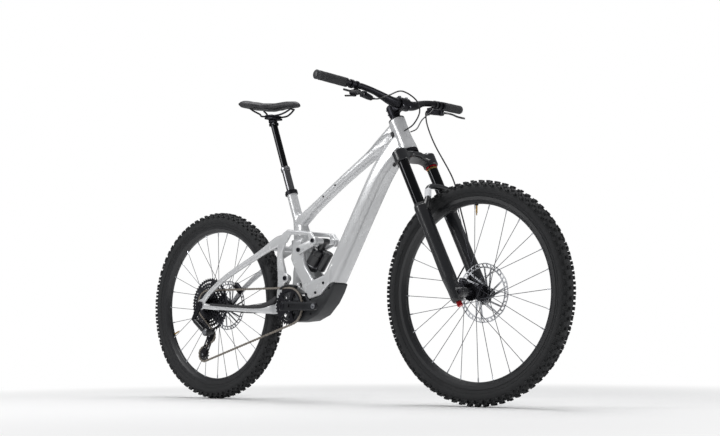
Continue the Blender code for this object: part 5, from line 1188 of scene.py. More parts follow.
@dataclass
class Swingarm:
    """The rear triangle with its stays, yoke, bridge and dropouts."""

    arm_inner: float = 0.054
    arm_outer: float = 0.066
    lug_inner: float = 0.0345
    lug_outer: float = 0.0470
    dropout_inner: float = 0.0743
    dropout_face: float = DROPOUT_FACE
    bridge: Point = (-0.262, 0.575)
    voxel: float = 0.0021
    melt_rounds: int = 5

    def build(self) -> None:
        """Builds the swingarm, its pivots, guard and axle."""
        side = self.half()
        other = mirrored(side, "swingarm_other")
        bridge = cross_rod("bridge", self.bridge, -0.0585, 0.0585, 0.0110, 40)
        arm = melted("swingarm", [side, other, bridge], self.voxel, self.melt_rounds)
        carved(arm, cross_rod("axle_room", REAR_AXLE, -0.12, 0.12, 0.0064, 32),
               cross_rod("pivot_room", SWING_PIVOT, -0.055, 0.055, 0.0064, 32))
        dress(arm, PEARL_PAINT, "swingarm", "swingarm", sharp=58.0)
        bolt_pair("shock_bolt", SHOCK_PIVOT, self.arm_outer - 0.0002, 0.0078, "swingarm")
        bolt_pair("swing_bolt", SWING_PIVOT, self.lug_outer - 0.0002, 0.0085, "swingarm")
        self.guard()
        self.axle()

    def half(self) -> Piece:
        """The left side of the rear triangle.

        Returns:
            The side in one mesh, not yet melted.
        """
        end = arc(SHOCK_PIVOT, 0.0165, 62, -150, 18)
        top = [(-0.160, 0.6185), (-0.182, 0.590), (-0.215, 0.578), (-0.240, 0.590), (-0.196, 0.6285),
               (-0.174, 0.639), (-0.050, 0.6215)]
        arm = plate("arm", [end + [(-0.072, 0.6105)] + top], self.arm_inner, self.arm_outer, 0.0035, 3)
        stay = beam("stay", [(-0.185, 0.607, 0.060, 0.030, 0.012), (-0.235, 0.5955, 0.0600, 0.040, 0.012),
                             (-0.330, 0.554, 0.0615, 0.027, 0.013), (-0.500, 0.4780, 0.0725, 0.022, 0.014),
                             (-0.600, 0.4150, 0.0790, 0.022, 0.0125),
                             (-0.6425, 0.3725, 0.0803, 0.024, 0.012)], 3.0, 28, 12)
        chain_stay = beam("chain_stay", [(-0.6425, 0.3725, 0.0803, 0.026, 0.012),
                                         (-0.600, 0.3620, 0.0790, 0.022, 0.0125),
                                         (-0.400, 0.3460, 0.0665, 0.024, 0.014),
                                         (-0.320, 0.3430, 0.0605, 0.028, 0.013),
                                         (-0.276, 0.3430, 0.0530, 0.036, 0.012),
                                         (-0.259, 0.3440, 0.0425, 0.040, 0.010),
                                         (-0.250, 0.3460, 0.0390, 0.040, 0.010)], 3.0, 28, 12)
        dropout = plate("dropout", [circle(REAR_AXLE, 0.0215, 48)], self.dropout_inner,
                        self.dropout_face, 0.002, 2)
        lug = cross_rod("swing_lug", SWING_PIVOT, self.lug_inner, self.lug_outer, 0.0175, 48, 0.0015)
        spine = [(-0.208, 0.590, 0.0600, 0.044, 0.0120), (-0.219, 0.555, 0.0570, 0.030, 0.0125),
                 (-0.226, 0.520, 0.0490, 0.036, 0.0130), (-0.227, 0.490, 0.0425, 0.042, 0.0140),
                 (-0.2255, 0.458, 0.0410, 0.046, 0.0130), (-0.236, 0.420, 0.0392, 0.034, 0.0100),
                 (-0.2445, 0.380, 0.0390, 0.026, 0.0098), (-0.2475, 0.340, 0.0390, 0.026, 0.0098)]
        yoke = beam("yoke", spine, 3.2, 28, 10)
        return joined("swing_side", [arm, stay, chain_stay, dropout, lug, yoke])

    def guard(self) -> None:
        """Ribbed rubber guard over the right chainstay and up its yoke, and the strip below the stay."""
        line = [(-0.590, 0.3700, -0.0783, 0.0100, 0.0150), (-0.500, 0.3625, -0.0733, 0.0110, 0.0160),
                (-0.400, 0.3555, -0.0668, 0.0125, 0.0170), (-0.335, 0.3540, -0.0618, 0.0170, 0.0160),
                (-0.300, 0.3580, -0.0572, 0.0210, 0.0155), (-0.276, 0.3680, -0.0515, 0.0220, 0.0155),
                (-0.262, 0.3790, -0.0455, 0.0190, 0.0140), (-0.255, 0.3890, -0.0430, 0.0150, 0.0135)]
        stations = []
        for k in range(81):
            x, z, y, depth, width = sampled(line, k / 80)
            stations.append((x, z, y, depth + (0.0014 if k % 2 else 0.0), width))
        upper = beam("chainstay_guard", stations, 3.2, 24, 2)
        lower = beam("strip", [(-0.545, 0.3472, -0.0757, 0.0030, 0.0125),
                               (-0.460, 0.3400, -0.0706, 0.0036, 0.0135),
                               (-0.400, 0.3338, -0.0666, 0.0036, 0.0135),
                               (-0.345, 0.3310, -0.0626, 0.0030, 0.0120)], 3.0, 20)
        dress(joined("chainstay_guard", [upper, lower]), GUARD_RUBBER, "swingarm")

    def axle(self) -> None:
        """Through axle with its head."""
        face = self.dropout_face
        end = face + DROPOUT_GAP + 0.0075
        shaft = cross_rod("rear_axle", REAR_AXLE, -end, face, 0.006, 40, 0.0006)
        head = [(0.0, face + 0.003), (0.0035, face + 0.003), (0.0040, face + 0.0060), (0.0085, face + 0.0060),
                (0.0095, face + 0.0048), (0.0095, face + DROPOUT_GAP), (0.0, face + DROPOUT_GAP)]
        dress(joined("rear_axle", [shaft, across("axle_head", head, REAR_AXLE, 48)]),
              BLACK_ANODISED, "swingarm", "rear_axle")


@dataclass
class ShockAndLinks:
    """The lower link, upper link and the shock between them."""

    pin_radius: float = 0.006
    can_radius: float = 0.0265
    can_start: float = 0.078
    can_length: float = 0.088
    boss: float = 0.0168

    def build(self) -> None:
        """Builds both links and the two halves of the shock."""
        self.lower_link()
        self.upper_link()
        self.shaft()
        self.can()

    def lower_link(self) -> None:
        """Two curved plates with a cross bar and pins."""
        inner, outer = 0.0246, 0.0336
        outline = arc(LOWER_PIVOT, 0.0135, 170, 370, 20) + [(-0.222, 0.405)]
        outline += arc(SWING_PIVOT, 0.0135, -60, 160, 20)
        outline += [shifted(SWING_PIVOT, (-0.022, -0.036)), shifted(LOWER_PIVOT, (-0.016, 0.058))]
        pieces = [plate("lower_link", [outline], low, low + outer - inner, 0.0018, 3)
                  for low in (inner, -outer)]
        pieces.append(cross_rod("bar", (-0.243, 0.405), -inner - 0.002, inner + 0.002, 0.0075, 32))
        pieces.append(cross_rod("pin", LOWER_PIVOT, -inner - 0.002, inner + 0.002, self.pin_radius, 32))
        for side in (-1, 1):
            pieces.append(cross_rod("stud", SWING_PIVOT, side * (outer - 0.002), side * 0.0465,
                                    self.pin_radius, 32))
        dress(joined("lower_link", pieces), PEARL_PAINT, "lower_link", "lower_link")

    def upper_link(self) -> None:
        """Two forged plates with a cross bar and the bosses beside the shock's eye."""
        inner, outer = 0.0406, 0.0516
        outline = tongue(UPPER_PIVOT, SHOCK_PIVOT, 0.0165, 0.0140, 24)
        pieces = [plate("upper_link", [outline], low, low + outer - inner, 0.0018, 3)
                  for low in (inner, -outer)]
        pieces.append(cross_rod("bar", shifted(UPPER_PIVOT, (0.036, 0.024)), -inner - 0.002, inner + 0.002,
                                0.0075, 32))
        pieces.append(cross_rod("pin", UPPER_PIVOT, -inner - 0.002, inner + 0.002, self.pin_radius, 32))
        for side in (-1, 1):
            pieces.append(cross_rod("boss", SHOCK_PIVOT, side * self.boss,
                                    side * (inner + 0.002), 0.0115, 40))
        dress(joined("upper_link", pieces), PEARL_PAINT, "upper_link", "upper_link")

    def shaft(self) -> None:
        """Polished shaft with its eye."""
        half = 0.0151
        eye = across("shock_shaft", [(0.0064, -half), (0.0100, -half), (0.0115, -half + 0.0015),
                                     (0.0115, half - 0.0015), (0.0100, half), (0.0064, half)],
                     SHOCK_FOOT, 48, True)
        dress(eye, BLACK_ANODISED, "shock_shaft", "shock_shaft")
        rod_body = rod("shock_rod", at(on_shock(0.010)), at(on_shock(0.120)), 0.0065, 40)
        dress(rod_body, SLIDER_COATING, "shock_shaft")
        stop = rod("shock_stop", at(on_shock(0.0180)), at(on_shock(0.0240)), 0.0105, 40, None, 0.0012)
        dress(stop, GUARD_RUBBER, "shock_shaft")

    def can(self) -> None:
        """Air can with its rings, upper eye, reservoir and adjusters."""
        length = distance(SHOCK_FOOT, SHOCK_PIVOT)
        low, radius = self.can_start, self.can_radius
        top = low + self.can_length
        bore = 0.0069
        profile = [(bore, low), (radius - 0.0060, low), (radius - 0.0045, low + 0.0015),
                   (radius - 0.0012, low + 0.0018), (radius, low + 0.0032), (radius, low + 0.0130),
                   (radius - 0.0012, low + 0.0138), (radius - 0.0012, low + 0.0152), (radius, low + 0.0160),
                   (radius, top - 0.0240), (radius - 0.0014, top - 0.0230), (radius - 0.0014, top - 0.0210),
                   (radius, top - 0.0200), (radius, top - 0.0050), (radius - 0.0015, top - 0.0022),
                   (radius - 0.0060, top), (0.0145, top), (0.0135, top + 0.0012), (0.0135, length),
                   (0.0, length), (0.0, length - 0.036), (bore, length - 0.036)]
        can = turned("shock_body", profile, at(SHOCK_FOOT), at(on_shock(1.0)) - at(SHOCK_FOOT), 72, True)
        eye = cross_rod("shock_eye", SHOCK_PIVOT, -self.boss + 0.0008, self.boss - 0.0008, 0.0125, 44, 0.001)
        start, end = length - 0.098, length - 0.020
        tank = [(0.0, start), (0.0120, start), (0.0150, start + 0.0020), (0.0165, start + 0.0050),
                (0.0165, end - 0.012), (0.0156, end - 0.0112), (0.0156, end - 0.0098), (0.0165, end - 0.009),
                (0.0165, end - 0.002), (0.0145, end), (0.0, end)]
        side = at(on_shock(0.0, 0.0455))
        reservoir = turned("reservoir", tank, side, at(on_shock(1.0)) - at(SHOCK_FOOT), 56)
        lean = math.atan2(SHOCK_PIVOT[0] - SHOCK_FOOT[0], SHOCK_PIVOT[1] - SHOCK_FOOT[1])
        neck = block("neck", at(on_shock(length - 0.030, 0.026)), (0.044, 0.020, 0.016),
                     Matrix.Rotation(lean, 4, "Y"), 0.004)
        dress(joined("shock_body", [can, eye, reservoir, neck]), BLACK_ENAMEL, "shock_body", "shock_body")
        ring = turned("shock_mark", [(radius - 0.001, low + 0.0205), (radius + 0.0003, low + 0.0205),
                                     (radius + 0.0003, low + 0.0220), (radius - 0.001, low + 0.0220)],
                      at(SHOCK_FOOT), at(on_shock(1.0)) - at(SHOCK_FOOT), 72, True)
        dress(ring, BRIGHT_RING, "shock_body")
        dial = cross_rod("shock_dial", on_shock(length - 0.030, 0.030), 0.0100, 0.0142, 0.0070, 40, 0.0008)
        dress(dial, RED_ANODISED, "shock_body")


@dataclass
class Fork:
    """Crown, sliders, lower legs with arch, axle and adjusters. Drawn along the steering axis."""

    spacing: float = 0.155
    slider_radius: float = 0.019
    offset: float = 0.0115
    slider_top: float = 0.5477
    slider_low: float = 0.200
    leg_radius: float = 0.0245
    leg_top: float = 0.3367
    leg_bottom: float = -0.0245
    foot_outer: float = 0.0925
    crown_bottom: float = 0.512
    crown_top: float = 0.560

    def build(self) -> None:
        """Builds the fork's pieces."""
        self.crown()
        for word, side in SIDES:
            self.slider(word, side)
        self.lowers()
        self.axle()
        self.small()

    def place(self, side: int) -> Point:
        """Where a leg stands: forward of the steering axis and to its side."""
        return (self.offset, side * self.spacing / 2)

    def on_leg(self, name: str, side: int, profile: Sequence[Point], closed: bool = True) -> Piece:
        """Spins a profile of (radius, height) points about a leg, still along the steering axis."""
        return turned(name, profile, Vector((*self.place(side), 0.0)), UP, 56, closed)

    def crown(self) -> None:
        """Forged crown that blends into the clamps of the sliders, and the steerer tube."""
        arms = swept("crown", [(0.0115, -0.0775, 0.534, 0.050, 0.040), (0.007, -0.045, 0.5435, 0.044, 0.031),
                               (0.004, -0.020, 0.547, 0.058, 0.025), (0.004, 0.020, 0.547, 0.058, 0.025),
                               (0.007, 0.045, 0.5435, 0.044, 0.031), (0.0115, 0.0775, 0.534, 0.050, 0.040)],
                     UP, 3.0, 32, 10)
        pieces = [arms]
        for side in (-1, 1):
            x, y = self.place(side)
            pieces.append(rod("clamp", Vector((x, y, self.crown_bottom)),
                              Vector((x, y, self.crown_top - 0.003)), self.slider_radius + 0.0075,
                              48, None, 0.003))
        skin = melted("crown", pieces, 0.0018, 5)
        for side in (-1, 1):
            x, y = self.place(side)
            carved(skin, rod("socket", Vector((x, y, 0.46)), Vector((x, y, self.slider_top + 0.0005)),
                             self.slider_radius + 0.0003, 48))
        steerer = rod("steerer", Vector((0, 0, 0.540)), Vector((0, 0, 0.758)), 0.0143, 40)
        dress(steered(joined("crown", [skin, steerer])), BLACK_ENAMEL, "steering", "crown", sharp=50.0)

    def slider(self, word: str, side: int) -> None:
        """One polished slider tube and the rubber ring on it.

        Args:
            word: The side's name.
            side: -1 for the right, 1 for the left.
        """
        x, y = self.place(side)
        tube = rod("stanchion_" + word, Vector((x, y, self.slider_low)), Vector((x, y, self.slider_top)),
                   self.slider_radius, 64)
        dress(steered(tube), SLIDER_COATING, "steering", "stanchion_" + word)
        r, low = self.slider_radius, self.leg_top + 0.0066
        ring = self.on_leg("slider_ring_" + word, side, [
            (r + 0.0001, low), (r + 0.0013, low + 0.0004), (r + 0.0013, low + 0.0022),
            (r + 0.0001, low + 0.0026)])
        dress(steered(ring), GUARD_RUBBER, "fork")

    def leg(self, side: int) -> Piece:
        """One lower leg with its taper and wiper seat.

        Args:
            side: -1 for the right, 1 for the left.

        Returns:
            The leg, still along the steering axis.
        """
        r = self.leg_radius
        profile = [(0.0, self.leg_bottom), (0.0150, self.leg_bottom), (0.0185, -0.0205), (0.0210, -0.012),
                   (0.0212, 0.020), (0.0225, 0.038), (r, 0.062), (r - 0.0010, 0.150), (r - 0.0008, 0.270),
                   (r - 0.0002, 0.300), (r, 0.312), (r, self.leg_top - 0.002), (r - 0.002, self.leg_top),
                   (0.0, self.leg_top)]
        return self.on_leg("leg", side, profile, False)

    def lowers(self) -> None:
        """Both lower legs and the arch, cast in one piece."""
        arch = swept("arch", [(0.022, -0.0775, 0.318, 0.020, 0.026), (0.0490, -0.0745, 0.350, 0.017, 0.021),
                              (0.0530, -0.058, 0.384, 0.016, 0.021), (0.0530, -0.030, 0.3955, 0.016, 0.021),
                              (0.0530, 0.030, 0.3955, 0.016, 0.021), (0.0530, 0.058, 0.384, 0.016, 0.021),
                              (0.0490, 0.0745, 0.350, 0.017, 0.021), (0.022, 0.0775, 0.318, 0.020, 0.026)],
                     Vector((1, 0, 0)), 3.0, 28, 10)
        pieces = [arch, self.leg(-1), self.leg(1)]
        for side in (-1, 1):
            inner, outer = 0.0553, self.foot_outer
            low, high = (inner, outer) if side > 0 else (-outer, -inner)
            pieces.append(plate("foot", [tongue((self.offset, 0.004), (FORK_OFFSET, 0.0), 0.016, 0.0155, 20)],
                                low, high, 0.0025, 3))
        pieces.append(block("tab", Vector((-0.0165, 0.0664, 0.062)), (0.029, 0.0162, 0.040), None, 0.003))
        skin = melted("fork_lowers", pieces, 0.0021, 5)
        for side in (-1, 1):
            x, y = self.place(side)
            carved(skin, rod("bore", Vector((x, y, 0.020)), Vector((x, y, 0.40)),
                             self.slider_radius + 0.0008, 56))
        carved(skin, cross_rod("axle_room", (FORK_OFFSET, 0.0), -0.2, 0.2, 0.0079, 36))
        dress(steered(skin), BLACK_ENAMEL, "fork", "fork_lowers", sharp=50.0)
        for word, side in SIDES:
            r, outer, top = self.slider_radius, self.leg_radius - 0.0012, self.leg_top
            seal = self.on_leg("wiper_" + word, side, [
                (r + 0.0009, top - 0.004), (outer, top - 0.004), (outer, top + 0.0025),
                (r + 0.0022, top + 0.0062), (r + 0.0009, top + 0.0062)])
            dress(steered(seal), GUARD_RUBBER, "fork")

    def axle(self) -> None:
        """Through axle of the front wheel with its flat head."""
        outer = self.foot_outer
        shaft = cross_rod("front_axle", FRONT_AXLE, -outer + 0.002, outer, 0.0075, 40, 0.0006)
        head = [(0.0, outer + 0.0030), (0.0038, outer + 0.0030), (0.0042, outer + 0.0060),
                (0.0085, outer + 0.0060), (0.0095, outer + 0.0045), (0.0095, outer + 0.0003),
                (0.0, outer + 0.0003)]
        dress(joined("front_axle", [shaft, across("axle_head", head, FRONT_AXLE, 48)]),
              BLACK_ANODISED, "fork", "front_axle")

    def small(self) -> None:
        """Rebound knob, dials on the crown, the marks on the left leg and the painted highlight on the arch.
        """
        x, y = self.place(-1)
        low, high = self.leg_bottom - 0.0143, self.leg_bottom - 0.0003
        teeth = [(0.0095 - (0.0007 if k % 2 else 0.0)) for k in range(36)]
        outline = [polar((0.0, 0.0), r, 2 * math.pi * k / 36) for k, r in enumerate(teeth)]
        knob = plate("rebound_knob", [outline], low, high)
        moved(knob, Matrix.Translation((x, y, 0)) @ Matrix.Rotation(math.pi / 2, 4, "X"))
        dress(steered(outward(knob)), RED_ANODISED, "knob", "rebound_knob")
        r = self.slider_radius
        for word, side in SIDES:
            rim = [(0.0, 0.5572), (r - 0.0015, 0.5572), (r - 0.0005, 0.5588), (r - 0.004, 0.5612),
                   (0.012, 0.5612), (0.0115, 0.5655), (0.0, 0.5655)]
            dress(steered(self.on_leg("crown_cap_" + word, side, rim, False)), BLACK_ANODISED, "steering")
            ring = [(r - 0.0042, 0.5606), (r - 0.0026, 0.5606), (r - 0.0030, 0.5622), (r - 0.0042, 0.5622)]
            dress(steered(self.on_leg("crown_dial_ring_" + word, side, ring)), BRIGHT_RING, "steering")
        for name, low, high, proud, finish in (("slider_red_ring", 0.5068, 0.5112, 0.0022, RED_ANODISED),
                                               ("slider_gold_mark", 0.4985, 0.5040, 0.00025, GOLD_MARK)):
            ring = [(r, low), (r + proud * 0.8, low), (r + proud, low + 0.0005), (r + proud, high - 0.0005),
                    (r + proud * 0.8, high), (r, high)]
            dress(steered(self.on_leg(name, 1, ring)), finish, "steering")
        # Pale piece on the arch's shoulder: painted highlight
        highlight_piece = swept("arch_patch", [(0.0500, -0.0745, 0.3500, 0.0184, 0.0222),
                                     (0.0518, -0.0690, 0.3640, 0.0184, 0.0222),
                                     (0.0530, -0.0618, 0.3780, 0.0184, 0.0222)],
                      Vector((1, 0, 0)), 3.0, 36, 8)
        dress(steered(highlight_piece), PAINTED_ARCH_HIGHLIGHT, "fork")


def pitch_radius(teeth: int) -> float:
    """Radius at which the chain's pins lie on a sprocket."""
    return CHAIN_PITCH / 2 / math.sin(math.pi / teeth)


def toothed(centre: Point, teeth: int, tip: float = 0.0033, root: float = -0.0038,
            start: float = 0.0) -> list[Point]:
    """Outline of a sprocket: a rounded tooth and a seat for the chain's roller per pitch.

    Args:
        centre: Middle of the sprocket.
        teeth: Their number.
        tip: Height of a tooth over the pins.
        root: Height of a seat over the pins.
        start: Turn of the first tooth.

    Returns:
        The points of the outline.
    """
    radius = pitch_radius(teeth)
    shape = [(0.00, root), (0.10, root + 0.0004), (0.22, root + 0.0026), (0.33, -0.0004),
             (0.42, tip - 0.0006), (0.50, tip), (0.58, tip - 0.0006), (0.67, -0.0004), (0.78, root + 0.0026),
             (0.90, root + 0.0004)]
    points = []
    for k in range(teeth):
        for share, lift in shape:
            turn = start + 2 * math.pi * (k + share) / teeth
            points.append(polar(centre, radius + lift, turn))
    return points


def belt(wheels: Sequence[tuple[Point, float, int]]) -> list[Point]:
    """Dense closed line of a belt round wheels of (centre, radius, turn).

    Args:
        wheels: Rows of (centre, radius, turn), turn 1 or -1 for the side that the belt touches.

    Returns:
        The points of the line.
    """
    touches = []
    for k, (centre, radius, turn) in enumerate(wheels):
        after, after_radius, after_turn = wheels[(k + 1) % len(wheels)]
        gap = distance(centre, after)
        along = ((after[0] - centre[0]) / gap, (after[1] - centre[1]) / gap)
        lift = (after_turn * after_radius - turn * radius) / gap
        hold = math.sqrt(1 - lift * lift)
        right = (lift * along[0] + hold * along[1], lift * along[1] - hold * along[0])
        touches.append((math.atan2(-turn * right[1], -turn * right[0]),
                        math.atan2(-after_turn * right[1], -after_turn * right[0])))
    points = []
    for k, (centre, radius, turn) in enumerate(wheels):
        arrive, leave = touches[k - 1][1], touches[k][0]
        sweep = (arrive - leave) % (2 * math.pi) if turn > 0 else (leave - arrive) % (2 * math.pi)
        degrees = math.degrees(arrive)
        points += arc(centre, radius, degrees, degrees - turn * math.degrees(sweep),
                      max(6, round(sweep * 24)))
    return points


def stepped(points: Sequence[Point], count: int) -> list[Point]:
    """Evenly spaced points along a closed line.

    Args:
        points: The closed line.
        count: How many points are wanted.

    Returns:
        The points.
    """
    lengths = [distance(points[k], points[(k + 1) % len(points)]) for k in range(len(points))]
    pitch = sum(lengths) / count
    places, k, walked = [], 0, 0.0
    for j in range(count):
        goal = j * pitch
        while walked + lengths[k] < goal:
            walked += lengths[k]
            k += 1
        share = (goal - walked) / lengths[k]
        places.append(between(points[k], points[(k + 1) % len(points)], share))
    return places


@dataclass
class Wheel:
    """One wheel: knobbly tyre, deep rim, hub with crossed spokes, nipples, valve and brake disc."""

    word: str
    axle: Point
    body: str
    flanges: tuple[float, float]
    hub_profile: Sequence[Point]
    disc_place: float
    valve_turn: float
    knobs: int = 72
    rim_radius: float = 0.3175
    rim_floor: float = 0.3072
    rim_depth: float = 0.0245
    rim_width: float = 0.035
    spokes: int = 28
    crossings: int = 3
    hole_radius: float = 0.026
    disc_radius: float = 0.100

    def build(self) -> None:
        """Builds the pieces of the wheel."""
        self.tyre()
        self.rim()
        self.hub()
        self.disc()

    def radial(self, turn: float, radius: float, y: float) -> Vector:
        """A point at a turn about the axle, at a radius and side place."""
        return at(polar(self.axle, radius, turn), y)

    def tyre(self) -> None:
        """Casing with three kinds of knobs: centre pairs, shoulder blocks and tall side blocks."""
        half = [(0.3090, 0.0142), (0.3140, 0.0150), (0.3190, 0.0166), (0.3260, 0.0215), (0.3345, 0.0258),
                (0.3420, 0.0271), (0.3490, 0.0256), (0.3560, 0.0215), (0.3615, 0.0158), (0.3648, 0.0085),
                (0.3658, 0.0)]
        inner = [(0.3615, 0.0), (0.3580, 0.0115), (0.3480, 0.0195), (0.3400, 0.0217), (0.3300, 0.0190),
                 (0.3190, 0.0125), (0.3090, 0.0104)]
        outline = half + [(r, -y) for r, y in half[-2::-1]]
        inside = [(r, -y) for r, y in inner[::-1]] + inner[1:]
        profile = outline + inside
        casing = across(self.word + "_tyre", profile, self.axle, 144, True)
        pieces = [casing]
        pitch = 2 * math.pi / self.knobs
        middle_long, middle_short = self.knob(0.0130, 0.0102, 0.0070), self.knob(0.0130, 0.0090, 0.0070)
        shoulder = self.knob(0.0128, 0.0092, 0.0078)
        edge_long, edge_short = self.knob(0.0150, 0.0086, 0.0088), self.knob(0.0125, 0.0086, 0.0088)
        for k in range(self.knobs):
            turn, odd = k * pitch, k % 2
            for side in (-1, 1):
                pieces.append(self.knob_at(middle_long if odd else middle_short, turn,
                                           side * (0.0066 if odd else 0.0085), 0.3688, side * 6.0))
                pieces.append(self.knob_at(shoulder, turn + pitch * 0.5, side * 0.0190, 0.3632, side * 33.0))
                pieces.append(self.knob_at(edge_long if odd else edge_short,
                                           turn + pitch * (0.06 if odd else 0.0), side * 0.0268,
                                           0.3560, side * 52.0))
        for model in (middle_long, middle_short, shoulder, edge_long, edge_short):
            dropped(model)
        tyre = joined(self.word + "_tyre", pieces)
        dress(tyre, TYRE_RUBBER, self.body, self.word + "_tyre", sharp=28.0)
        for y in (-0.0235, 0.0235):
            line = across(f"{self.word}_tyre_line_{'right' if y < 0 else 'left'}",
                          [(0.3288, y * 0.985), (0.3297, y * 1.045), (0.3306, y * 1.010)],
                          self.axle, 144, True)
            dress(line, TYRE_RUBBER, self.body)

    def knob(self, length: float, width: float, height: float) -> Piece:
        """One tread block, a cube whose top is drawn in.

        Args:
            length: Length along the tread.
            width: Width across it.
            height: Height.

        Returns:
            The block.
        """
        piece = block("knob", Vector(), (length, width, height), None, 0.0)
        for face in piece.data.polygons:
            face.select = face.normal.z > 0.9
        bpy.ops.object.mode_set(mode="EDIT")
        bpy.ops.mesh.select_mode(type="FACE")
        bpy.ops.transform.resize(value=(0.78, 0.80, 1.0))
        bpy.ops.mesh.select_mode(type="VERT")
        bpy.ops.object.mode_set(mode="OBJECT")
        return piece

    def knob_at(self, model: Piece, turn: float, y: float, radius: float, lean: float) -> Piece:
        """A copy of a tread block, leant to the side and set on the casing.

        Args:
            model: The block.
            turn: Its turn round the axle.
            y: Its side place.
            radius: Its distance from the axle.
            lean: Its lean in degrees.

        Returns:
            The copy.
        """
        spin = Matrix.Rotation(math.pi / 2 - turn, 4, "Y")
        tilt = Matrix.Rotation(-math.radians(lean), 4, "X")
        return copy_of(model, "knob", Matrix.Translation(self.radial(turn, radius, y)) @ spin @ tilt)

    def rim(self) -> None:
        """Rim of a soft wedge section with a hooked edge, and its valve."""
        r, half, floor = self.rim_radius, self.rim_width / 2, self.rim_floor
        low = r - self.rim_depth
        profile = [(r, half - 0.0004), (r - 0.0006, half), (floor - 0.001, half - 0.0004),
                   (floor - 0.0065, half - 0.0042), (low + 0.0020, 0.0088), (low + 0.0004, 0.0074),
                   (low, 0.0060), (low, -0.0060), (low + 0.0004, -0.0074), (low + 0.0020, -0.0088),
                   (floor - 0.0065, 0.0042 - half), (floor - 0.001, 0.0004 - half), (r - 0.0006, -half),
                   (r, 0.0004 - half), (r, 0.0026 - half), (floor, 0.0030 - half), (floor, half - 0.0030),
                   (r, half - 0.0026)]
        dress(across(self.word + "_rim", profile, self.axle, 144, True), RIM_LACQUER, self.body,
              self.word + "_rim")
        turn = math.radians(self.valve_turn)
        way = self.radial(turn, 1.0, 0.0) - self.radial(turn, 0.0, 0.0)
        base = self.radial(turn, low - 0.030, 0.0)
        valve = [(0.0, -0.0075), (0.0016, -0.0075), (0.0018, -0.0068), (0.0018, 0.0), (0.0030, 0.0004),
                 (0.0030, 0.0300), (0.0, 0.0300)]
        dress(turned(self.word + "_valve", valve, base, way, 20), VALVE_BRASS, self.body)
        nut = turned(self.word + "_valve_nut", [(0.0031, 0.0258), (0.0056, 0.0258), (0.0060, 0.0270),
                                                (0.0060, 0.0292), (0.0031, 0.0292)], base, way, 24, True)
        dress(nut, BLACK_ANODISED, self.body)

    def hub(self) -> None:
        """Turned hub with crossed spokes and bright nipples."""
        hub = across(self.word + "_hub", self.hub_profile, self.axle, 64, True)
        dress(hub, BLACK_ANODISED, self.body, self.word + "_hub", sharp=28.0)
        spokes, nipples = [], []
        wire = rod("wire", Vector(), UP, 0.00108, 8)
        nipple = rod("nipple", Vector(), UP, 0.0021, 10, 0.0024)
        tip = self.rim_radius - self.rim_depth
        for k in range(self.spokes):
            side, j = k % 2, k // 2
            lead = 1 if j % 2 == 0 else -1
            outer = 2 * math.pi * k / self.spokes
            inner = outer - lead * 2 * math.pi * self.crossings / (self.spokes / 2)
            flange = self.flanges[side]
            start = self.radial(inner, self.hole_radius, flange + lead * 0.0032)
            end = self.radial(outer, tip - 0.0006, math.copysign(0.004, flange))
            way = (end - start).normalized()
            spokes.append(laid(wire, "spoke", start, end - way * 0.010))
            spokes.append(laid(wire, "elbow", self.radial(inner, self.hole_radius, flange - lead * 0.0034),
                               start))
            nipples.append(laid(nipple, "nipple", end - way * 0.0135, end))
        dropped(wire)
        dropped(nipple)
        dress(joined(self.word + "_spokes", spokes), SPOKE_STEEL, self.body)
        dress(joined(self.word + "_nipples", nipples), NIPPLE_PLATE, self.body)

    def disc(self) -> None:
        """Brake disc: a pierced ring on slanted arms, with six bolts."""
        y, half = self.disc_place, 0.0009
        outline = []
        for k in range(144):
            turn = 2 * math.pi * k / 144
            radius = self.disc_radius - (0.0011 if k % 12 < 6 else 0.0)
            outline.append(polar(self.axle, radius, turn))
        holes = [circle(self.axle, 0.0835, 96)]
        for k in range(36):
            holes.append(arc(self.axle, 0.0880, 10 * k, 10 * k + 6.8, 4)
                         + arc(self.axle, 0.0958, 10 * k + 9.3, 10 * k + 2.5, 4))
        ring = plate(self.word + "_rotor", [outline] + holes, y - half, y + half)
        spider = [circle(self.axle, 0.0295, 72), circle(self.axle, 0.0180, 48)]
        for k in range(6):
            turn = 2 * math.pi * (k + 0.5) / 6
            spider.append(circle(polar(self.axle, 0.0245, turn), 0.0022, 12))
        boss = plate("boss", spider, y - half, y + half)
        arms = []
        for k in range(12):
            inner = 2 * math.pi * k / 12
            outer = inner + math.radians(38 if k % 2 else 26)
            start, end = polar(self.axle, 0.0285, inner), polar(self.axle, 0.0850, outer)
            arms.append(plate("arm", [tongue(start, end, 0.0034, 0.0027, 6)], y - half * 0.94,
                              y + half * 0.94))
        dress(joined(self.word + "_rotor", [ring, boss] + arms), DISC_STEEL, self.body, self.word + "_rotor",
              sharp=28.0)
        for k in range(6):
            turn = 2 * math.pi * k / 6
            place = self.radial(turn, 0.0235, y + half)
            bolt_head(f"{self.word}_rotor_bolt_{k + 1}", place, Vector((0, 1, 0)), 0.0038, self.body)


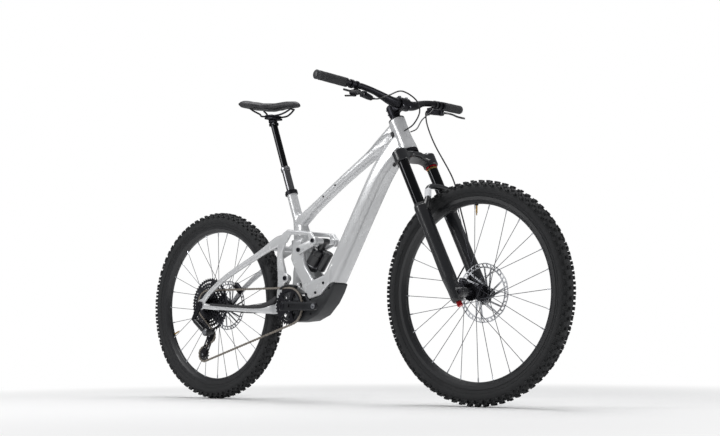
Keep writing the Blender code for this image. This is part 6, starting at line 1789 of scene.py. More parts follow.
@dataclass
class Drivetrain:
    """Chainring, cranks, chain, sprockets and derailleur."""

    crank_length: float = 0.160
    crank_place: float = 0.082
    crank_thickness: float = 0.0135
    crank_width: float = 0.034
    crank_tilt: float = math.radians(-2.0)
    spindle_radius: float = 0.012
    cog_arms: int = 6
    cage_outer: float = -0.0565
    knuckle_place: float = 0.088
    root: Point = field(default_factory=lambda: shifted(REAR_AXLE, (-0.037, -0.056)))
    tip: Point = field(default_factory=lambda: shifted(REAR_AXLE, (0.037, -0.110)))
    upper: Point = field(default_factory=lambda: shifted(REAR_AXLE, (0.0205, -0.1245)))
    lower: Point = field(default_factory=lambda: shifted(REAR_AXLE, (-0.0195, -0.1965)))

    def build(self) -> None:
        """Builds the pieces of the drivetrain."""
        self.chainring()
        for word, side in SIDES:
            self.crank(word, side)
        self.cassette()
        self.chain()
        self.derailleur()

    def chainring(self) -> None:
        """Toothed ring on five arms, the plate behind it, its bolts and the chain guide."""
        radius = pitch_radius(CHAINRING_TEETH)
        bore, face = self.spindle_radius + 0.0008, CHAIN_LINE - 0.0055
        holes = [circle(CRANK_AXLE, bore, 40)]
        for k in range(5):
            start = 72 * k
            holes.append(arc(CRANK_AXLE, 0.026, start + 12, start + 56, 8)
                         + arc(CRANK_AXLE, radius - 0.0135, start + 60, start + 8, 14))
        ring = plate("chainring", [toothed(CRANK_AXLE, CHAINRING_TEETH)] + holes, CHAIN_LINE - 0.0013,
                     CHAIN_LINE + 0.0013, 0.0003, 1)
        hub = across("ring_hub", [(bore, face), (0.0225, face), (0.0240, CHAIN_LINE - 0.0040),
                                  (0.0240, CHAIN_LINE + 0.0014), (bore, CHAIN_LINE + 0.0014)],
                     CRANK_AXLE, 56, True)
        dress(joined("chainring", [ring, hub]), BLACK_ANODISED, "crank", "chainring", sharp=28.0)
        pockets = [circle(CRANK_AXLE, bore, 40)]
        for k in range(10):
            start = 36 * k
            pockets.append(arc(CRANK_AXLE, 0.034, start + 8, start + 28, 6)
                           + arc(CRANK_AXLE, 0.046, start + 26, start + 10, 6))
        back = plate("ring_back", [circle(CRANK_AXLE, 0.0555, 96)] + pockets, CHAIN_LINE + 0.0030,
                     CHAIN_LINE + 0.0050, 0.0004, 2)
        dress(back, CAST_GREY, "crank")
        guide = arc(CRANK_AXLE, 0.0820, 62, 128, 16) + arc(CRANK_AXLE, 0.0560, 122, 70, 12)
        lip = arc(CRANK_AXLE, 0.0815, 66, 124, 16) + arc(CRANK_AXLE, 0.0765, 124, 66, 16)
        plates = [plate("chain_guide", [guide], CHAIN_LINE + 0.0070, CHAIN_LINE + 0.0100, 0.001, 2),
                  plate("lip", [lip], CHAIN_LINE - 0.0090, CHAIN_LINE + 0.0085, 0.001, 2)]
        dress(joined("chain_guide", plates), COVER_NYLON, "frame")
        for k in range(5):
            turn = math.radians(72 * k - 2)
            bolt_head(f"ring_bolt_{k + 1}", at(polar(CRANK_AXLE, 0.0200, turn), face), Vector((0, -1, 0)),
                      0.0030, "crank", PIN_STEEL)

    def crank(self, word: str, side: int) -> None:
        """Forged arm, broad at the spindle, hollowed along its face, with a bright pedal insert.

        Args:
            word: The side's name.
            side: -1 for the right, 1 for the left.
        """
        tilt = self.crank_tilt if side < 0 else self.crank_tilt + math.pi
        eye = polar(CRANK_AXLE, self.crank_length, tilt)
        inner = side * (self.crank_place - self.crank_thickness / 2)
        outer = side * (self.crank_place + self.crank_thickness / 2)
        low, high = min(inner, outer), max(inner, outer)
        outline = tongue(CRANK_AXLE, eye, self.crank_width / 2 + 0.0008, 0.0143, 24)
        arm = plate("crank_" + word, [outline], low, high, 0.0034, 4)
        near, far = between(CRANK_AXLE, eye, 0.24), between(CRANK_AXLE, eye, 0.80)
        groove = plate("groove", [tongue(near, far, 0.0062, 0.0046, 16)], outer - 0.0016, outer + 0.004)
        carved(arm, groove, cross_rod("eye", eye, -0.12, 0.12, 0.0074, 40))
        if side < 0:
            end = self.crank_place + self.crank_thickness / 2 - 0.002
            arm = joined("crank_" + word, [arm, cross_rod("spindle", CRANK_AXLE, inner + 0.002, end,
                                                          self.spindle_radius, 48)])
        else:
            carved(arm, cross_rod("seat", CRANK_AXLE, 0.05, 0.12, self.spindle_radius + 0.0004, 48))
        dress(arm, FORGED_BLACK, "crank", "crank_" + word, sharp=30.0)
        sleeve = across("pedal_insert_" + word, [(0.0058, side * 0.0757), (0.0073, side * 0.0757),
                                                 (0.0073, side * 0.0883), (0.0095, side * 0.0887),
                                                 (0.0095, side * 0.0895), (0.0058, side * 0.0895)],
                        eye, 40, True)
        dress(sleeve, PIN_STEEL, "crank")
        face = outer + side * 0.0002
        cap = [(0.0, face + side * 0.0006), (0.0048, face + side * 0.0006), (0.0054, face + side * 0.0020),
               (0.0108, face + side * 0.0018), (0.0120, face + side * 0.0002), (0.0120, face - side * 0.0015),
               (0.0, face - side * 0.0015)]
        dress(across("crank_cap_" + word, cap, CRANK_AXLE, 48), BLACK_ANODISED, "crank")

    def places(self) -> list[float]:
        """Side place of each sprocket."""
        middle = COG_TEETH.index(CHAIN_COG)
        return [CHAIN_LINE + (k - middle) * (0.0029 if k < middle else 0.0035) for k in range(len(COG_TEETH))]

    def cassette(self) -> None:
        """Twelve toothed sprockets, the large ones on open arms, with spacers between."""
        places = self.places()
        pieces = []
        for k, (teeth, y) in enumerate(zip(COG_TEETH, places)):
            radius = pitch_radius(teeth)
            outlines = [toothed(REAR_AXLE, teeth, 0.0026, -0.0038, 0.37 * k), circle(REAR_AXLE, 0.0180, 40)]
            if radius > 0.050:
                for j in range(self.cog_arms):
                    start = 60 * j + 7 * k
                    outlines.append(arc(REAR_AXLE, 0.0270, start + 12, start + 48, 6)
                                    + arc(REAR_AXLE, radius - 0.0115, start + 51, start + 9, 10))
            pieces.append(plate("cog", outlines, y - 0.0009, y + 0.0009))
            if k + 1 < len(places):
                spacer = min(pitch_radius(COG_TEETH[k]) - 0.0085, 0.0250)
                pieces.append(across("spacer", [(0.0180, y + 0.0007), (max(0.0190, spacer), y + 0.0007),
                                                (max(0.0190, spacer), places[k + 1] - 0.0007),
                                                (0.0180, places[k + 1] - 0.0007)], REAR_AXLE, 40, True))
        dress(joined("cassette", pieces), SPROCKET_STEEL, "cassette", "cassette", sharp=28.0)
        ring = across("lock_ring", [(0.0113, places[0] - 0.0012), (0.0150, places[0] - 0.0012),
                                    (0.0150, places[0] + 0.0002), (0.0113, places[0] + 0.0002)],
                      REAR_AXLE, 48, True)
        dress(ring, BLACK_ANODISED, "cassette")

    def link(self, outer: bool) -> Piece:
        """One link of the chain at the origin: two waisted plates with pins or rollers.

        Args:
            outer: Whether it has the outer plates.

        Returns:
            The link.
        """
        half = CHAIN_PITCH / 2
        outline = [(-half - 0.0040, 0.0), (-half - 0.0029, 0.0030), (-half, 0.0041), (0.0, 0.0029),
                   (half, 0.0041), (half + 0.0029, 0.0030), (half + 0.0040, 0.0), (half + 0.0029, -0.0030),
                   (half, -0.0041), (0.0, -0.0029), (-half, -0.0041), (-half - 0.0029, -0.0030)]
        place = 0.0021 if outer else 0.0012
        pieces = [plate("side", [outline], y - 0.00045, y + 0.00045) for y in (-place, place)]
        reach, radius, sides = (0.0029, 0.0018, 8) if outer else (0.0009, 0.0038, 10)
        for x in (-half, half):
            pieces.append(cross_rod("pin", (x, 0.0), -reach, reach, radius, sides))
        return joined("link", pieces)

    def stretches(self, line: Sequence[Point]) -> list[tuple[str, Optional[str], Point, Point]]:
        """Bodies that carry the chain, in the order of its line from the top of the chainring.

        Args:
            line: The chain's closed line.

        Returns:
            Rows of (body at the start, body at the end or None, start, end) of each bending part. A row
            without a second body is rigid up to its end.
        """
        ends = [(line[k], line[(k + 1) % len(line)]) for k in range(len(line))]
        low, _, rise, top = [pair for pair in ends if distance(*pair) > 0.03]

        def on(pair: tuple[Point, Point], x: float) -> Point:
            """The point of a straight run at a place along the bike."""
            return between(*pair, (x - pair[0][0]) / (pair[1][0] - pair[0][0]))

        lower = [on(low, x) for x in (-0.165, -0.210, -0.300, -0.480, -0.520, -0.560, -0.638)]
        upper = [between(*rise, share) for share in (0.06, 0.36, 0.44, 0.52)]
        return [("frame", "lower_link", lower[0], lower[1]), ("lower_link", "swingarm", lower[1], lower[2]),
                ("swingarm", None, lower[2], lower[3]), ("swingarm", "derailleur_link", lower[3], lower[4]),
                ("derailleur_link", "derailleur_knuckle", lower[4], lower[5]),
                ("derailleur_knuckle", "derailleur_cage", lower[5], lower[6]),
                ("derailleur_cage", None, lower[6], upper[0]),
                ("derailleur_cage", "derailleur_knuckle", upper[0], upper[1]),
                ("derailleur_knuckle", "derailleur_link", upper[1], upper[2]),
                ("derailleur_link", "swingarm", upper[2], upper[3]),
                ("swingarm", None, upper[3], on(top, -0.250)),
                ("swingarm", "lower_link", on(top, -0.250), on(top, -0.195)),
                ("lower_link", "frame", on(top, -0.195), top[1])]

    def chain(self) -> None:
        """The whole chain, link by link along its line, in parts; the rigid parts ride on the bodies they lie
        on, the bending ones on none.
        """
        wheels = [(CRANK_AXLE, pitch_radius(CHAINRING_TEETH), 1),
                  (self.lower, pitch_radius(PULLEY_TEETH[1]), 1),
                  (self.upper, pitch_radius(PULLEY_TEETH[0]), -1), (REAR_AXLE, pitch_radius(CHAIN_COG), 1)]
        line = belt(wheels)
        total = sum(distance(line[k], line[(k + 1) % len(line)]) for k in range(len(line)))
        count = 2 * round(total / CHAIN_PITCH / 2)
        spots = stepped(line, count)
        middles = [between(spots[k], spots[(k + 1) % count], 0.5) for k in range(count)]
        models = [self.link(True), self.link(False)]
        rows = self.stretches(line)
        first = 0
        for part, (body, other, start, end) in enumerate(rows):
            nearest = min(range(count), key=lambda k: distance(middles[k], end))
            stop = count if part == len(rows) - 1 else nearest + 1
            links = []
            for k in range(first, stop):
                way = (spots[(k + 1) % count][0] - spots[k][0], spots[(k + 1) % count][1] - spots[k][1])
                lean = Matrix.Rotation(-math.atan2(way[1], way[0]), 4, "Y")
                place = Matrix.Translation(at(middles[k], CHAIN_LINE)) @ lean
                links.append(copy_of(models[k % 2], "link", place))
            first = stop
            nodes = ("chain",) if part == 0 else ()
            piece = dress(joined(f"chain_part_{part}", links), CHAIN_STEEL, None if other else body,
                          *nodes, sharp=28.0)
            if other:
                tuple(at(start))
                tuple(at(end))
                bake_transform(piece)
        for model in models:
            dropped(model)

    def derailleur(self) -> None:
        """Mount, link, knuckle, cage and pulleys."""
        face = -DROPOUT_FACE - DROPOUT_GAP
        mount = plate("mount", [tongue(REAR_AXLE, self.root, 0.0123, 0.0091, 20)], face - 0.008,
                      face, 0.0015, 3)
        boss = cross_rod("boss", self.root, face - 0.008, face + 0.006, 0.0091, 40, 0.001)
        mount = joined("derailleur_mount", [mount, boss])
        carved(mount, cross_rod("mount_bore", REAR_AXLE, -0.2, 0.0, 0.0064, 32))
        dress(mount, BLACK_ANODISED, "swingarm", "derailleur_mount")
        length = distance(self.root, self.tip)
        near = (0.0093 + 0.0003 + 0.0060) / length
        far = 1.0 - (0.0120 + 0.0003 + 0.0060) / length
        start, end = between(self.root, self.tip, near), between(self.root, self.tip, far)
        span = distance(start, end)
        way = ((end[0] - start[0]) / span, (end[1] - start[1]) / span)
        link = plate("derailleur_link", [tongue((0.0, 0.0), (span, 0.0), 0.0085, 0.0095, 20)],
                     -0.0118, 0.0118, 0.0028, 3)
        carved(link, block("waist", Vector((span / 2, 0.0, 0.0)), (span - 0.026, 0.0050, 0.03), None, 0.0))
        turn = Matrix(((way[0], way[1], 0.0), (0.0, 0.0, 1.0), (way[1], -way[0], 0.0))).to_4x4()
        lay = (Matrix.Translation(at(start, -self.knuckle_place)) @ turn
               @ Matrix.Rotation(-math.pi / 2, 4, "X"))
        link.data.transform(lay)
        dress(outward(link), BLACK_ENAMEL, "derailleur_link", "derailleur_link")
        knuckle = across("derailleur_knuckle", [(0.0, -0.0975), (0.0125, -0.0975), (0.0150, -0.0960),
                                                (0.0156, -0.0935), (0.0156, -0.0740), (0.0140, -0.0715),
                                                (0.0128, -0.0700), (0.0119, self.cage_outer - 0.0010),
                                                (0.0112, self.cage_outer - 0.0006),
                                                (0.0, self.cage_outer - 0.0006)], self.tip, 56)
        dress(knuckle, BLACK_ENAMEL, "derailleur_knuckle", "derailleur_knuckle")
        badge = across("knuckle_cap", [(0.0, -0.0987), (0.0092, -0.0987), (0.0098, -0.0976), (0.0, -0.0976)],
                       self.tip, 48)
        dress(badge, PIN_STEEL, "derailleur_knuckle")
        self.cage()

    def cage(self) -> None:
        """Two pierced plates on either side of the pulleys."""
        outline = tongue(self.upper, self.lower, 0.0123, 0.0133, 24)
        window = tongue(between(self.upper, self.lower, 0.30), between(self.upper, self.lower, 0.64),
                        0.0052, 0.0060, 14)
        head = tongue(self.tip, self.upper, 0.0118, 0.0123, 24)
        low, inner = self.cage_outer, CHAIN_LINE + 0.0046
        pieces = [plate("derailleur_cage", [outline, window], low, low + 0.0015, 0.0003, 1),
                  plate("head", [head], low, low + 0.0015, 0.0003, 1),
                  plate("inner", [outline, window], inner, inner + 0.0015, 0.0003, 1)]
        for place in (self.upper, self.lower):
            pieces.append(cross_rod("pin", place, low - 0.0002, inner + 0.0017, 0.0030, 24))
        dress(joined("derailleur_cage", pieces), BLACK_ANODISED, "derailleur_cage", "derailleur_cage")
        for name, place, teeth in (("pulley_upper", self.upper, PULLEY_TEETH[0]),
                                   ("pulley_lower", self.lower, PULLEY_TEETH[1])):
            radius = pitch_radius(teeth)
            holes = [circle(place, 0.0034, 24)]
            for k in range(6):
                holes.append(circle(polar(place, radius * 0.52, math.radians(60 * k)), 0.0026, 12))
            wheel = plate(name, [toothed(place, teeth, 0.0026, -0.0040)] + holes, CHAIN_LINE - 0.0011,
                          CHAIN_LINE + 0.0011)
            dress(wheel, SHELL_NYLON, name, name, sharp=28.0)
            bolt_head(name + "_bolt", at(place, low - 0.0002), Vector((0, -1, 0)), 0.0048, "derailleur_cage",
                      PIN_STEEL)


@dataclass
class Calipers:
    """Both brake calipers: a split body, its bolts and the disc slot."""

    reach: float = 0.092
    height: float = 0.026
    length: float = 0.050

    def build(self) -> None:
        """Builds the front caliper in the fork's frame and the rear one on the swingarm."""
        angle = math.radians(137.0)
        middle = (FORK_OFFSET, 0.0)
        front = self.body("front_caliper", middle, angle, 0.0455, 0.0250, 0.0425)
        dress(steered(front), BLACK_ANODISED, "fork", "front_caliper")
        rear = self.body("rear_caliper", REAR_AXLE, math.radians(46.0), 0.0574, 0.0150, 0.0584)
        dress(rear, BLACK_ANODISED, "swingarm", "rear_caliper")
        for k, along in enumerate((-0.019, 0.019)):
            centre = polar(middle, self.reach, angle)
            spot = (centre[0] - along * math.sin(angle), centre[1] + along * math.cos(angle))
            head = bolt_head(f"caliper_bolt_{k + 1}", at(spot, 0.0455 - 0.0125), Vector((0, -1, 0)),
                             0.0042, "fork", PIN_STEEL)
            steered(head)

    def body(self, name: str, axle: Point, angle: float, y: float, width: float, disc: float) -> Piece:
        """A caliper of rounded block shape with its slot and a window.

        Args:
            name: The piece's name.
            axle: Centre of the disc in the side view.
            angle: Direction from the axle to the caliper.
            y: Side place of the body.
            width: Width across the disc.
            disc: Side place of the disc.

        Returns:
            The caliper.
        """
        centre = polar(axle, self.reach, angle)
        turn = Matrix.Rotation(-angle, 4, "Y")
        body = block(name, at(centre, y), (self.height, width, self.length), turn, 0.0042)
        slot_centre = between(axle, centre, 0.886)
        slot = block("slot", at(slot_centre, disc), (0.040, 0.0038, 0.12), turn, 0.0)
        carved(body, slot)
        outward_way = Vector((math.cos(angle), 0, math.sin(angle)))
        window = block("window", at(centre, disc) + outward_way * 0.008, (0.016, 0.0065, 0.020), turn, 0.0015)
        return carved(body, window)


@dataclass
class Cockpit:
    """Headset, stem, bar, grips, brake levers and the pods beside the grips."""

    stem_centre: float = 0.743
    stem_length: float = 0.047
    clamp_radius: float = 0.0175
    bar_radius: float = 0.0111
    rise: float = 0.034
    sweep: float = 0.043
    half_width: float = 0.395
    grip_length: float = 0.134
    grip_radius: float = 0.0162
    lever_clamp: float = 0.240
    control_place: float = 0.216
    clamp_gap: float = 0.0004
    tail: Vector = field(default_factory=lambda: Vector((0.330, 0.158, 1.048)))
    foot: Vector = field(default_factory=lambda: Vector((0.338, 0.212, 1.052)))
    hinge: Vector = field(default_factory=lambda: Vector((0.347, 0.220, 1.050)))
    dropper_hinge: Vector = field(default_factory=lambda: Vector(DROPPER_HINGE))

    def build(self) -> None:
        """Builds the cockpit's pieces."""
        self.headset()
        self.stem()
        self.bar()
        for word, side in SIDES:
            self.grip(word, side)
            self.lever(word, side)
            self.blade(word, side)
        self.shifter()
        self.remote()
        self.dropper()

    def marks(self) -> list[tuple[float, float, float, float]]:
        """Bends of the left half of the bar as (x, y, z, share of the middle's radius).

        Returns:
            The rows.
        """
        x, z = on_steerer(self.stem_centre, self.stem_length)
        thin = self.bar_radius / self.clamp_radius
        return [(x, 0.0, z, 1.0), (x, 0.042, z, 1.0), (x - 0.002, 0.075, z + 0.006, 0.88),
                (x - 0.012, 0.130, z + 0.024, thin), (x - 0.0195, 0.185, z + self.rise, thin),
                (x - self.sweep, self.half_width, z + self.rise + 0.012, thin)]

    def spot(self, y: float) -> Vector:
        """Middle of the bar at a side distance.

        Args:
            y: The side distance, negative on the right.

        Returns:
            The point.
        """
        marks = self.marks()
        side = abs(y)
        for (x0, y0, z0, _), (x1, y1, z1, _) in zip(marks, marks[1:]):
            if side <= y1 or y1 == marks[-1][1]:
                share = (side - y0) / (y1 - y0)
                return Vector((x0 + share * (x1 - x0), y, z0 + share * (z1 - z0)))
        return Vector(marks[-1][:3])

    def way(self, y: float) -> Vector:
        """Direction of the bar at a side distance, outwards on the left."""
        return (self.spot(y + 0.005) - self.spot(y - 0.005)).normalized()

    def headset(self) -> None:
        """Bearing cups with their shields."""
        inner = 0.0151
        low = [(inner, 0.5604), (0.0300, 0.5604), (0.0318, 0.5614), (0.0320, 0.5660), (0.0310, 0.5672),
               (0.0310, 0.5684), (0.0320, 0.5694), (0.0320, 0.5737), (0.0232, 0.5737), (0.0232, 0.586),
               (inner, 0.586)]
        high = [(inner, 0.692), (0.0232, 0.692), (0.0232, 0.7043), (0.0295, 0.7043), (0.0295, 0.7060),
                (0.0285, 0.7068), (0.0278, 0.7072), (0.0215, 0.7115), (inner, 0.7115)]
        for name, profile in (("headset_lower", low), ("headset_upper", high)):
            dress(turned(name, profile, at(STEER_FOOT), at(STEER_UP), 72, True), BLACK_ANODISED,
                  "frame", name)

    def stem(self) -> None:
        """Short stem: spacers, body, faceplate with four bolts, steerer bolts and top cap."""
        centre = self.stem_centre
        spacers = [(0.0147, 0.7120), (0.0178, 0.7120), (0.0185, 0.7127), (0.0185, 0.7166), (0.0178, 0.7173),
                   (0.0185, 0.7180), (0.0185, 0.7222), (0.0178, 0.7229), (0.0147, 0.7229)]
        spacer = turned("spacers", spacers, Vector((0, 0, 0)), UP, 64, True)
        body = [(0.0147, 0.7230), (0.0190, 0.7230), (0.0200, 0.7242), (0.0200, 0.7605), (0.0192, 0.7616),
                (0.0147, 0.7616)]
        collar = turned("collar", body, Vector((0, 0, 0)), UP, 64, True)
        bridge = swept("bridge", [(0.014, 0, centre, 0.037, 0.033), (0.024, 0, centre, 0.034, 0.030),
                                  (0.034, 0, centre, 0.038, 0.031), (0.043, 0, centre, 0.046, 0.033)],
                       UP, 4.0, 32, 8)
        place = (self.stem_length, centre)
        room = cross_rod("bar_room", place, -0.1, 0.1, self.clamp_radius + 0.0006, 56)
        steerer_room = rod("steerer_room", Vector((0, 0, 0.70)), Vector((0, 0, 0.7585)), 0.0147, 48)
        clamp = across("clamp", [(self.clamp_radius + 0.0006, -0.0245), (self.clamp_radius + 0.0045, -0.0248),
                                 (self.clamp_radius + 0.0055, -0.0236), (self.clamp_radius + 0.0055, 0.0236),
                                 (self.clamp_radius + 0.0045, 0.0248), (self.clamp_radius + 0.0006, 0.0245)],
                       place, 64, True)
        carved(bridge, room, steerer_room)
        gaps = [block("gap", Vector((self.stem_length + 0.004, 0, centre + side * 0.0205)),
                      (0.0012, 0.06, 0.010), None, 0.0)
                for side in (-1, 1)]
        carved(clamp, *gaps)
        face = []
        for y in (-0.0185, 0.0185):
            for z in (-0.0185, 0.0185):
                face.append(block("ear", Vector((self.stem_length + 0.005, y, centre + z)),
                                  (0.022, 0.0115, 0.0090), None, 0.0025))
        cap = [(0.0, 0.7618), (0.0178, 0.7618), (0.0180, 0.7630), (0.0160, 0.7652), (0.0060, 0.7655),
               (0.0055, 0.7645), (0.0, 0.7645)]
        top = turned("cap", cap, Vector((0, 0, 0)), UP, 64)
        ears = joined("ears", face)
        carved(ears, cross_rod("bar_room_two", place, -0.1, 0.1, self.clamp_radius + 0.0006, 56))
        dress(steered(joined("stem", [spacer, collar, bridge, clamp, ears, top])), BLACK_ANODISED,
              "steering", "stem")
        for k, (y, z) in enumerate(((-0.0185, -0.0185), (0.0185, -0.0185), (-0.0185, 0.0185),
                                    (0.0185, 0.0185))):
            steered(bolt_head(f"face_bolt_{k + 1}", Vector((self.stem_length + 0.0158, y, centre + z)),
                              Vector((1, 0, 0)), 0.0036, "steering", PIN_STEEL))
        for k, z in enumerate((0.7330, 0.7520)):
            steered(bolt_head(f"steerer_bolt_{k + 1}", Vector((-0.0140, -0.0150, z)),
                              Vector((-0.6, -1, 0)), 0.0034, "steering", PIN_STEEL))

    def bar(self) -> None:
        """Riser bar, thick at the clamp and tapered to the grips."""
        half = [Vector(mark[:3]) for mark in self.marks()[:-1]] + [self.spot(0.205)]
        line = smooth_line(half, 8)
        shares = []
        for point in line:
            marks = self.marks()
            for (_, y0, _, s0), (_, y1, _, s1) in zip(marks, marks[1:]):
                if y0 <= point.y <= y1 + 1e-9:
                    share = (point.y - y0) / (y1 - y0)
                    shares.append(s0 + share * (s1 - s0))
                    break
            else:
                shares.append(marks[-1][3])
        line.append(self.spot(self.half_width - 0.0005))
        shares.append(self.marks()[-1][3])
        whole = [Vector((p.x, -p.y, p.z)) for p in line[:0:-1]] + line
        dress(pipe("handlebar", whole, self.clamp_radius, 10, shares[:0:-1] + shares),
              BLACK_ANODISED, "steering", "handlebar", sharp=50.0)

    def grip(self, word: str, side: int) -> None:
        """Ribbed grip with a lock ring at its inner end and a plug at the outer end.

        Args:
            word: The side's name.
            side: -1 for the right, 1 for the left.
        """
        start = self.spot(side * (self.half_width - self.grip_length))
        end = self.spot(side * self.half_width)
        way = (end - start).normalized()
        length = (end - start).length
        bore, r = self.bar_radius + 0.0003, self.grip_radius
        profile = [(bore, 0.0118), (r - 0.0010, 0.0118)]
        pitch = 0.0042
        for k in range(int((length - 0.022) / pitch)):
            base = 0.0130 + k * pitch
            high = r - (0.0003 if 6 < k % 13 < 10 else 0.0)
            profile += [(r - 0.0014, base), (high - 0.0002, base + 0.0006), (high, base + 0.0013),
                        (high - 0.0002, base + 0.0026), (r - 0.0014, base + 0.0032)]
        profile += [(r - 0.0012, length - 0.006), (r, length - 0.005), (r, length - 0.001),
                    (r - 0.002, length + 0.0010), (bore, length + 0.0010)]
        sleeve = turned("grip_" + word, profile, start, way, 56, True)
        dress(sleeve, GRIP_RUBBER, "steering", "grip_" + word, sharp=40.0)
        ring = [(bore, 0.0), (r - 0.0012, 0.0), (r - 0.0002, 0.0010), (r - 0.0002, 0.0098),
                (r - 0.0012, 0.0110), (bore, 0.0110)]
        dress(turned("grip_ring_" + word, ring, start, way, 56, True), BLACK_ANODISED, "steering")
        plug = [(0.0, length + 0.0030), (0.0095, length + 0.0030), (0.0125, length + 0.0018),
                (0.0130, length + 0.0012), (0.0, length + 0.0004)]
        dress(turned("bar_plug_" + word, plug, start, way, 48), SHELL_NYLON, "steering")

    def band(self, name: str, y: float, width: float, outer: float) -> Piece:
        """The ring of a clamp round the bar.

        Args:
            name: The piece's name.
            y: Its side place.
            width: Its width along the bar.
            outer: Its outer radius.

        Returns:
            The clamp.
        """
        centre, way = self.spot(y), self.way(y)
        bore = self.bar_radius + self.clamp_gap
        profile = [(bore, -width / 2), (outer - 0.0008, -width / 2), (outer, -width / 2 + 0.0008),
                   (outer, width / 2 - 0.0008), (outer - 0.0008, width / 2), (bore, width / 2)]
        return turned(name, profile, centre, way, 48, True)

    def bar_room(self, y: float) -> Piece:
        """A cutter for the bar through a clamp at a side distance."""
        centre, reach = self.spot(y), self.way(y) * 0.04
        return rod("bar_room", centre - reach, centre + reach, self.bar_radius + self.clamp_gap, 44)

    def lever(self, word: str, side: int) -> None:
        """Brake lever body: clamp, arm, tapered cylinder, clevis with its pin.

        Args:
            word: The side's name.
            side: -1 for the right, 1 for the left.
        """
        flip = Vector((1, side, 1))
        y = self.lever_clamp * side
        centre = self.spot(y)
        tail, foot, hinge = self.tail * flip, self.foot * flip, self.hinge * flip
        pieces = [self.band("lever_body_" + word, y, 0.011, 0.0153)]
        pieces.append(rod("arm", centre + Vector((0.010, 0, -0.006)), foot, 0.0082, 32, None, 0.0015))
        way = foot - tail
        length = way.length
        barrel = [(0.0, 0.0), (0.0078, 0.0), (0.0092, 0.0012), (0.0094, 0.006), (0.0086, 0.0075),
                  (0.0100, 0.009), (0.0110, length * 0.5), (0.0112, length * 0.9), (0.0098, length),
                  (0.0, length + 0.001)]
        pieces.append(turned("barrel", barrel, tail, way, 40))
        clevis = block("clevis", hinge + Vector((-0.003, -0.006 * side, 0.0)),
                       (0.018, 0.022, 0.020), None, 0.0035)
        slot = block("slot", hinge + Vector((0.006, 0.004 * side, 0)), (0.026, 0.030, 0.0088), None, 0.0)
        carved(clevis, slot)
        pieces.append(clevis)
        if side > 0:
            pieces.append(block("dropper_arm", self.dropper_hinge + Vector((0.009, 0, 0.0083)),
                                (0.036, 0.016, 0.016), None, 0.003))
        body = joined("lever_body_" + word, pieces)
        carved(body, self.bar_room(y))
        pin = rod("pin", hinge + Vector((0, 0, -0.0102)), hinge + Vector((0, 0, 0.0102)), 0.0024, 24)
        dress(joined("lever_body_" + word, [body, pin]), BLACK_ANODISED, "steering", "lever_body_" + word)
        bolt_head("clamp_bolt_" + word, centre + Vector((-0.0128, 0, -0.0075)),
                  Vector((-0.8, 0, -0.6)), 0.0030, "steering", PIN_STEEL)
        cap = turned("lever_cap_" + word, [(0.0, 0.0), (0.0055, 0.0), (0.0062, 0.0008), (0.0055, 0.0018),
                                           (0.0, 0.0020)],
                     (self.tail + (self.foot - self.tail) * 0.55) * flip + Vector((0, 0, 0.0080)), UP, 32)
        dress(cap, CAST_GREY, "steering")

    def blade(self, word: str, side: int) -> None:
        """Brake lever blade: curved, with a hooked tip and an eye for its pin.

        Args:
            word: The side's name.
            side: -1 for the right, 1 for the left.
        """
        flip = Vector((1, side, 1))
        hinge = self.hinge * flip
        rows = [(0.000, 0.000, 0.0, 0.0092, 0.0062), (0.008, 0.012, 0.000, 0.0086, 0.0060),
                (0.0135, 0.030, -0.001, 0.0080, 0.0058), (0.0125, 0.052, -0.002, 0.0080, 0.0056),
                (0.0100, 0.078, -0.004, 0.0084, 0.0056), (0.0125, 0.100, -0.005, 0.0086, 0.0056),
                (0.0165, 0.1145, -0.006, 0.0080, 0.0062)]
        stations = [(hinge.x + x, hinge.y + y * side, hinge.z + z, thick, height * 0.88)
                    for x, y, z, height, thick in rows]
        blade = swept("brake_lever_" + word, stations, UP, 2.8, 28, 8)
        eye = rod("eye", hinge - Vector((0, 0, 0.0040)), hinge + Vector((0, 0, 0.0040)), 0.0068,
                  36, None, 0.0008)
        body = joined("brake_lever_" + word, [blade, eye])
        body = modified(body, "REMESH", mode="VOXEL", voxel_size=0.0008)
        modified(body, "SMOOTH", factor=0.5, iterations=3)
        carved(body, rod("bore", hinge - Vector((0, 0, 0.02)), hinge + Vector((0, 0, 0.02)), 0.0030, 28))
        dress(body, BLACK_ENAMEL, "brake_" + word, "brake_lever_" + word, sharp=40.0)

    def shifter(self) -> None:
        """Shifter pod with its clamp and thumb paddle."""
        y = -self.control_place
        right = self.spot(y)
        centre = right + Vector((-0.012, 0.006, -0.0215))
        pod = joined("shifter_body", [self.band("band", y, 0.009, 0.0148),
                                      block("pod", centre, (0.034, 0.030, 0.018), None, 0.0055),
                                      block("stalk", right + Vector((-0.004, 0.002, -0.0135)),
                                            (0.014, 0.010, 0.006), None, 0.001)])
        carved(pod, self.bar_room(y))
        dress(pod, BLACK_ANODISED, "steering", "shifter_body")
        hinge = centre + Vector((-0.002, -0.002, -0.0093))
        disc = rod("shifter_paddle", hinge, hinge + Vector((0, 0, -0.005)), 0.0069, 36, None, 0.0008)
        wing = block("wing", hinge + Vector((-0.014, -0.012, -0.0025)), (0.030, 0.0128, 0.0043),
                     Matrix.Rotation(math.radians(40), 4, "Z"), 0.0018)
        dress(joined("shifter_paddle", [disc, wing]), SHELL_NYLON, "paddle", "shifter_paddle")

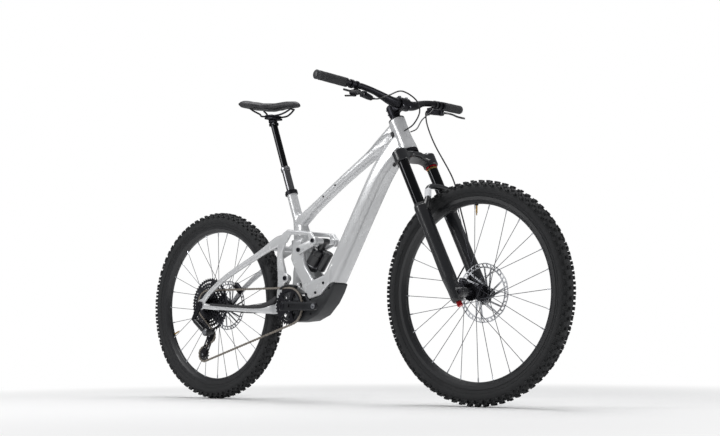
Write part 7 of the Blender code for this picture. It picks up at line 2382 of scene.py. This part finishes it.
    def remote(self) -> None:
        """Control remote with its clamp and side button."""
        y = self.control_place
        left = self.spot(y)
        centre = left + Vector((-0.010, 0.0, -0.018))
        case = joined("control_remote", [self.band("band", y, 0.009, 0.0148),
                                         block("case", centre, (0.022, 0.030, 0.020), None, 0.0035)])
        rooms = [self.bar_room(y), rod("button_room", centre + Vector((-0.02, 0, 0)),
                                       centre + Vector((-0.0070, 0, 0)), 0.0049, 32)]
        carved(case, *rooms)
        dress(case, SHELL_NYLON, "steering", "control_remote")
        button = turned("remote_button", [(0.0, 0.0), (0.0038, 0.0), (0.0044, 0.0006), (0.0044, 0.0044),
                                          (0.0, 0.0044)], centre + Vector((-0.0135, 0, 0)),
                        Vector((1, 0, 0)), 32)
        dress(button, COVER_NYLON, "button", "remote_button")

    def dropper(self) -> None:
        """Thumb lever of the seat post."""
        hinge = self.dropper_hinge
        disc = rod("dropper_lever", hinge, hinge + Vector((0, 0, -0.005)), 0.0074, 36, None, 0.0008)
        thumb = block("thumb", hinge + Vector((-0.017, 0.014, -0.0025)), (0.036, 0.0138, 0.0043),
                      Matrix.Rotation(math.radians(-40), 4, "Z"), 0.0018)
        dress(joined("dropper_lever", [disc, thumb]), BLACK_ANODISED, "dropper_lever", "dropper_lever")


@dataclass
class Seat:
    """Collar, dropper post, rails with clamp, and the saddle."""

    rear: Point = (-0.463, 1.162)
    tilt: float = math.radians(7.0)
    length: float = 0.288
    width: float = 0.146
    thickness: float = 0.030
    post_outer: float = 0.0158
    post_inner: float = 0.0132
    collar_top: float = 0.104
    head: float = 0.306
    rail_radius: float = 0.0035
    rail_spacing: float = 0.044
    seam_depth: float = 0.0011
    head_tilt: float = math.radians(8.0)

    def build(self) -> None:
        """Builds the seat's pieces."""
        self.post()
        self.rails()
        self.saddle()

    def post(self) -> None:
        """Seat collar with its lug, outer tube with a bright seal head, and the inner post."""
        ring = [(0.0198, -0.012), (0.0226, -0.012), (0.0236, -0.011), (0.0236, 0.003), (0.0226, 0.004),
                (0.0164, 0.004), (0.0161, 0.0003), (0.0198, 0.0003)]
        collar = turned("seat_collar", ring, at(SEAT_FOOT), at(SEAT_UP), 64, True)
        dress(collar, BLACK_ANODISED, "frame", "seat_collar")
        lug = block("collar_lug", at(shifted(on_seat(-0.004), (-0.0232, -0.006))), (0.008, 0.016, 0.012),
                    Matrix.Rotation(math.radians(-19), 4, "Y"), 0.0015)
        dress(lug, BLACK_ANODISED, "frame")
        r = self.post_outer
        outer = [(0.0136, -0.134), (r, -0.134), (r, 0.0885), (0.0168, 0.0895), (0.0178, 0.0905),
                 (0.0178, 0.0935), (0.0172, 0.0942), (0.0172, 0.0955), (0.0178, 0.0962), (0.0178, 0.1025),
                 (0.0168, self.collar_top), (0.0136, self.collar_top)]
        dress(turned("dropper_outer", outer, at(SEAT_FOOT), at(SEAT_UP), 64, True), POST_GREY, "frame",
              "dropper_outer")
        bright = turned("seal_head", [(0.0170, 0.0964), (0.0181, 0.0966), (0.0181, 0.1000), (0.0170, 0.1002)],
                        at(SEAT_FOOT), at(SEAT_UP), 64, True)
        dress(bright, BRIGHT_RING, "frame")
        inner = rod("dropper_inner", at(on_seat(self.collar_top - 0.030)), at(on_seat(self.head - 0.014)),
                    self.post_inner, 56)
        block_head = block("head", at(on_seat(self.head - 0.013)), (0.030, 0.028, 0.014),
                           Matrix.Rotation(-self.head_tilt, 4, "Y"), 0.004)
        dress(joined("dropper_inner", [inner, block_head]), SLIDER_COATING, "seat", "dropper_inner")

    def rails(self) -> None:
        """Rails in one bent loop with the clamp halves and their bolts."""
        head = on_seat(self.head)
        sides = []
        for side in (1, -1):
            y = side * self.rail_spacing / 2
            sides.append([Vector((-0.412, side * 0.038, 1.1402)), Vector((-0.392, side * 0.034, 1.1260)),
                          Vector((-0.372, y, 1.1130)), Vector((head[0] - 0.035, y, head[1] + 0.0225)),
                          Vector((head[0] + 0.045, y, head[1] + 0.0165)),
                          Vector((-0.240, side * 0.016, 1.1010)), Vector((-0.213, side * 0.010, 1.1130))])
        line = smooth_line(sides[0], 7) + smooth_line(sides[1][::-1], 7)
        rails = pipe("saddle_rails", line, self.rail_radius, 5)
        turn = Matrix.Rotation(math.radians(4.5), 4, "Y")
        top = block("clamp", Vector((head[0] + 0.002, 0, head[1] + 0.0205)),
                    (0.040, self.rail_spacing + 0.012, 0.0078), turn, 0.0028)
        low = block("cradle", Vector((head[0] + 0.002, 0, head[1] + 0.0108)),
                    (0.044, self.rail_spacing + 0.014, 0.0085), turn, 0.0028)
        core = block("core", Vector((head[0] + 0.002, 0, head[1] + 0.0155)),
                     (0.030, 0.026, 0.016), turn, 0.002)
        foot = block("clamp_foot", at(on_seat(self.head + 0.0030)), (0.026, 0.026, 0.016),
                     Matrix.Rotation(-self.head_tilt, 4, "Y"), 0.003)
        dress(joined("saddle_rails", [rails, top, low, core, foot]), BLACK_ANODISED, "seat", "saddle_rails")
        for k, x in enumerate((-0.0145, 0.0185)):
            bolt_head(f"rail_bolt_{k + 1}", Vector((head[0] + x, 0.0, head[1] + 0.0242 - x * 0.08)), UP,
                      0.0036, "seat", PIN_STEEL)

    def outline(self, share: float) -> list[float]:
        """Width, thickness and drop of the saddle at a share of its length from the rear.

        Args:
            share: 0 at the rear to 1 at the nose.

        Returns:
            Share of the width, share of the thickness and the drop.
        """
        rows = [(0.0, 0.50, 0.40, -0.0030), (0.03, 0.84, 0.82, -0.0005), (0.12, 1.0, 1.0, 0.001),
                (0.26, 0.92, 1.0, -0.004), (0.42, 0.62, 0.95, -0.008), (0.58, 0.39, 0.92, -0.007),
                (0.80, 0.29, 0.90, -0.001), (0.95, 0.245, 0.76, 0.000), (0.99, 0.17, 0.50, -0.0030),
                (1.0, 0.10, 0.30, -0.0045)]
        for first, second in zip(rows, rows[1:]):
            if share <= second[0]:
                t = (share - first[0]) / (second[0] - first[0])
                t = t * t * (3 - 2 * t) if second[0] < 0.95 and first[0] > 0.0 else t
                return [a + (b - a) * t for a, b in zip(first[1:], second[1:])]
        return list(rows[-1][1:])

    def skin_point(self, turn: float, share: float, grow: float = 0.0) -> Vector:
        """A point of the saddle's cover.

        Args:
            turn: 0 to 1 round the section, 0 at the middle of the top.
            share: 0 to 1 from the rear to the nose.
            grow: How far the point lies outside the cover.

        Returns:
            The point.
        """
        width, thick, drop = self.outline(share)
        loop = [(0.0, 1.0), (0.30, 0.99), (0.58, 0.90), (0.80, 0.70), (0.945, 0.38), (1.0, 0.0),
                (0.955, -0.36), (0.84, -0.64), (0.66, -0.80), (0.35, -0.82), (0.0, -0.82)]
        whole = loop + [(-u, v) for u, v in loop[-2:0:-1]]
        spot = turn * len(whole)
        k = int(spot) % len(whole)
        t = spot - int(spot)
        a, b, c, d = [whole[(k + j) % len(whole)] for j in (-1, 0, 1, 2)]
        u, v = [cubic(p, q, r, s, t) for p, q, r, s in zip(a, b, c, d)]
        if v > 0:
            along = min(1, max(0, (share - 0.10) / 0.72))
            v -= 0.17 * math.exp(-(u * width / 0.16) ** 2) * max(0.0, math.sin(math.pi * along))
            crown = 0.10 * math.exp(-((abs(u) - 0.55) / 0.25) ** 2) * max(0.0, 1.0 - share / 0.42)
            v += crown * 0.5
        seam = sum(math.exp(-((turn - place) / 0.0060) ** 2) for place in (0.165, 0.835))
        seam += 0.7 * sum(math.exp(-((turn - place) / 0.0050) ** 2) for place in (0.325, 0.675))
        shrink = 1.0 - self.seam_depth * seam / (self.thickness / 2)
        x = self.rear[0] + share * self.length * math.cos(self.tilt)
        z = self.rear[1] - share * self.length * math.sin(self.tilt) + drop
        reach = 1.0 + grow / (self.thickness / 2)
        return Vector((x, u * width * self.width / 2 * (1 - 0.35 * (1 - shrink)) * reach,
                       z + v * thick * self.thickness / 2 * shrink * reach))

    def saddle(self) -> None:
        """Cushion with crowned top, seams and relief channel, and the nylon shell below it."""
        cushion = draped("saddle_cushion", self.skin_point, 200, 130)
        modified(cushion, "SMOOTH", factor=0.4, iterations=2)
        dress(cushion, SADDLE_LEATHER, "seat", "saddle_cushion", sharp=None)
        take(cushion)
        bpy.ops.object.shade_smooth()

        def under(turn: float, share: float) -> Vector:
            """A point of the shell, just below the cushion's underside."""
            x, y, z = self.skin_point(0.355 + 0.29 * turn, 0.03 + 0.92 * share)
            return Vector((x, y * 0.99, z - 0.0004))

        let_go()
        bpy.ops.mesh.primitive_grid_add(x_subdivisions=40, y_subdivisions=60, size=1.0)
        shell = bpy.context.object
        shell.name = "saddle_shell"
        for vertex in shell.data.vertices:
            vertex.co = under(vertex.co.x + 0.5, vertex.co.y + 0.5)
        modified(shell, "SOLIDIFY", thickness=0.0022, offset=0.0)
        dress(outward(shell), SHELL_NYLON, "seat", sharp=40.0)


@dataclass
class Lines:
    """Brake hoses and the seat post's cable."""

    hose_radius: float = 0.0026
    cable_radius: float = 0.0022
    tail: Vector = field(default_factory=lambda: Vector((0.3292, 0.1495, 1.0476)))

    def build(self) -> None:
        """Lays the three lines and their end sleeves."""
        front = [self.tail, (0.332, 0.140, 1.036), (0.344, 0.134, 0.990), (0.385, 0.125, 0.912),
                 (0.476, 0.107, 0.778), (0.506, 0.1070, 0.670), (0.535, 0.1068, 0.560),
                 (0.537, 0.1040, 0.500), (0.520, 0.074, 0.437), (0.5230, 0.0500, 0.4140),
                 (0.5415, 0.0455, 0.4052)]
        tail = Vector((self.tail.x, -self.tail.y, self.tail.z))
        rear = [tail, (0.337, -0.126, 1.050), (0.354, -0.090, 1.066), (0.366, -0.035, 1.087),
                (0.393, 0.008, 1.059), (0.408, 0.010, 1.015), (0.395, -0.008, 0.970),
                (0.3602, -0.0166, 0.9495)]
        hinge = Vector(DROPPER_HINGE)
        cable = [hinge + Vector((0.014, -0.0104, 0.0085)), (0.346, 0.165, 1.058), (0.353, 0.146, 1.043),
                 (0.351, 0.095, 1.006), (0.374, 0.035, 0.962), (0.3602, 0.0166, 0.9495)]
        line = self.hose("front_brake_hose", front, self.hose_radius)
        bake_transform(line)
        for name, points, radius in (("rear_brake_hose", rear, self.hose_radius),
                                     ("dropper_cable", cable, self.cable_radius)):
            line = self.hose(name, points, radius)
            tuple(points[2])
            tuple(points[-1])
            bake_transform(line)
        for name, start, end in (("hose_sleeve_left", self.tail, Vector(front[1])),
                                 ("hose_sleeve_right", tail, Vector(rear[1]))):
            way = (Vector(end) - Vector(start)).normalized()
            sleeve = rod(name, Vector(start) - way * 0.001, Vector(start) + way * 0.009, 0.0040, 28,
                         0.0033, 0.0004)
            dress(sleeve, GUARD_RUBBER, "steering")

    def hose(self, name: str, points: Sequence[Vector], radius: float) -> Piece:
        """One line along its way."""
        return dress(pipe(name, smooth_line(points, 14), radius, 4), HOSE_JACKET, None, name, sharp=60.0)


@dataclass
class Studio:
    """Pale floor, soft light and the camera of the photograph."""

    camera_place: Vector = field(default_factory=lambda: Vector((2.879, -3.079, 0.183)))
    azimuth: float = 41.725
    elevation: float = 6.619
    roll: float = -0.43
    lens: float = 57.41

    def build(self) -> None:
        """Sets up floor, lights, world and camera."""
        self.floor()
        self.world()
        self.lights()
        self.camera()

    def floor(self) -> None:
        """A wide pale floor that fades to plain white far from the bike."""
        let_go()
        bpy.ops.mesh.primitive_plane_add(size=40.0, location=(0, 0, 0))
        floor = bpy.context.object
        floor.name = "studio_floor"
        paper = bpy.data.materials.new("studio_paper")
        paper.use_nodes = True
        tree = paper.node_tree
        tree.nodes.clear()
        place = add_node(tree, "ShaderNodeTexCoord").outputs["Object"]
        far = add_node(tree, "ShaderNodeVectorMath", {"operation": "LENGTH"}, {0: place}).outputs["Value"]
        fade = add_node(tree, "ShaderNodeMapRange", {"From Min": 1.1, "From Max": 2.6,
                                                     "interpolation_type": "SMOOTHSTEP"}, {"Value": far})
        ray = add_node(tree, "ShaderNodeLightPath").outputs["Is Camera Ray"]
        share = add_node(tree, "ShaderNodeMath", {"operation": "MULTIPLY"},
                         {0: fade.outputs["Result"], 1: ray})
        matt = add_node(tree, "ShaderNodeBsdfPrincipled", {"Base Color": linear("#f0f0f0"), "Roughness": 0.9})
        glow = add_node(tree, "ShaderNodeEmission", {"Color": (1.0, 1.0, 1.0, 1.0), "Strength": 1.0})
        mix = add_node(tree, "ShaderNodeMixShader", None, {0: share.outputs["Value"], 1: matt.outputs["BSDF"],
                                                           2: glow.outputs["Emission"]})
        output = add_node(tree, "ShaderNodeOutputMaterial")
        tree.links.new(mix.outputs["Shader"], output.inputs["Surface"])
        floor.data.materials.append(paper)

    def world(self) -> None:
        """Plain white behind the bike, softer for the light that it gives."""
        world = bpy.data.worlds.new("studio_world")
        bpy.context.scene.world = world
        world.use_nodes = True
        tree = world.node_tree
        tree.nodes.clear()
        ray = add_node(tree, "ShaderNodeLightPath").outputs["Is Camera Ray"]
        soft = add_node(tree, "ShaderNodeBackground", {"Color": (0.97, 0.98, 1.0, 1.0), "Strength": 0.24})
        white = add_node(tree, "ShaderNodeBackground", {"Color": (1.0, 1.0, 1.0, 1.0), "Strength": 1.0})
        mix = add_node(tree, "ShaderNodeMixShader", None, {0: ray, 1: soft.outputs["Background"],
                                                           2: white.outputs["Background"]})
        output = add_node(tree, "ShaderNodeOutputWorld")
        tree.links.new(mix.outputs["Shader"], output.inputs["Surface"])

    def lamp(self, name: str, place: Sequence[float], size: float, power: float,
             target: Sequence[float] = (0.0, 0.0, 0.55)) -> None:
        """A soft square lamp that looks at the bike.

        Args:
            name: The lamp's name.
            place: Where it stands.
            size: Side of its square.
            power: Its power in watts.
            target: Where it looks.
        """
        light = bpy.data.lights.new(name, "AREA")
        light.shape = "SQUARE"
        light.size = size
        light.energy = power
        lamp = bpy.data.objects.new(name, light)
        bpy.context.scene.collection.objects.link(lamp)
        lamp.location = place
        lamp.rotation_euler = (Vector(target) - Vector(place)).to_track_quat("-Z", "Y").to_euler()

    def lights(self) -> None:
        """A broad top light, a key from the front left and a rim light."""
        self.lamp("top_light", (-0.2, 0.2, 3.2), 2.4, 78.0)
        self.lamp("key_light", (-1.9, -3.2, 2.3), 1.8, 70.0)
        self.lamp("side_light", (3.6, 0.9, 1.4), 1.4, 42.0)

    def camera(self) -> None:
        """The camera at the photograph's place."""
        data = bpy.data.cameras.new("photo_camera")
        data.lens = self.lens
        data.sensor_width = 36.0
        camera = bpy.data.objects.new("photo_camera", data)
        bpy.context.scene.collection.objects.link(camera)
        camera.matrix_world = (Matrix.Translation(self.camera_place)
                               @ Matrix.Rotation(math.radians(self.azimuth), 4, "Z")
                               @ Matrix.Rotation(math.radians(90.0 + self.elevation), 4, "X")
                               @ Matrix.Rotation(math.radians(self.roll), 4, "Z"))
        bpy.context.scene.camera = camera
        bpy.context.scene.view_settings.view_transform = "Standard"


def wheels() -> list[Wheel]:
    """The front and the rear wheel with their own hubs.

    Returns:
        The two wheels.
    """
    f, r = 0.055, 0.074
    front = [(0.0078, -f), (0.0098, -f), (0.0105, -f + 0.001), (0.0105, -f + 0.010), (0.016, -0.032),
             (0.0280, -0.0322), (0.0290, -0.0312), (0.0290, -0.0288), (0.0280, -0.0278), (0.0175, -0.0262),
             (0.0140, -0.0220), (0.0140, 0.0220), (0.0175, 0.0262), (0.0280, 0.0278), (0.0290, 0.0288),
             (0.0290, 0.0312), (0.0280, 0.0322), (0.0175, 0.034), (0.0175, 0.0455), (0.0165, 0.0463),
             (0.0105, 0.0475), (0.0105, f - 0.001), (0.0098, f), (0.0078, f)]
    rear = [(0.0063, -r), (0.0098, -r), (0.0105, -r + 0.001), (0.0105, -0.0642), (0.0172, -0.0640),
            (0.0172, -0.0330), (0.0200, -0.0290), (0.0280, -0.0282), (0.0290, -0.0272), (0.0290, -0.0248),
            (0.0280, -0.0238), (0.0175, -0.0222), (0.0140, -0.0190), (0.0140, 0.0290), (0.0175, 0.0322),
            (0.0280, 0.0338), (0.0290, 0.0348), (0.0290, 0.0372), (0.0280, 0.0382), (0.0175, 0.040),
            (0.0175, 0.0612), (0.0165, 0.0620), (0.0105, 0.0634), (0.0105, r - 0.001),
            (0.0098, r), (0.0063, r)]
    return [Wheel("front", FRONT_AXLE, "front_wheel", (-0.030, 0.030), front, 0.0425, 88.0),
            Wheel("rear", REAR_AXLE, "rear_wheel", (-0.026, 0.036), rear, 0.0584, 203.0)]


def main() -> None:
    """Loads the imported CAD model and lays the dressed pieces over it."""
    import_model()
    groups = [FrontTriangle(), DriveUnit(), Swingarm(), ShockAndLinks(), Fork(), *wheels(),
              Drivetrain(), Calipers(), Cockpit(), Seat(), Lines(), Studio()]
    for group in groups:
        LOG.info("building %s", type(group).__name__)
        group.build()


if __name__ == "__main__":
    main()
